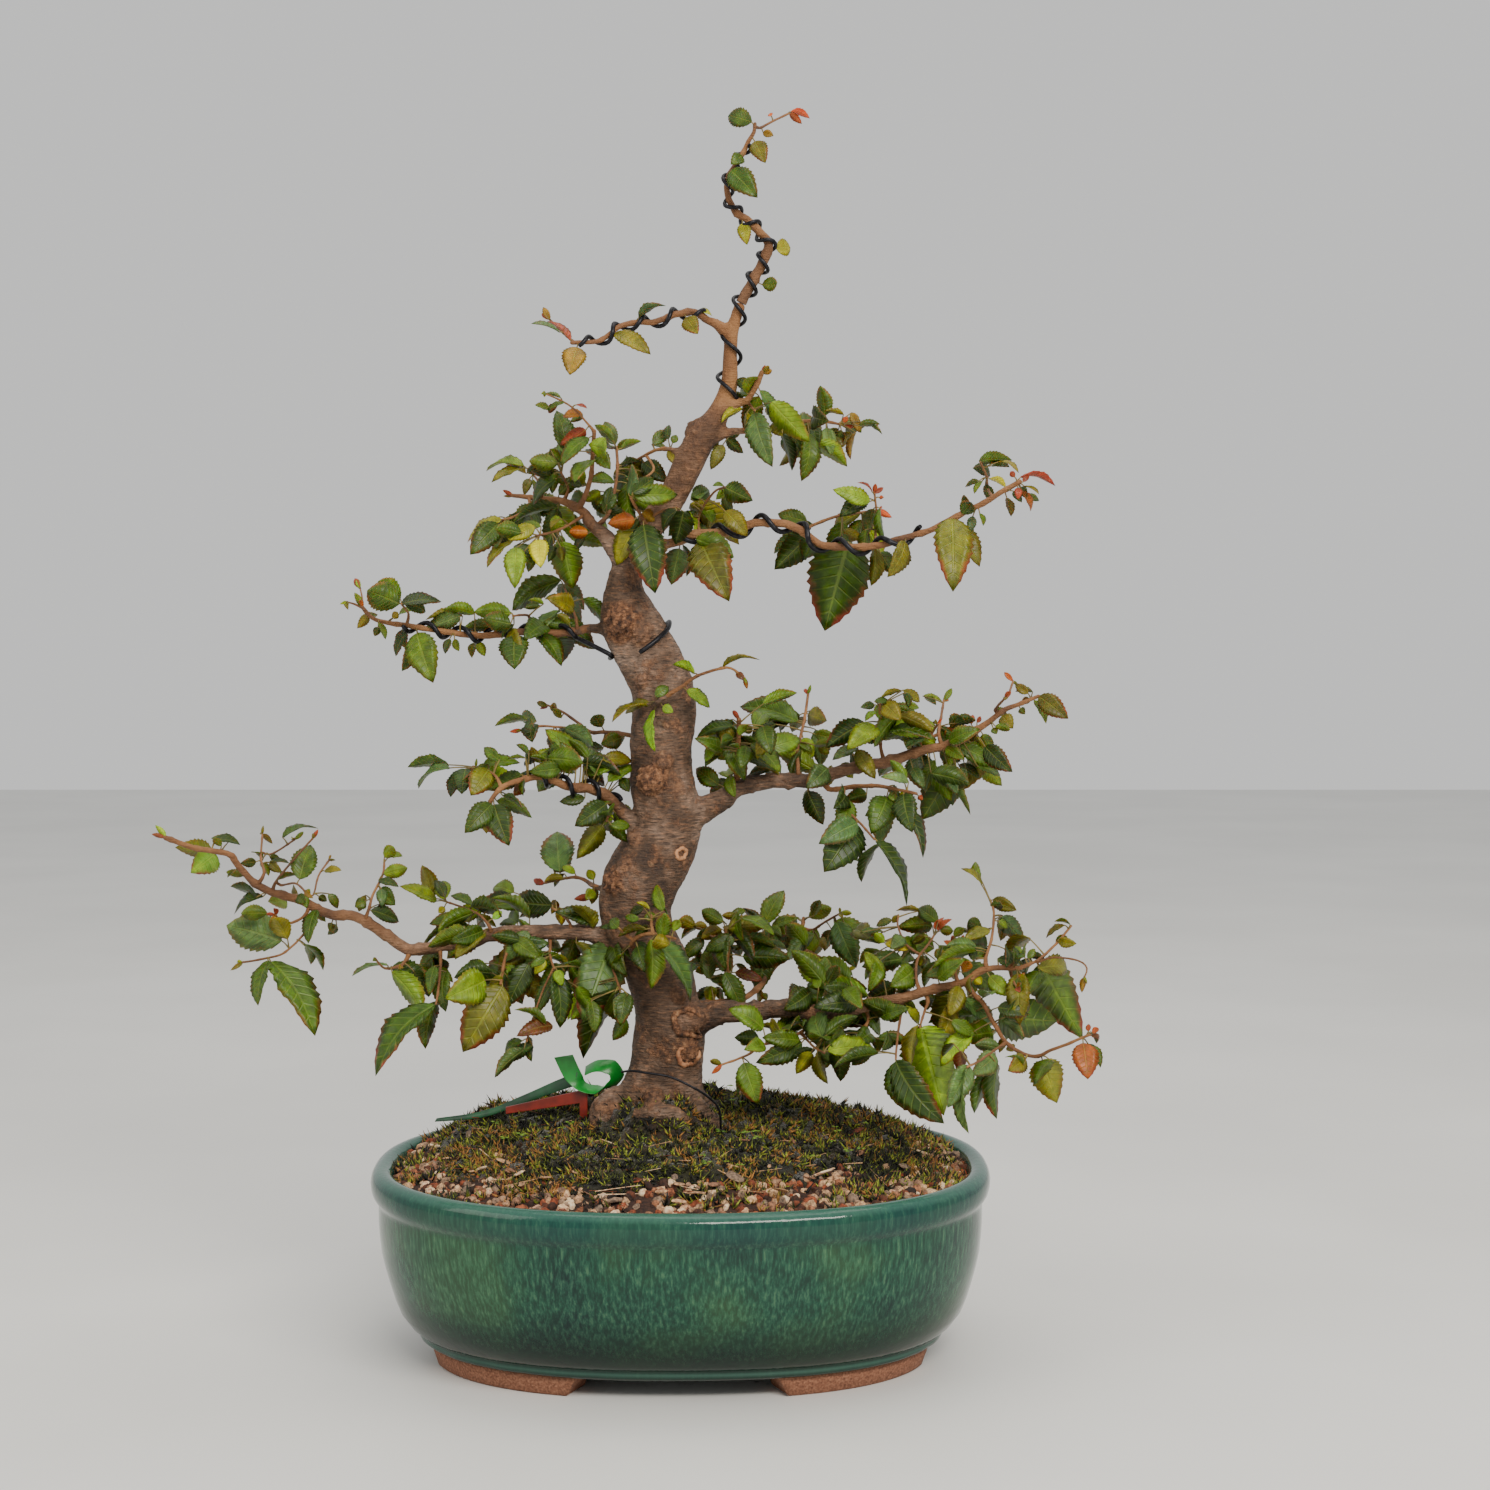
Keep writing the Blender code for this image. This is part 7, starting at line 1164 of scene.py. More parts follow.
            (0.08, 0.05, -0.4, 3.0, [(-5.6, 21.1), (-6.4, 21.8), (-7.2, 22.1)])],
        "leaves": [
            (-23.2, 24.7, -24.5, 23.7, 1.4, "b+"), (-23.4, 25.3, -22.1, 25.05, 0.35, "d"),
            (-23.0, 24.9, -23.5, 25.4, 0.4, "m"), (-21.2, 24.2, -22.1, 24.1, 0.5, "d"),
            (-20.8, 24.5, -20.1, 24.3, 0.35, "d"), (-20.7, 24.15, -19.7, 24.2, 0.2, "d"),
            (-20.3, 23.3, -19.9, 23.7, 0.3, "d"), (-22.3, 23.8, -22.8, 23.4, 0.15, "d"),
            (-20.0, 25.4, -18.2, 26.0, 0.25, "d"), (-20.8, 22.55, -22.5, 21.55, 0.4, "d"),
            (-19.2, 23.2, -18.6, 25.1, 1.3, "m"), (-18.1, 23.7, -17.1, 23.8, 0.35, "o"),
            (-19.6, 22.3, -20.7, 22.2, 1.0, "b"), (-20.8, 21.6, -22.2, 21.6, 0.8, "m"),
            (-20.1, 20.2, -22.9, 21.0, 2.0, "g"), (-20.75, 19.3, -18.35, 15.55, 0.95, "m"),
            (-19.0, 20.0, -17.95, 18.8, 0.55, "d"), (-18.3, 22.0, -18.8, 20.1, 0.85, "m"),
            (-19.4, 22.6, -18.9, 22.1, 0.7, "d"), (-18.3, 22.5, -17.8, 22.2, 0.4, "d"),
            (-17.5, 21.3, -17.7, 20.7, 0.4, "m"), (-15.8, 21.8, -14.1, 21.2, 0.7, "d"),
            (-15.7, 22.3, -16.4, 21.9, 0.7, "m"), (-15.3, 23.0, -14.4, 22.0, 0.9, "d"),
            (-15.1, 23.5, -13.7, 23.9, 0.75, "b"), (-14.9, 24.4, -14.4, 25.0, 0.8, "b"),
            (-14.7, 18.8, -12.9, 16.45, 1.2, "b"), (-12.35, 17.0, -15.65, 13.6, 1.3, "m+"),
            (-13.5, 18.7, -12.7, 17.4, 0.7, "d"), (-12.0, 19.8, -13.2, 18.7, 1.0, "m"),
            (-14.7, 19.0, -16.6, 18.6, 0.25, "g"), (-12.3, 22.2, -14.1, 23.0, 0.6, "b"),
            (-11.9, 22.2, -12.0, 23.3, 0.9, "b"), (-10.5, 22.0, -11.6, 22.6, 0.4, "d"),
            (-11.8, 22.0, -12.2, 21.6, 0.4, "y"), (-10.3, 21.7, -12.4, 20.7, 1.0, "m"),
            (-10.7, 21.0, -13.2, 20.0, 0.4, "d"), (-8.5, 22.4, -10.3, 21.9, 1.0, "d"),
            (-6.4, 22.0, -8.4, 22.2, 1.5, "d"), (-9.8, 20.7, -11.4, 19.3, 0.8, "o"),
            (-8.0, 20.2, -9.6, 20.5, 0.8, "d"), (-6.8, 19.65, -10.3, 17.9, 1.7, "m+"),
            (-9.9, 18.2, -11.8, 17.3, 1.8, "b"), (-9.0, 17.9, -11.0, 14.6, 2.2, "o+"),
            (-8.9, 18.6, -8.0, 17.0, 1.0, "d"), (-6.7, 19.4, -7.4, 18.5, 0.55, "y"),
            (-6.7, 19.5, -5.65, 18.85, 0.5, "y"), (-6.4, 18.9, -6.0, 15.8, 1.1, "d"),
            (-6.3, 18.8, -6.0, 17.9, 0.6, "b"), (-3.5, 20.2, -4.9, 16.2, 2.6, "g+"),
            (-3.2, 17.7, -5.05, 14.45, 1.5, "d"), (-2.8, 17.6, -3.1, 15.9, 1.0, "d"),
            (-6.5, 15.9, -8.3, 15.4, 0.7, "n"), (-7.9, 15.2, -9.0, 14.5, 0.4, "d"),
            (-7.95, 14.7, -9.5, 13.3, 0.7, "g"), (-9.5, 21.3, -9.0, 21.7, 0.4, "b"),
            (-4.2, 21.2, -6.3, 21.7, 0.9, "d"), (-6.1, 21.9, -6.0, 21.0, 0.6, "y"),
            (-7.3, 21.6, -8.2, 21.4, 0.4, "o")],
    },
    "left_rear_shoot": {
        "root": 22.4,
        "wood": [
            (0.12, 0.05, 0.8, 3.5, [(-4.2, 22.9), (-5.3, 23.4), (-6.9, 23.1)])],
        "leaves": [
            (-5.7, 23.4, -6.9, 23.2, 0.5, "o"), (-5.2, 23.5, -6.0, 24.0, 0.4, "b"),
            (-4.3, 23.1, -4.7, 23.8, 0.5, "b"), (-4.3, 22.8, -4.8, 22.3, 0.8, "b"),
            (-4.6, 22.4, -5.4, 22.3, 0.4, "r"), (-6.1, 23.7, -6.25, 25.8, 1.8, "g+")],
    },
    "lower_front_shoot": {
        "root": 19.6,
        "wood": [
            (0.12, 0.06, -2.2, -4.6, [(-2.6, 20.0), (-2.2, 20.4), (-1.4, 20.55), (-0.3, 20.3)]),
            (0.07, 0.05, -2.6, -3.4, [(-2.8, 20.5), (-3.1, 20.8)]),
            (0.07, 0.05, -3.4, -3.6, [(-1.5, 21.0), (-1.5, 21.5)])],
        "leaves": [
            (-0.9, 21.7, -1.3, 23.1, 0.7, "m"), (-1.6, 21.8, -2.25, 22.15, 0.3, "y"),
            (-3.0, 20.7, -3.6, 21.3, 0.8, "d"), (-2.1, 21.3, -2.9, 21.4, 0.45, "m"),
            (-1.5, 20.9, -1.6, 21.7, 0.6, "m"), (-1.0, 20.2, -0.8, 21.7, 0.8, "m"),
            (-0.4, 20.7, -0.1, 21.3, 0.5, "b"), (-1.7, 20.8, -3.2, 20.4, 0.5, "o"),
            (-0.6, 20.0, -1.5, 20.2, 0.8, "o"), (-2.3, 20.2, -1.8, 18.6, 0.9, "d"),
            (-1.3, 20.2, 0.65, 17.1, 0.9, "g"), (-3.0, 19.7, -1.8, 18.1, 0.25, "d")],
    },
    "rear_right_branch": {
        "root": 16.6,
        "wood": [
            (0.2, 0.09, 1.9, 8.0, [(0.9, 17.0), (2.0, 17.1), (3.1, 17.3), (3.95, 17.9), (4.7, 18.9), (5.35, 19.5),
              (5.9, 19.85), (6.0, 20.3), (6.15, 21.35)]),
            (0.08, 0.05, 7.2, 5.0, [(6.6, 20.75), (7.3, 21.2), (8.0, 21.6)]),
            (0.08, 0.05, 6.8, 9.0, [(6.7, 19.5), (7.7, 19.05), (8.4, 18.7)]),
            (0.08, 0.05, 6.0, 7.6, [(4.6, 19.2), (4.1, 19.65)]),
            (0.1, 0.07, 3.6, 2.8, [(2.5, 18.0), (2.3, 18.9), (2.4, 19.9), (2.2, 20.8)]),
            (0.07, 0.05, 2.8, 5.0, [(1.6, 20.4), (1.2, 20.7)])],
        "leaves": [
            (0.7, 20.9, -0.2, 21.3, 0.8, "o+"), (1.3, 20.9, 0.6, 21.0, 0.5, "o"), (1.6, 20.9, 1.5, 21.4, 0.4, "n"),
            (2.0, 20.8, 1.0, 20.3, 0.8, "o"), (2.9, 21.4, 2.0, 21.5, 0.45, "o"), (3.1, 21.35, 4.7, 20.5, 0.5, "m"),
            (2.1, 20.9, 3.8, 19.2, 0.9, "d"), (4.55, 20.9, 5.85, 21.4, 0.6, "m"), (5.3, 19.8, 4.05, 20.1, 0.55, "g"),
            (5.2, 20.5, 5.0, 20.9, 0.4, "m"), (5.9, 19.9, 4.9, 20.3, 0.8, "d"), (6.4, 21.4, 7.6, 21.9, 0.85, "m"),
            (7.8, 21.15, 8.8, 18.85, 1.5, "g"), (6.9, 20.3, 7.3, 19.8, 0.7, "o"), (0.4, 20.0, 1.0, 19.0, 0.5, "d"),
            (1.4, 18.3, 1.3, 19.9, 0.9, "m"), (1.9, 20.0, 1.9, 19.0, 0.6, "d"), (1.5, 18.2, 2.8, 18.1, 0.45, "d"),
            (2.7, 18.6, 4.1, 18.2, 0.6, "n"), (1.2, 18.5, 0.8, 18.9, 0.5, "m"), (1.5, 17.9, 1.4, 16.9, 0.7, "b"),
            (2.4, 17.8, 2.5, 17.3, 0.5, "o"), (4.0, 17.7, 4.3, 17.2, 0.4, "d")],
    },
    "lower_right_branch": {
        "root": 15.6,
        "wood": [
            (0.55, 0.11, -0.6, -3.0, [(1.6, 16.45), (2.95, 16.6), (3.95, 16.65), (4.95, 16.8), (5.6, 16.8),
              (6.3, 16.6), (7.0, 16.5), (8.1, 16.55), (9.0, 16.85), (9.6, 17.0), (10.8, 17.25), (12.0, 17.55),
              (13.1, 17.85), (14.2, 18.1), (15.1, 18.7), (16.1, 18.85), (17.1, 18.8)]),
            (0.08, 0.06, -2.4, 0.8, [(13.75, 18.8), (13.85, 19.7)]),
            (0.09, 0.05, -2.6, 1.6, [(15.3, 19.3), (15.6, 20.3), (15.7, 21.65), (15.5, 22.3)]),
            (0.08, 0.06, -3.0, -0.8, [(17.5, 19.0), (18.05, 19.3), (18.9, 20.1), (19.6, 20.95)]),
            (0.13, 0.06, -2.4, -7.5, [(14.7, 17.5), (15.2, 17.0), (15.8, 15.9), (16.4, 15.0), (17.3, 14.45),
              (18.0, 14.35), (18.6, 14.65), (19.3, 14.9), (20.0, 15.2), (20.6, 15.45)]),
            (0.1, 0.05, -1.2, -6.0, [(6.4, 15.95), (6.0, 15.55), (5.05, 15.1), (4.05, 14.9), (3.3, 14.4),
              (2.0, 13.9)]),
            (0.07, 0.05, -2.6, -5.5, [(6.3, 15.2), (6.7, 14.8), (7.2, 14.5)]),
            (0.08, 0.05, -2.0, 2.4, [(11.8, 18.4), (11.9, 19.3), (12.4, 20.0), (12.8, 20.6)]),
            (0.07, 0.05, 0.0, 3.6, [(11.3, 20.0), (10.9, 20.9), (10.9, 21.5)]),
            (0.09, 0.07, -1.6, -3.0, [(9.4, 16.2), (9.05, 15.45)]),
            (0.05, 0.04, -2.9, -4.8, [(17.9, 19.1), (18.7, 19.35), (19.95, 19.2), (20.4, 18.8), (20.25, 18.3)]),
            (0.09, 0.05, -2.2, -5.0, [(12.4, 17.1), (12.2, 16.5), (12.0, 15.8)]),
            (0.08, 0.05, -2.0, -6.0, [(11.1, 16.8), (10.9, 15.5), (10.8, 14.2)]),
            (0.07, 0.05, -5.2, -8.0, [(15.7, 14.6), (15.0, 14.1), (14.4, 13.8)]),
            (0.07, 0.05, -2.6, -4.8, [(16.6, 18.4), (16.9, 17.8)])],
        "leaves": [
            (6.5, 17.6, 5.2, 16.7, 1.2, "d"), (6.9, 17.8, 6.7, 18.4, 0.7, "m"), (9.5, 17.4, 6.5, 18.0, 1.2, "m+"),
            (9.3, 17.0, 6.7, 16.9, 1.0, "d"), (6.2, 16.1, 4.6, 15.7, 0.8, "d"), (5.0, 15.4, 3.9, 15.9, 0.4, "o"),
            (3.9, 15.2, 2.7, 15.3, 0.85, "d"), (6.2, 15.1, 3.8, 14.0, 1.2, "d"), (6.1, 15.4, 8.3, 15.6, 1.3, "g"),
            (7.2, 14.6, 9.8, 14.8, 0.95, "b"), (9.9, 14.5, 7.5, 13.9, 0.9, "d"), (6.6, 14.6, 5.8, 13.5, 0.8, "y"),
            (6.8, 14.5, 7.35, 12.95, 0.7, "o"), (3.1, 14.15, 3.85, 11.9, 1.3, "m+"), (9.9, 16.6, 8.2, 15.9, 1.2, "d"),
            (11.1, 19.3, 9.1, 18.9, 1.1, "g"), (11.7, 19.7, 10.2, 20.1, 0.6, "y"), (10.2, 20.1, 9.7, 20.6, 0.6, "b"),
            (9.0, 20.6, 10.3, 20.7, 0.25, "d"), (12.0, 21.7, 10.75, 21.8, 0.4, "o"),
            (10.9, 21.5, 10.6, 21.1, 0.4, "o"), (12.6, 21.0, 10.9, 20.9, 1.0, "m"),
            (12.3, 20.4, 11.3, 20.2, 0.3, "m"), (13.0, 20.7, 13.7, 20.7, 0.6, "m"),
            (13.7, 20.4, 14.2, 20.9, 0.5, "m"), (12.9, 20.7, 13.2, 21.4, 0.25, "r"),
            (12.9, 20.7, 13.6, 21.3, 0.25, "r"), (12.8, 20.7, 12.9, 21.3, 0.25, "r"),
            (13.85, 19.8, 13.2, 20.2, 0.35, "r"), (13.85, 19.8, 14.5, 20.2, 0.35, "r"),
            (13.85, 19.8, 13.6, 20.5, 0.35, "r"), (13.85, 19.8, 14.2, 20.5, 0.35, "r"),
            (13.85, 19.8, 14.4, 19.6, 0.35, "r"), (15.1, 23.0, 14.1, 23.9, 0.3, "o"),
            (15.7, 20.8, 14.2, 20.3, 0.55, "o"), (15.6, 22.3, 16.8, 21.75, 0.75, "o"),
            (15.9, 21.2, 16.4, 20.8, 0.6, "b"), (16.1, 21.4, 17.25, 20.1, 1.0, "g"),
            (16.7, 19.4, 17.1, 19.9, 0.7, "m"), (18.8, 20.2, 19.85, 20.05, 0.55, "o"),
            (19.3, 21.0, 18.25, 20.4, 0.2, "o"), (11.8, 18.8, 10.6, 17.9, 1.3, "m"),
            (13.7, 19.0, 12.3, 18.4, 0.8, "g"), (12.2, 19.4, 12.0, 18.9, 0.5, "y"),
            (13.2, 19.2, 12.8, 19.8, 0.6, "o"), (14.2, 18.6, 14.5, 19.2, 0.7, "a"),
            (14.6, 18.5, 15.1, 18.0, 0.6, "y"), (14.7, 19.3, 15.2, 19.9, 0.8, "d"),
            (15.3, 18.6, 16.5, 17.4, 0.9, "b"), (17.4, 19.3, 17.8, 19.8, 0.4, "m"),
            (16.9, 18.8, 17.2, 18.3, 0.4, "a"), (11.2, 17.2, 9.8, 16.6, 0.7, "g"),
            (11.3, 17.0, 12.0, 15.95, 0.5, "y"), (12.3, 17.4, 12.4, 16.7, 0.9, "d"),
            (13.6, 17.6, 13.3, 15.0, 1.8, "o"), (14.2, 17.2, 15.8, 15.9, 0.9, "g"),
            (12.1, 15.8, 13.15, 11.6, 2.7, "b"), (10.8, 14.1, 13.1, 10.9, 1.7, "d"),
            (15.9, 15.6, 14.1, 15.3, 1.4, "m"), (15.9, 14.5, 14.7, 13.4, 1.2, "g"),
            (15.9, 16.2, 18.7, 16.2, 2.3, "m"), (17.0, 18.6, 17.0, 16.0, 1.2, "o"),
            (18.0, 19.2, 20.1, 15.4, 2.2, "m+"), (17.5, 14.4, 16.5, 13.6, 1.0, "o+"),
            (18.1, 14.4, 18.9, 12.05, 1.7, "y"), (20.2, 15.3, 20.5, 13.2, 1.3, "a+"),
            (20.6, 15.4, 21.0, 15.8, 0.3, "r"), (20.6, 15.4, 21.1, 15.3, 0.25, "n"),
            (20.5, 15.4, 20.5, 16.0, 0.25, "r"), (14.35, 13.7, 14.4, 10.4, 0.4, "g"),
            (15.9, 13.9, 15.8, 11.2, 0.9, "d+"), (14.1, 14.6, 14.0, 13.6, 0.7, "n"),
            (16.4, 15.1, 16.7, 14.6, 0.5, "o")],
    },
}

# Knots, scars and knobs as read: x, z, depth, radius, how far they stand out, how corky they are
knots = [
    (-2.95, 36.2, -1.2, 1.0, 0.28, 1.0), (-2.0, 35.6, -1.5, 0.7, 0.12, 0.5), (-1.5, 28.3, -1.7, 0.85, 0.4, 1.0),
    (-0.9, 29.2, -1.6, 0.5, 0.15, 0.7), (-3.3, 23.2, -1.2, 0.7, 0.28, 1.0), (-2.7, 24.1, -1.5, 0.5, 0.1, 0.6),
    (0.5, 16.2, -1.4, 0.85, 0.35, 0.35), (0.5, 14.6, -1.5, 0.7, 0.2, 0.9), (-0.1, 17.4, -1.6, 0.45, 0.1, 0.5),
    (-3.6, 11.6, -1.0, 0.9, 0.45, 0.3), (-1.4, 12.2, -2.4, 0.6, 0.2, 0.5), (-2.0, 33.2, -1.4, 0.4, 0.08, 0.6),
    (0.75, 45.7, 0.0, 0.7, 0.16, 0.4), (-2.4, 25.4, -1.3, 0.5, 0.1, 0.5),
    (-1.2, 21.2, -1.5, 0.6, 0.08, 0.5), (-2.6, 19.8, -1.2, 0.45, 0.08, 0.5),
]
ringScar = {"place": (0.0, 24.7), "radius": 0.4}
# Callus that has grown over cuts: x, z, ring radius, roll thickness, first and last angle in degrees
calluses = {
    "small_ring_scar": (0.02, 24.72, 0.25, 0.1, 0, 360), "wide_lip_scar": (0.42, 14.7, 0.46, 0.14, 130, 380),
    "collar_ring_scar": (0.3, 16.45, 0.56, 0.17, 20, 345),
}
trunkPoints = [Vector((-1.3, 0, 10.93))] + [seen(x, z, 0.0) for z, x, width in trunkReadings]
trunkRadii = [2.6] + [width / 2 for z, x, width in trunkReadings]


def trunkAt(reading):
    for (low, lowX, lowWidth), (high, highX, highWidth) in zip(trunkReadings, trunkReadings[1:]):
        if reading <= high:
            share = (reading - low) / (high - low)
            start, end = seen(lowX, low, 0.0), seen(highX, high, 0.0)
            width = lowWidth + (highWidth - lowWidth) * share
            return start.lerp(end, share), width / 2, (end - start).normalized()
    return trunkPoints[-1].copy(), trunkRadii[-1], (trunkPoints[-1] - trunkPoints[-2]).normalized()


def framesAlong(points, first=None):
    tangents = [(after - before).normalized() for before, after in zip(points[:1] + points, points[1:] + points[-1:])]
    if first is not None:
        tangents[0] = first.normalized()
    across = Vector((1, 0, 0)) if abs(tangents[0].x) < 0.9 else Vector((0, 0, 1))
    frames = []
    for tangent in tangents:
        across = (across - tangent * across.dot(tangent)).normalized()
        frames.append((tangent, across, tangent.cross(across)))
    return frames


def jointOf(spec):
    # the trunk's middle at a branch, the way the branch leaves it, and how far its limb starts from there
    if spec["root"] is None:
        end, radius, direction = trunkAt(trunkReadings[-1][0] + 1)
        return end, direction, 0.0
    middle, radius, along = trunkAt(spec["root"])
    first = spec["wood"][0]
    direction = (seen(*first[4][0], first[2]) - middle).normalized()
    outward = max(direction.cross(along).length, 0.35)
    return middle, direction, (radius * 1.08 + first[0] * 0.9 + 0.1) / outward


def runsAlong(points):
    # how far along the path each point lies
    runs = [0.0]
    for a, b in zip(points, points[1:]):
        runs.append(runs[-1] + math.dist(a, b))
    return runs


def depthsAlong(points, start, end):
    runs = runsAlong(points)
    return [start + (end - start) * run / (runs[-1] or 1.0) for run in runs]


def radiiBetween(start, end, count):
    return [start + (end - start) * i / max(count - 1, 1) for i in range(count)]


def makeLimb(spec):
    startRadius, endRadius, startDepth, endDepth, readings = spec["wood"][0]
    middle, direction, reach = jointOf(spec)
    begin = middle + direction * (reach + 0.03)
    points, read = [begin], []
    for (x, z), depth in zip(readings, depthsAlong(readings, startDepth, endDepth)):
        if read or (seen(x, z, depth) - middle).dot(direction) > reach + 0.3:
            points.append(seen(x, z, depth))
            read.append((x, z, depth))
    scale = -eye.y / (begin.y - eye.y)
    read.insert(0, (eye.x + (begin.x - eye.x) * scale, eye.z + (begin.z - datum - eye.z) * scale, begin.y))
    radii = radiiBetween(startRadius, endRadius, len(points))
    return {"points": points, "read": read, "radii": radii, "from": middle}


def nearestOnWood(x, z, woods):
    best = None
    for number, wood in enumerate(woods):
        for i, (start, end) in enumerate(zip(wood["read"], wood["read"][1:])):
            run = Vector((end[0] - start[0], end[1] - start[1]))
            share = 0.0
            if run.length_squared > 0:
                share = min(max((Vector((x, z)) - Vector(start[:2])).dot(run) / run.length_squared, 0.0), 1.0)
            distance = (Vector(start[:2]) + run * share - Vector((x, z))).length
            if best is None or distance < best[3]:
                best = (number, i, share, distance)
    return best


def woodPoint(wood, i, share, inside=0.12):
    start, end = wood["points"][i], wood["points"][i + 1]
    margin = min(inside / max((end - start).length, 0.01), 0.5)
    if i == 0:
        share = max(share, margin)
    if i == len(wood["points"]) - 2:
        share = min(share, 1 - margin)
    return start.lerp(end, share), wood["radii"][i] + (wood["radii"][i + 1] - wood["radii"][i]) * share


def makeTwig(twig, woods):
    startRadius, endRadius, startDepth, endDepth, readings = twig
    number, i, share, distance = nearestOnWood(*readings[0], woods)
    parent = woods[number]
    root, parentRadius = woodPoint(parent, i, share)
    a, b = parent["read"][i], parent["read"][i + 1]
    read = [tuple(a[n] + (b[n] - a[n]) * share for n in range(3))]
    read += [(x, z, depth) for (x, z), depth in zip(readings, depthsAlong(readings, startDepth, endDepth))]
    points = [root] + [seen(*item) for item in read[1:]]
    return {"points": points, "read": read,
            "radii": radiiBetween(min(startRadius, parentRadius * 0.85), endRadius, len(points))}


woodsOf = {}
for name, spec in branches.items():
    woodsOf[name] = [makeLimb(spec)]
    for twig in spec["wood"][1:]:
        woodsOf[name].append(makeTwig(twig, woodsOf[name]))


# Trunk

trunk = {"sides": 40, "spacing": 0.35, "voxel": 0.00125, "rootEnd": 14.5, "youngFrom": 44.5, "youngTo": 48.0}


def trunkSwell(height, angle, ring):
    roots = max(0.0, (trunk["rootEnd"] - height) / 3.6)
    return 1 + 0.07 * roots * math.cos(5 * angle + 0.9) + 0.03 * math.sin(3 * angle + 0.9 * ring)


def solidTube(points, radii, sides, swell=None, first=None):
    rings = []
    frames = framesAlong(points, first)
    for n, (point, radius, turned) in enumerate(zip(points, radii, frames)):
        ring = []
        for k in range(sides):
            angle = math.tau * k / sides
            reach = radius * (swell(point.z, angle, n) if swell else 1.0)
            ring.append(point + (turned[1] * math.cos(angle) + turned[2] * math.sin(angle)) * reach)
        rings.append(ring)
    return ringsMesh("tube", rings, points[0], points[-1])


# Roots that show: the knob at the left, the pale ridge across the front, low ones behind
rootRidges = [
    ([(-3.0, -0.6, 13.2), (-3.7, -1.0, 12.3), (-3.95, -1.2, 11.5), (-4.0, -1.3, 10.6)], [0.55, 0.72, 0.68, 0.6]),
    ([(-2.8, -1.8, 11.9), (-2.0, -2.5, 12.35), (-1.1, -2.65, 12.6), (-0.2, -2.45, 12.4), (0.4, -2.1, 11.8)],
     [0.3, 0.42, 0.45, 0.4, 0.3]),
    ([(0.6, -1.0, 12.6), (1.4, -1.2, 11.6), (1.9, -1.4, 10.6)], [0.6, 0.6, 0.5]),
    ([(0.4, 1.4, 12.6), (1.2, 2.2, 11.6), (1.8, 2.9, 10.7)], [0.7, 0.65, 0.5]),
    ([(-2.2, 1.6, 12.8), (-3.0, 2.5, 11.7), (-3.6, 3.2, 10.7)], [0.75, 0.7, 0.5]),
]


def knotPlaces():
    return [(seen(x, z, depth), radius, rise, cork) for x, z, depth, radius, rise, cork in knots]


def barkMesh():
    # trunk, limb collars, roots and knobs fused, then roughened as bark
    parts = []
    path, rows = rounded(trunkPoints, trunkRadii, trunk["spacing"])
    path, radii = [Vector((-1.3, 0, 9.6))] + path, [2.75] + [row[0] for row in rows]
    parts.append(solidTube(path, radii, trunk["sides"], lambda z, angle, n: trunkSwell(z, angle, n * 0.33),
                           Vector((0, 0, 1))))
    for name, spec in branches.items():
        if spec["root"] is None:
            continue
        # the collar follows its limb, wide at the trunk and gone inside the limb soon after
        reach, girth = jointOf(spec)[2], spec["wood"][0][0]
        limb = [woodsOf[name][0]["from"]] + woodsOf[name][0]["points"][:3]
        path, rows = rounded(limb, [1.0] * len(limb), 0.2)
        line, girths, run = [], [], 0.0
        for point in path:
            run += (point - line[-1]).length if line else 0.0
            if run > reach + 1.3:
                break
            line.append(point)
            flare = 0.55 * (1 - ease(run, 0.35 * reach, reach + 0.7))
            girths.append(girth * (1.0 + flare - 0.2 * ease(run, reach + 0.5, reach + 1.3)) + 0.03)
        parts.append(solidTube(line, girths, 14))
    for spot, radius, rise, cork in knotPlaces():
        form = bmesh.new()
        bmesh.ops.create_icosphere(form, subdivisions=3, radius=radius * 0.75 * cm,
                                   matrix=Matrix.Translation(place(spot + Vector((0, 0.25 * radius, 0)))))
        parts.append(meshOf(form, "knot"))
    for line, girths in rootRidges:
        path, rows = rounded([Vector(point) for point in line], girths, 0.2)
        parts.append(solidTube(path, [row[0] for row in rows], 14))
    form = bmesh.new()
    for part in parts:
        form.from_mesh(part)
    carrier = intoScene(bpy.data.objects.new("carrier", meshOf(form, "trunk_wood")))
    remesh = carrier.modifiers.new("fuse", "REMESH")
    remesh.mode, remesh.voxel_size = "VOXEL", trunk["voxel"]
    soften = carrier.modifiers.new("soften", "SMOOTH")
    soften.factor, soften.iterations = 0.5, 9
    fused = baked(carrier)
    bpy.data.objects.remove(carrier)
    return fused


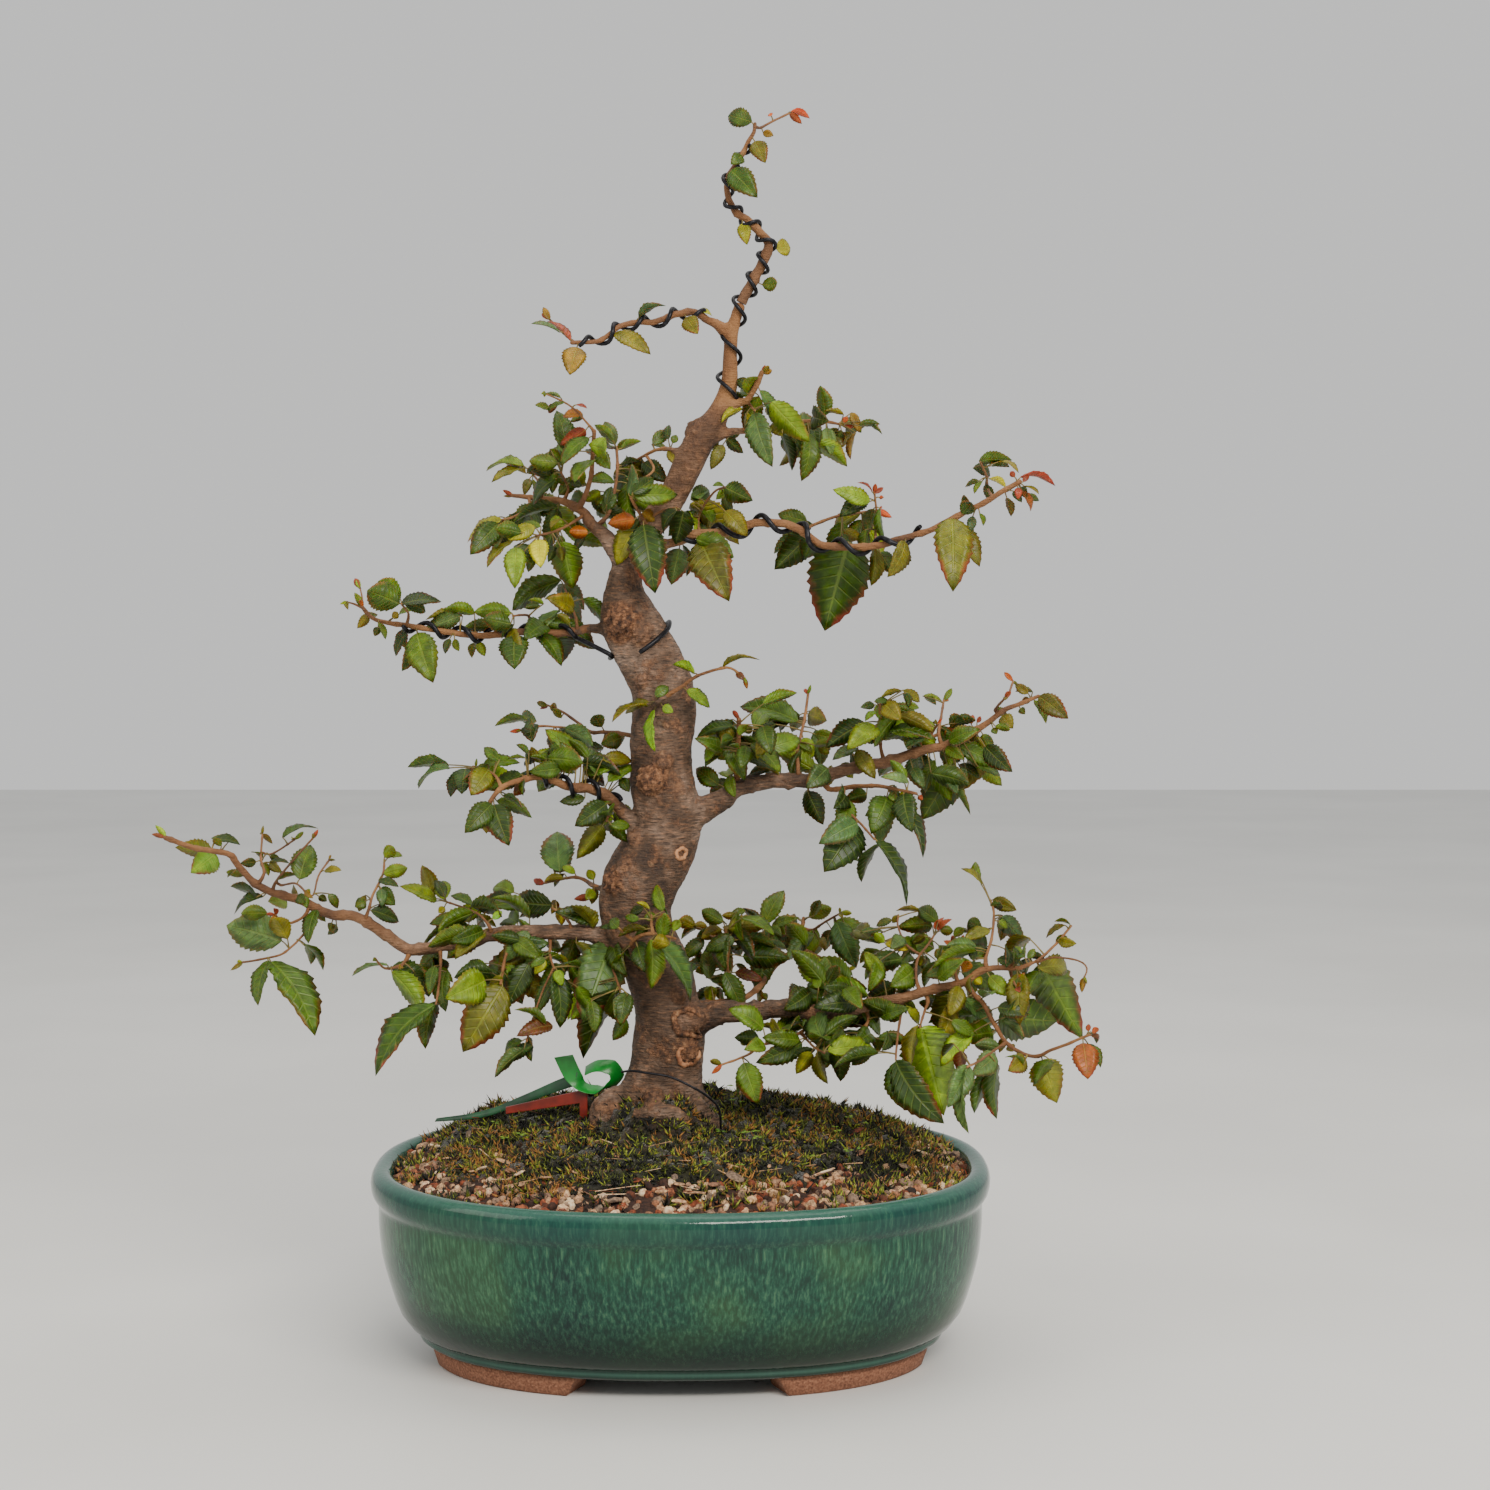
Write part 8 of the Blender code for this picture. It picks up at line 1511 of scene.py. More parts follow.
def carveBark(mesh):
    # move every point along its normal: flutes, lenticels, cork on the knots, the round scar
    spots = knotPlaces()
    scarX, scarZ = ringScar["place"]
    scarSpot = seen(scarX, scarZ, -1.35)
    youth, scar, moves = [], [], []
    for vert in mesh.vertices:
        point = (vert.co - potCentre) / cm
        lump = 0.07 * noise.noise(point * 0.8) + 0.035 * noise.noise(point * 2.4 + Vector((5, 2, 1)))
        level = 0.022 * noise.noise(Vector((point.x * 2.2, point.y * 2.2, point.z * 9.0)))
        fine = 0.012 * noise.noise(point * 9.0)
        thinness = 1 - 0.75 * ease(point.z, 38.0, 46.0)
        corky, push = 0.0, 0.0
        for spot, size, rise, cork in spots:
            near = 1 - (point - spot).length / (size * 1.45)
            if near > 0:
                near = ease(near, 0.0, 0.65)
                rough = noise.noise(point * 4.5) + 0.7 * noise.noise(point * 10.0)
                ragged = ease(near + 0.5 * noise.noise(point * 2.2), 0.25, 0.75)
                push += near * (rise * 0.3 + 0.26 * cork * rough)
                corky = max(corky, ragged * cork)
        away = (point - scarSpot).length / ringScar["radius"]
        if away < 1.6:
            push -= 0.1 * math.exp(-(away / 0.6) ** 2)
            corky = max(corky, 0.5 * (1 - ease(away, 0.8, 1.2)))
        foot = 1 - ease(point.z, 12.0, 14.0)
        push += foot * (0.1 * noise.noise(point * 1.8) + 0.06 * noise.noise(point * 5.0))
        if point.z < 12.9 and (point.x < -3.1 or point.y < -1.9):  # roots that stand clear are corky
            corky = max(corky, 0.45 * foot * ease(noise.noise(point * 1.4), -0.2, 0.3))
        moves.append(vert.co + vert.normal * ((lump + level + fine) * thinness + push) * cm)
        youth.append(0.35 * ease(point.z, trunk["youngFrom"] - 6, trunk["youngFrom"])
                     + 0.65 * ease(point.z, trunk["youngFrom"] + 2, trunk["youngTo"]))
        scar.append(corky)
    mesh.vertices.foreach_set("co", [part for move in moves for part in move])
    setAttribute(mesh, "youth", "FLOAT", youth)
    setAttribute(mesh, "scar", "FLOAT", scar)
    return shadeSmooth(mesh)


def makeCalluses(surface):
    # rolled lips of pale callus set on the bark
    for name, (x, z, radius, roll, start, finish) in calluses.items():
        draw = random.Random(len(name))
        spot = seen(x, z, 0.0)
        hit, middle, normal, index = surface.ray_cast(place(spot) - Vector((0, 0.1, 0)), Vector((0, 1, 0)))
        middle, normal = (middle - potCentre) / cm, (normal + Vector((0, -0.6, 0))).normalized()
        beside = Vector((0, 0, 1)).cross(normal).normalized()
        upward = normal.cross(beside)
        path = []
        for n in range(41):
            angle = math.radians(start + (finish - start) * n / 40)
            reach = radius * (1 + 0.12 * math.sin(2 * angle + 1) + 0.07 * math.sin(5 * angle)
                              + draw.uniform(-0.05, 0.05))
            spot = middle + (beside * math.cos(angle) + upward * 1.15 * math.sin(angle)) * reach
            hit, onBark, facing, index = surface.ray_cast(place(spot + normal), -normal)
            if hit:
                spot = (onBark - potCentre) / cm
            path.append(spot + normal * roll * 0.1)
        girths = [roll * (0.35 + 0.65 * math.sin(math.pi * n / 40) ** 0.4 if finish - start < 360 else 1.0)
                  * draw.uniform(0.8, 1.2) for n in range(41)]
        skin = bark if name == "collar_ring_scar" else callus
        mesh = chainsMesh("path", [(path, [[girth, 0.0, 1.0] for girth in girths])])
        mesh = grow(mesh, tubes, {"Sides": 10, "Material": skin})
        addPiece(name, faceOutwards(shadeSmooth(mesh)), None, "zelkova_bark", "trunk")


trunkWood = addPiece("trunk_wood", carveBark(barkMesh()), bark, "zelkova_bark", "trunk")
makeCalluses(trunkWood)
print("trunk made")


# Branches: wood

twigShape = {
    "spacing": 0.2, "sides": 9, "collar": 1.5, "collarLength": 0.9, "node": 0.25, "nodeLength": 0.12,
    "firstNode": (0.5, 1.4), "nextNode": (0.7, 1.6), "wobble": 0.22,
}


def joined(name, meshes):
    # one mesh from several that share a material
    objects = [intoScene(bpy.data.objects.new(name, mesh)) for mesh in meshes]
    with bpy.context.temp_override(active_object=objects[0], selected_editable_objects=objects):
        bpy.ops.object.join()
    mesh = objects[0].data
    bpy.data.objects.remove(objects[0])
    return mesh


def woodChain(wood, isLimb, draw):
    points, radii = list(wood["points"]), list(wood["radii"])
    if isLimb:
        points.insert(0, wood["from"].lerp(points[0], 0.35))
        radii.insert(0, radii[0])
    path, rows = rounded(points, radii, twigShape["spacing"])
    run, chain = 0.0, []
    nextNode = draw.uniform(*twigShape["firstNode"])
    for i, (point, row) in enumerate(zip(path, rows)):
        if i:
            run += (point - path[i - 1]).length
        girth = row[0]
        flare = 1.0 if isLimb else 1 + (twigShape["collar"] - 1) * (1 - ease(run, 0.0, twigShape["collarLength"]))
        swell = math.exp(-((run - nextNode) / twigShape["nodeLength"]) ** 2) * twigShape["node"]
        if run > nextNode + 0.3:
            nextNode = run + draw.uniform(*twigShape["nextNode"])
        wobble = Vector([noise.noise(point * 1.9 + Vector((9 * axis, 0, 0))) for axis in range(3)])
        wobble = wobble * girth * twigShape["wobble"]
        chain.append((point + wobble, [girth * (flare + swell) * (1 + 0.08 * noise.noise(point * 3.0)),
                                       1 - ease(girth, 0.16, 0.42), 0.0]))
    tip, row = chain[-1]
    back = (chain[-1][0] - chain[-2][0]).normalized()
    chain.append((tip + back * row[0] * 0.7, [row[0] * 0.45, row[1], 0.0]))
    return [item[0] for item in chain], [item[1] for item in chain]


# Leaves

leafColours = {
    "d": ("#38540a", "#43620c", "#304a0e"), "m": ("#57780e", "#648612", "#4c6c12"),
    "b": ("#8aaa14", "#9aba18", "#7e9e16"), "y": ("#bcb81a", "#c8c21c", "#a8ac20"),
    "o": ("#7a7a10", "#868012", "#6a6a10"), "g": ("#587a36", "#648844", "#4c7036"),
    "r": ("#b84a26", "#c65e30", "#a63f28"), "a": ("#b87018", "#c4661e", "#9c7a20"),
    "n": ("#6c3c1c", "#7c4c24", "#5c341c"),
}
leafShape = {
    "bigTeeth": 9, "smallTeeth": 6, "thickness": 0.009, "leastSolid": 1.25, "leastBig": 0.9, "endMargin": 0.12,
    "cornerReach": 0.06, "tilt": (14, 38), "companionShare": 0.8, "companionLength": (0.9, 2.4),
    "thicketLength": (1.3, 2.5), "stalkLength": 1.6, "tipLength": (0.35, 0.85),
    "stalkGirths": (0.05, 0.035, 0.032, 0.02), "stalkAge": 0.7, "stalkSides": 5,
}
# branches on which the leaves stand so apart that each was read
sparse = ("leader_shoot", "upper_left_branch", "middle_front_shoot", "apex_stub_shoot")


def leafMesh(name, teeth, seed):
    # a blade one unit long and wide with forward teeth, folded on its midrib and arched; UVs hold the distance
    # from the midrib and the count of side veins
    draw = random.Random(500 + seed)
    arch, droop = draw.uniform(0.06, 0.13), draw.uniform(0.02, 0.1)
    fold, twist, wave = draw.uniform(0.09, 0.17), draw.uniform(-0.1, 0.1), draw.uniform(0.010, 0.024)
    widest, fullness = draw.uniform(0.8, 0.93), draw.uniform(0.6, 0.72)

    def half(run):
        run = min(max(run, 0.0), 1.0)
        return 0.5 * math.sin(math.pi * run ** widest) ** fullness * (1 - 0.2 * run ** 4)

    def lift(side, run):
        ripple = wave * math.sin(run * math.pi * 5 + seed) * (2 * side) ** 2
        return (fold * abs(side) + arch * math.sin(math.pi * min(run, 1.0)) - droop * run ** 2
                + twist * side * run + ripple)

    verts, uvs, faces = [], [], []

    def add(side, run, rise, vein):
        verts.append(Vector((side, run, lift(side, run) + rise)))
        outer = max(half(run), 0.02)
        uvs.append((min(abs(side) / outer, 1.0), vein, run))
        return len(verts) - 1

    tip = add(0.0, 1.0, 0.0, teeth + 0.5)
    columns = 2 * teeth + 1
    edges = [0.02 + 0.95 * j / columns for j in range(columns)]
    roots = [max(edge - 0.4 * half(edge), 0.012 * j) for j, edge in enumerate(edges)]
    spine = [add(0.0, root, 0.0, j / 2) for j, root in enumerate(roots)]
    below = [add(0.0, root, -leafShape["thickness"] * 2, j / 2) for j, root in enumerate(roots)]
    inner, outer = [[], []], [[], []]
    for side, sign in enumerate((-1, 1)):
        for j in range(columns):
            edge = 0.02 + 0.95 * (j + (0.3 if j % 2 else -0.15)) / columns
            reach = half(edge) * (1 + (0.06 if j % 2 else -0.065) + draw.uniform(-0.015, 0.015))
            middle = roots[j] + (edge - roots[j]) * 0.55
            inner[side].append(add(sign * reach * 0.52, middle, 0.02 + (0.008 if j % 2 else -0.006), j / 2))
            outer[side].append(add(sign * reach, edge, 0.0, j / 2))
    for side in (0, 1):
        for near, far, flip in ((spine, inner[side], side == 1), (inner[side], outer[side], side == 1),
                                (below, outer[side], side == 0)):
            for j in range(columns - 1):
                face = (near[j], near[j + 1], far[j + 1], far[j])
                faces.append(face[::-1] if flip else face)
            face = (near[-1], tip, far[-1])
            faces.append(face[::-1] if flip else face)
    faces.append((outer[0][0], inner[0][0], spine[0], inner[1][0], outer[1][0], below[0]))
    mesh = meshFrom(name, verts, faces)
    for layerName, first in (("blade", 0), ("length", 2)):
        layer = mesh.uv_layers.new(name=layerName)
        for loop in mesh.loops:
            layer.data[loop.index].uv = (uvs[loop.vertex_index] + (0.0,))[first:first + 2]
    return faceOutwards(mesh)


def bladeAcross(along, roll):
    # the breadth of a blade that points along, rolled about its length, with the upper side up
    across = Vector((0, 1, 0)).cross(along).normalized()
    across = across * math.cos(roll) + along.cross(across) * math.sin(roll)
    return -across if along.cross(across).z < 0 else across


def leafPoses(branch, name, spec):
    # where each leaf hangs: its stalk's two ends and its blade's base, direction and breadth
    woods = woodsOf[name]
    solid = frame["nodes"][name].data.vertices
    corners = KDTree(len(solid))
    for vert in solid:
        corners.insert((vert.co - potCentre) / cm, vert.index)
    corners.balance()
    poses = []
    for number, (baseX, baseZ, tipX, tipZ, width, kind) in enumerate(spec["leaves"]):
        draw = random.Random(1000 * branch + number)
        seenLength = math.dist((baseX, baseZ), (tipX, tipZ))
        tilt = math.radians(draw.uniform(*leafShape["tilt"]))
        length = max(seenLength / math.cos(tilt), width / (0.62 if seenLength > 0.9 else 0.85))
        outwards = math.sqrt(max(length ** 2 - seenLength ** 2, 0.0)) * draw.choice((-1, 1))
        trueWidth = max(min(width, 0.72 * length), 0.42 * length)
        roll = math.acos(min(width / trueWidth, 1.0)) * draw.choice((-1, 1))
        lean, slip = draw.uniform(-0.5, 0.5), draw.uniform(-0.08, 0.08)
        inside = draw.uniform(leafShape["endMargin"], 3 * leafShape["endMargin"])
        nearest, i, share, distance = nearestOnWood(baseX, baseZ, woods)
        wood = woods[nearest]
        depth = wood["read"][i][2] + (wood["read"][i + 1][2] - wood["read"][i][2]) * share
        first = chosen = None
        for shift, side, spin, push in (
                (0, 1, 1, 0), (0, -1, 1, 0), (0, 1, -1, 0), (0.3, 1, 1, 0), (-0.3, 1, 1, 0), (0, -1, -1, 0.5),
                (0, 1, 1, -0.6), (0.3, -1, 1, 0.6), (-0.3, -1, 1, -0.9), (0.5, 0.5, 1, 1.0), (-0.5, 0.5, -1, -1.2)):
            stretch = (wood["points"][i + 1] - wood["points"][i]).length
            moved = min(max(share + (shift + slip) / max(stretch, 0.01), 0.0), 1.0)
            tail, radius = woodPoint(wood, i, moved, inside)
            baseDepth = depth + lean * distance + push
            base, tip = seen(baseX, baseZ, baseDepth), seen(tipX, tipZ, baseDepth + side * outwards)
            along = (tip - base).normalized()
            stalk = radius + 0.25 - (base - tail).length
            if stalk > 0:
                base = base + along * stalk
            across = bladeAcross(along, spin * roll)
            along = (tip - base).normalized()
            pose = {"tail": tail, "base": base, "tip": tip, "across": across, "width": trueWidth, "kind": kind,
                    "area": seenLength * width}
            first = first or pose
            end = tip - along.cross(across).normalized() * 0.04 * (tip - base).length
            if pose["area"] < leafShape["leastSolid"]:
                break
            if corners.find(end)[2] < leafShape["cornerReach"]:
                chosen = pose
                break
        poses.append(chosen or first)
    return poses


def companions(branch, name, poses):
    # leaves that stand behind or beside the ones that were read, as they do on dense twigs
    draw = random.Random(300 + branch)
    added = []
    for pose in poses:
        if name in sparse or draw.random() > leafShape["companionShare"] or pose["kind"][0] == "r":
            continue
        along = pose["tip"] - pose["base"]
        shortest, longest = leafShape["companionLength"]
        length = min(max(along.length * draw.uniform(0.6, 0.95), shortest), longest)
        turn = Matrix.Rotation(draw.choice((-1, 1)) * draw.uniform(0.35, 0.95), 3, "Y")
        turned = turn @ along.normalized() + Vector((0, draw.uniform(-0.35, 0.5), draw.uniform(-0.25, 0.15)))
        base = pose["base"] + Vector((draw.uniform(-0.35, 0.35), draw.uniform(0.3, 1.5) * draw.choice((1, 1, -0.5)),
                                      draw.uniform(-0.3, 0.3)))
        turned.normalize()
        across = bladeAcross(turned, draw.uniform(-1.0, 1.0))
        added.append({"tail": pose["tail"], "base": base, "tip": base + turned * length, "across": across,
                      "width": length * draw.uniform(0.45, 0.58), "kind": draw.choice("dddmmog"),
                      "area": length * length * 0.5})
    return added


# Where the foliage closes up, as read: middle x and z, half width and half height, how many more leaves
thickets = {
    "middle_right_branch": [
        (5.3, 30.0, 3.2, 1.6, 20), (11.3, 30.3, 3.2, 1.4, 20), (13.8, 29.0, 2.2, 1.3, 10),
        (3.0, 29.4, 1.6, 1.3, 8), (9.6, 27.6, 1.8, 0.8, 5)],
    "lower_right_branch": [
        (10.6, 19.1, 3.8, 1.4, 26), (9.4, 15.7, 2.0, 1.2, 12), (6.4, 15.3, 2.7, 1.0, 14),
        (16.6, 19.6, 2.7, 1.2, 12), (14.8, 16.6, 1.8, 1.6, 9), (7.8, 17.6, 2.2, 0.8, 8)],
    "rear_right_branch": [
        (1.7, 19.5, 1.5, 1.8, 14), (4.4, 20.3, 1.7, 1.2, 10), (6.8, 20.5, 1.7, 1.1, 8)],
    "neck_left_branch": [
        (-4.6, 43.6, 2.2, 1.6, 18), (-5.8, 41.3, 2.7, 1.1, 14), (-2.4, 43.2, 1.3, 1.5, 8)],
    "apex_right_branch": [(6.4, 45.9, 2.0, 0.9, 12)],
    "apex_stub_shoot": [(3.6, 47.3, 0.8, 0.9, 5)],
    "lower_middle_left_branch": [
        (-4.4, 29.2, 2.0, 1.2, 14), (-8.2, 28.8, 2.0, 0.9, 9), (-3.4, 27.0, 0.9, 0.8, 4)],
    "lower_left_branch": [
        (-7.0, 19.4, 3.4, 1.1, 18), (-8.8, 21.2, 3.2, 0.9, 12), (-3.9, 17.0, 1.2, 1.6, 7),
        (-12.6, 19.0, 1.4, 0.9, 5)],
    "middle_left_branch": [(-7.4, 36.2, 2.2, 0.7, 8), (-5.4, 36.9, 1.0, 0.8, 4)],
    "upper_right_branch": [(1.2, 41.6, 1.2, 0.9, 6), (9.2, 41.4, 1.2, 0.7, 4)],
}


def thicketPoses(branch, name):
    # the leaves that close the pads, each on a stalk from the nearest wood
    draw = random.Random(700 + branch)
    woods, added = woodsOf[name], []
    for x, z, halfWidth, halfHeight, count in thickets.get(name, ()):
        for n in range(count):
            angle, reach = draw.uniform(0, math.tau), math.sqrt(draw.uniform(0, 1))
            baseX, baseZ = x + halfWidth * reach * math.cos(angle), z + halfHeight * reach * math.sin(angle)
            number, i, share, distance = nearestOnWood(baseX, baseZ, woods)
            wood = woods[number]
            tail, radius = woodPoint(wood, i, share)
            at = wood["read"][i][2] + (wood["read"][i + 1][2] - wood["read"][i][2]) * share
            base = seen(baseX, baseZ, at + draw.uniform(-0.7, 1.6))
            if (base - tail).length > leafShape["stalkLength"]:
                base = tail + (base - tail).normalized() * leafShape["stalkLength"]
            away = (base - tail).normalized() if (base - tail).length > 0.05 else Vector((0, -1, 0))
            sway = Vector((draw.uniform(-1, 1), draw.uniform(-0.7, 0.7), draw.uniform(-1.0, 0.35)))
            along = (away * 0.7 + sway).normalized()
            length = draw.uniform(*leafShape["thicketLength"])
            across = bladeAcross(along, draw.uniform(-0.9, 0.9))
            added.append({"tail": tail, "base": base, "tip": base + along * length, "across": across,
                          "width": length * draw.uniform(0.46, 0.6), "kind": draw.choice("dddmmmmogb"),
                          "area": length})
    return added


def tipPoses(branch, name, poses):
    # two or three young leaves, some still red, where a twig ends without a leaf
    draw = random.Random(1100 + branch)
    added = []
    for wood in woodsOf[name]:
        end = wood["points"][-1]
        if any((pose["base"] - end).length < 0.45 for pose in poses):
            continue
        ahead = (end - wood["points"][-2]).normalized()
        for n in range(draw.choice((2, 3))):
            along = (ahead + Vector([draw.uniform(-0.8, 0.8) for axis in range(3)])).normalized()
            length = draw.uniform(*leafShape["tipLength"])
            across = Vector((0, 1, 0)).cross(along)
            across = (across if across.length > 0.1 else Vector((1, 0, 0))).normalized()
            if along.cross(across).z < 0:
                across = -across
            base = end - ahead * 0.04
            added.append({"tail": end - ahead * 0.1, "base": base, "tip": base + along * length, "across": across,
                          "width": length * draw.uniform(0.3, 0.46), "kind": draw.choice("raorbmo"), "area": 0.1})
    return added


def foliageMesh(branch, poses, shapes):
    draw = random.Random(90 + branch)
    spots, turns, sizes, variants, tints, rims = [], [], [], [], [], []
    for pose in poses:
        along = pose["tip"] - pose["base"]
        length = along.length
        along.normalize()
        normal = along.cross(pose["across"]).normalized()
        across = along.cross(normal)
        turned = Matrix((across, along, normal)).transposed().to_euler("XYZ")
        big = pose["area"] >= leafShape["leastBig"]
        spots.append(place(pose["base"]))
        turns.append(tuple(turned))
        sizes.append((pose["width"] * cm, length * cm, length * cm))
        variants.append(draw.randrange(6) if big else 6 + draw.randrange(4))
        colour = linear(draw.choice(leafColours[pose["kind"][0]]))
        shade = draw.uniform(0.82, 1.2)
        tints.append([min(c * shade * draw.uniform(0.94, 1.06), 1.0) for c in colour[:3]] + [1.0])
        rims.append(0.95 if "+" in pose["kind"] else draw.choice((0.0, 0.15, 0.45)))
    mesh = spotsMesh(spots, turns, sizes, variants)
    setAttribute(mesh, "tint", "FLOAT_COLOR", tints)
    setAttribute(mesh, "rim", "FLOAT", rims)
    return grow(mesh, placedShapes, {"Shapes": shapes, "Material": leafSkin})


leafShapes = collect("leaf", [leafMesh("leaf", leafShape["bigTeeth"], seed) for seed in range(6)]
                     + [leafMesh("leaf", leafShape["smallTeeth"], 20 + seed) for seed in range(4)])
for branch, (name, spec) in enumerate(branches.items()):
    draw = random.Random(70 + branch)
    poses = leafPoses(branch, name, spec)
    poses += companions(branch, name, poses) + thicketPoses(branch, name)
    poses += tipPoses(branch, name, poses)
    chains = [woodChain(wood, number == 0, draw) for number, wood in enumerate(woodsOf[name])]
    stalks = []
    for pose in poses:
        stalk = [pose["tail"], pose["tail"].lerp(pose["base"], 0.5) + Vector((0, 0, 0.04)), pose["base"],
                 pose["base"].lerp(pose["tip"], 0.06)]
        stalks.append(rounded(stalk, leafShape["stalkGirths"], 0.3, extra=([leafShape["stalkAge"]] * 4, [0.0] * 4)))
    wood = joined(name, [grow(chainsMesh("path", chains), tubes, {"Sides": twigShape["sides"], "Material": bark}),
                         grow(chainsMesh("path", stalks), tubes,
                              {"Sides": leafShape["stalkSides"], "Material": stalkSkin})])
    addPiece(name + "_wood", faceOutwards(shadeSmooth(wood)), None, "zelkova_bark", name)
    addPiece(name + "_foliage", foliageMesh(branch, poses, leafShapes), None, "zelkova_leaves", name)
discard(leafShapes)
print("branches and leaves made")


# Training wires: anodised aluminium, 2.0 to 2.6 mm thick

wire = {"gap": 0.03, "perTurn": 14, "spacing": 0.14, "sides": 12, "endGirth": 0.8}
# the branch each trains, the stretch of its limb in parts of its length, the rise of the first and the last turn,
# its first angle, which way it winds, its radius
wires = {
    "wire_leader": ("leader_shoot", 0.03, 0.9, 2.1, 1.15, 15, -1, 0.1),
    "wire_upper_left": ("upper_left_branch", 0.12, 0.97, 1.6, 1.6, 40, -1, 0.11),
    "wire_upper_right": ("upper_right_branch", 0.04, 0.72, 2.3, 2.1, 0, 1, 0.13),
    "wire_middle_left": ("middle_left_branch", 0.06, 0.82, 1.7, 1.7, 180, 1, 0.12),
    "wire_lower_middle_left": ("lower_middle_left_branch", 0.1, 0.72, 1.5, 1.5, 0, 1, 0.12),
}
leaderWireHeights = [47.2, 47.8, 48.5, 49.2, 50.2, 51.2, 51.9]
# the run round the trunk: height as read and turn in degrees
trunkWrap = [(34.7, -97), (35.0, -80), (35.4, -58), (35.85, -30), (36.2, 0), (36.1, 30), (35.8, 60), (35.4, 90),
             (35.0, 120), (34.6, 150), (34.4, 178), (34.6, 200)]


def spanAt(lengths, run):
    # the span of a path in which a run ends, and how far into it
    i = max(k for k in range(len(lengths) - 1) if lengths[k] <= run or k == 0)
    return i, (run - lengths[i]) / (lengths[i + 1] - lengths[i])


def stretchOf(limb, start, end):
    points, radii = limb["points"], limb["radii"]
    lengths = runsAlong(points)
    low, high = start * lengths[-1], end * lengths[-1]
    ends = []
    for run in (low, high):
        i, share = spanAt(lengths, run)
        ends.append(points[i].lerp(points[i + 1], share))
    kept = [k for k in range(len(points)) if low < lengths[k] < high]
    return ([ends[0]] + [points[k] for k in kept] + [ends[1]],
            [radii[kept[0]]] + [radii[k] for k in kept] + [radii[kept[-1]]])


def coil(centres, radii, startAngle, rises, hand, girth):
    # a wire wound on a path: so many points to each turn, and the rise of a turn changes along the way
    frames = framesAlong(centres)
    lengths = runsAlong(centres)
    points, run, n = [], 0.0, 0
    while run < lengths[-1]:
        i, share = spanAt(lengths, run)
        across = frames[i][1].lerp(frames[i + 1][1], share).normalized()
        beside = frames[i][2].lerp(frames[i + 1][2], share).normalized()
        reach = (radii[i] + (radii[i + 1] - radii[i]) * share) * 1.1 + girth + wire["gap"]
        angle = startAngle + hand * math.tau * n / wire["perTurn"]
        points.append(centres[i].lerp(centres[i + 1], share)
                      + (across * math.cos(angle) + beside * math.sin(angle)) * reach)
        run += (rises[0] + (rises[1] - rises[0]) * ease(run / lengths[-1], 0.15, 0.5)) / wire["perTurn"]
        n += 1
    return points


def wireMesh(points, girth, spacing, sides, endGirth):
    path, rows = rounded(points, [girth] * len(points), spacing)
    rows[0] = rows[-1] = [girth * endGirth]
    mesh = grow(chainsMesh("path", [(path, rows)]), tubes, {"Sides": sides, "Material": wireMetal})
    return faceOutwards(shadeSmooth(mesh, quadsOnly=True))


for name, (branch, start, end, firstRise, lastRise, degrees, hand, girth) in wires.items():
    centres, radii = stretchOf(woodsOf[branch][0], start, end)
    if name == "wire_leader":
        below = [trunkAt(height) for height in leaderWireHeights]
        centres = [middle for middle, radius, along in below] + centres
        radii = [radius for middle, radius, along in below] + radii
    points = coil(centres, radii, math.radians(degrees), (firstRise, lastRise), hand, girth)
    if name == "wire_middle_left":
        wrap = []
        for height, turn in trunkWrap:
            middle, radius, along = trunkAt(height)
            angle = math.radians(turn)
            reach = radius * 1.16 + girth + wire["gap"]
            wrap.append(middle + Vector((math.cos(angle), math.sin(angle), 0)) * reach)
        points = wrap + points
    mesh = wireMesh(points, girth, wire["spacing"], wire["sides"], wire["endGirth"])
    addPiece(name + "_coil", mesh, None, "anodised_wire", name)
print("wires made")


# Label, strap and tie wire

tag = {
    "depth": 0.8, "labelHalf": 0.08, "strapThickness": 0.05, "tieRadius": 0.06, "tieSpacing": 0.12, "tieSides": 10,
}
# the strap's middle line as read: x, z and how far behind the label's middle; then the band's breadth there
strapLoop = [(-5.95, 14.35, 0.0), (-5.45, 13.3, 0.0), (-5.0, 12.8, 0.0), (-4.3, 12.65, 0.0), (-3.6, 12.85, 0.0),
             (-3.25, 13.35, 0.0), (-3.6, 13.8, 0.0), (-4.3, 13.85, 0.0), (-4.85, 13.6, 0.3)]
strapAcross = [(0.95, 0.0, 0.15), (0.9, 0.3, 0.1), (0.35, 0.8, 0.25), (0.1, 0.85, 0.3), (0.3, 0.75, -0.4),
               (0.7, 0.55, 0.0), (0.5, 0.6, 0.55), (0.1, 0.8, 0.45), (0.0, 0.85, 0.3)]
strapTail = [(-5.3, 13.2, 0.0), (-6.5, 12.75, 0.5), (-8.0, 12.15, 1.2), (-10.0, 11.4, 2.2), (-12.4, 11.1, 3.2)]
strapTailHeights = [0.7, 0.6, 0.45, 0.35, 0.15]


def ribbonMesh(name, points, widths, thickness):
    path, rows = rounded(points, [width.x for width in widths], 0.15,
                         extra=([width.y for width in widths], [width.z for width in widths]))
    rings = []
    for point, row, turned in zip(path, rows, framesAlong(path)):
        width = Vector(row)
        normal = turned[0].cross(width).normalized() * thickness / 2
        half = width / 2
        rings.append([point - half - normal * 0.3, point - half * 0.94 - normal, point + half * 0.94 - normal,
                      point + half - normal * 0.3, point + half + normal * 0.3, point + half * 0.94 + normal,
                      point - half * 0.94 + normal, point - half + normal * 0.3])
    return ringsMesh(name, rings, path[0], path[-1])


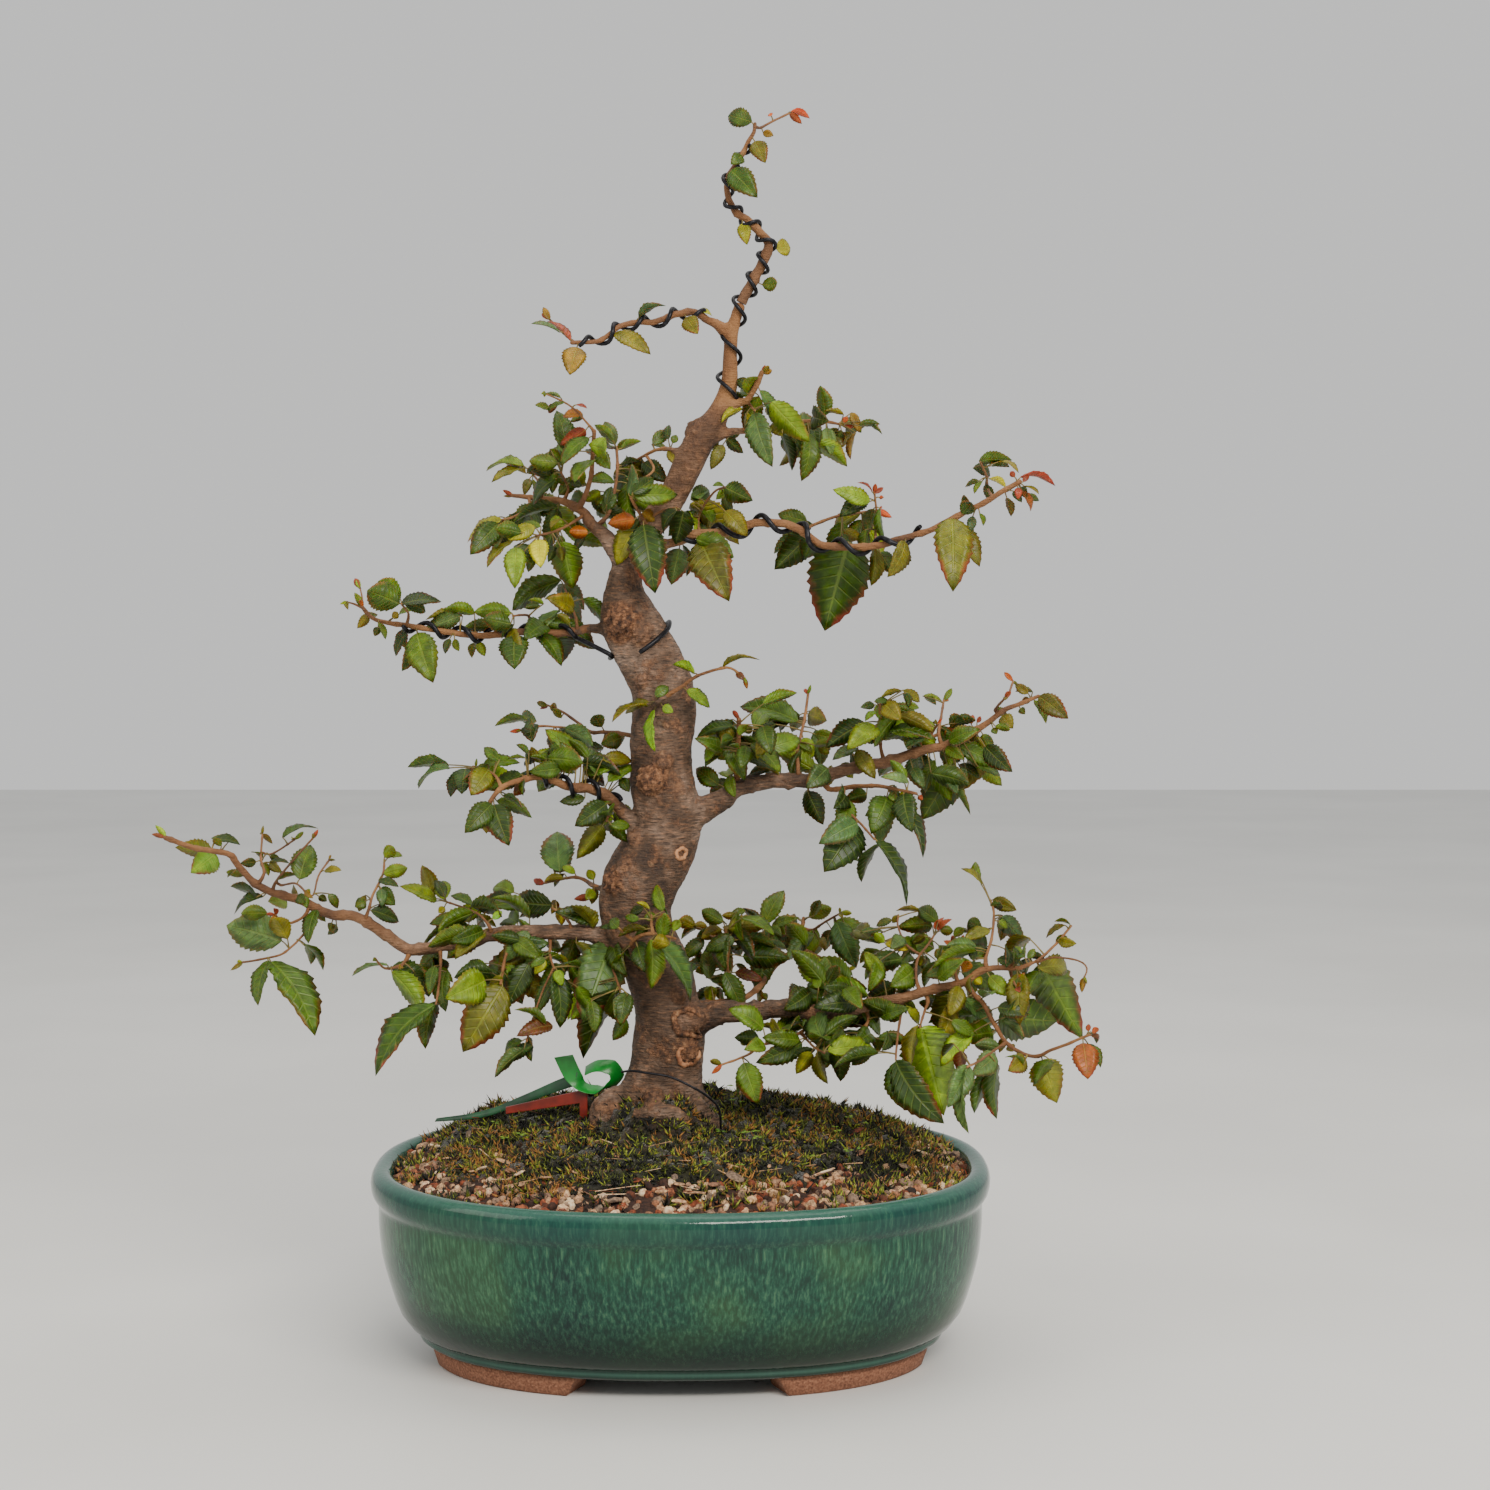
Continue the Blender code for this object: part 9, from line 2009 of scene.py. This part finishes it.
def makeTag():
    loop = [seen(x, z, tag["depth"] + y) for x, z, y in strapLoop]
    tail = [seen(x, z, tag["depth"] + y) for x, z, y in strapTail]
    widths = [Vector((0.1, 0.1, height)) for height in strapTailHeights]
    first = ribbonMesh("strap", loop, [Vector(width) for width in strapAcross], tag["strapThickness"])
    second = ribbonMesh("strap", tail, widths, tag["strapThickness"])
    addPiece("tag_strap_loop", first, strapPlastic, "green_strap", "tag_strap")
    # the tail gets the painted-shade copy of the strap's green
    addPiece("tag_strap_tail", second, strapShade, "green_strap", "tag_strap")
    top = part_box("plant_label")[1].z / cm
    outline = [(-8.95, 11.75), (-5.2, 12.3), (-5.2, 10.93), (-4.8, 10.93), (-4.8, top), (-5.2, top), (-8.95, 12.1)]
    faceDepths = (tag["depth"] - tag["labelHalf"], tag["depth"] + tag["labelHalf"])
    verts = [place((x, y, z)) for y in faceDepths for x, z in outline]
    count = len(outline)
    faces = [tuple(range(count)), tuple(reversed(range(count, 2 * count)))]
    faces += [(i, i + count, (i + 1) % count + count, (i + 1) % count) for i in range(count)]
    plate = addPiece("plant_label_plate", faceOutwards(meshFrom("plate", verts, faces, smooth=False)), labelPlastic,
                     "red_label", "plant_label")
    bevel = plate.modifiers.new("edges", "BEVEL")
    bevel.width, bevel.segments = 0.0003, 2
    readings = [(-3.0, 13.55, -1.2), (-2.5, 13.6, -1.95), (-1.8, 13.5, -2.3), (-0.6, 13.3, -2.35),
                (0.5, 12.8, -2.35), (1.3, 12.3, -2.2), (1.9, 11.6, -1.9)]
    points = [seen(*item) for item in readings] + [Vector((2.0, -1.7, 10.93))]
    mesh = wireMesh(points, tag["tieRadius"], tag["tieSpacing"], tag["tieSides"], 1.0)
    addPiece("tie_wire_strand", mesh, None, "anodised_wire", "tie_wire")


makeTag()
print("label, strap and tie made")


# Floor, light

studio = {
    "floorSize": 4.0, "floorTones": ("#d4d4d1", "#dcdcd9"), "world": "#f1f1f0", "worldStrength": 0.85,
    "lightColour": "#fff8ee",
    # name, watts, width, height, place, aim
    "lights": [
        ("key", 48.0, 1.5, 0.4, (0.75, -1.6, 1.45), (0, 0, 0.25)),
        ("top", 14.0, 1.4, 1.4, (0.2, 0.2, 2.0), (0, 0, 0.2)),
        ("fill", 8.0, 1.0, 1.0, (-1.4, -0.8, 1.1), (0, 0, 0.3))],
}


def makeStudio():
    made, tree, where = newMaterial("painted floor")
    cloud = addNode(tree, "TexNoise", {"Scale": 3.0, "Detail": 3.0}, Vector=where)
    colour = addNode(tree, "ValToRGB", {"stops": list(zip((0.35, 0.65), studio["floorTones"]))}, Fac=cloud)
    size = studio["floorSize"]
    corners = [(-size, -size, 0), (size, -size, 0), (size, size, 0), (-size, size, 0)]
    floor = intoScene(bpy.data.objects.new("floor", meshFrom("floor", corners, [(0, 1, 2, 3)])))
    floor.data.materials.append(dress(made, colour, {"Roughness": 0.55}))
    for name, energy, width, height, spot, aim in studio["lights"]:
        light = bpy.data.lights.new(name, "AREA")
        light.shape, light.energy, light.size, light.size_y = "RECTANGLE", energy, width, height
        light.color = linear(studio["lightColour"])[:3]
        lamp = intoScene(bpy.data.objects.new(name, light))
        lamp.location = spot
        lamp.rotation_euler = (Vector(aim) - Vector(spot)).to_track_quat("-Z", "Y").to_euler()
    world = bpy.data.worlds.new("studio")
    world.use_nodes = True
    background = world.node_tree.nodes["Background"]
    background.inputs[0].default_value = linear(studio["world"])
    background.inputs[1].default_value = studio["worldStrength"]
    bpy.context.scene.world = world


makeStudio()
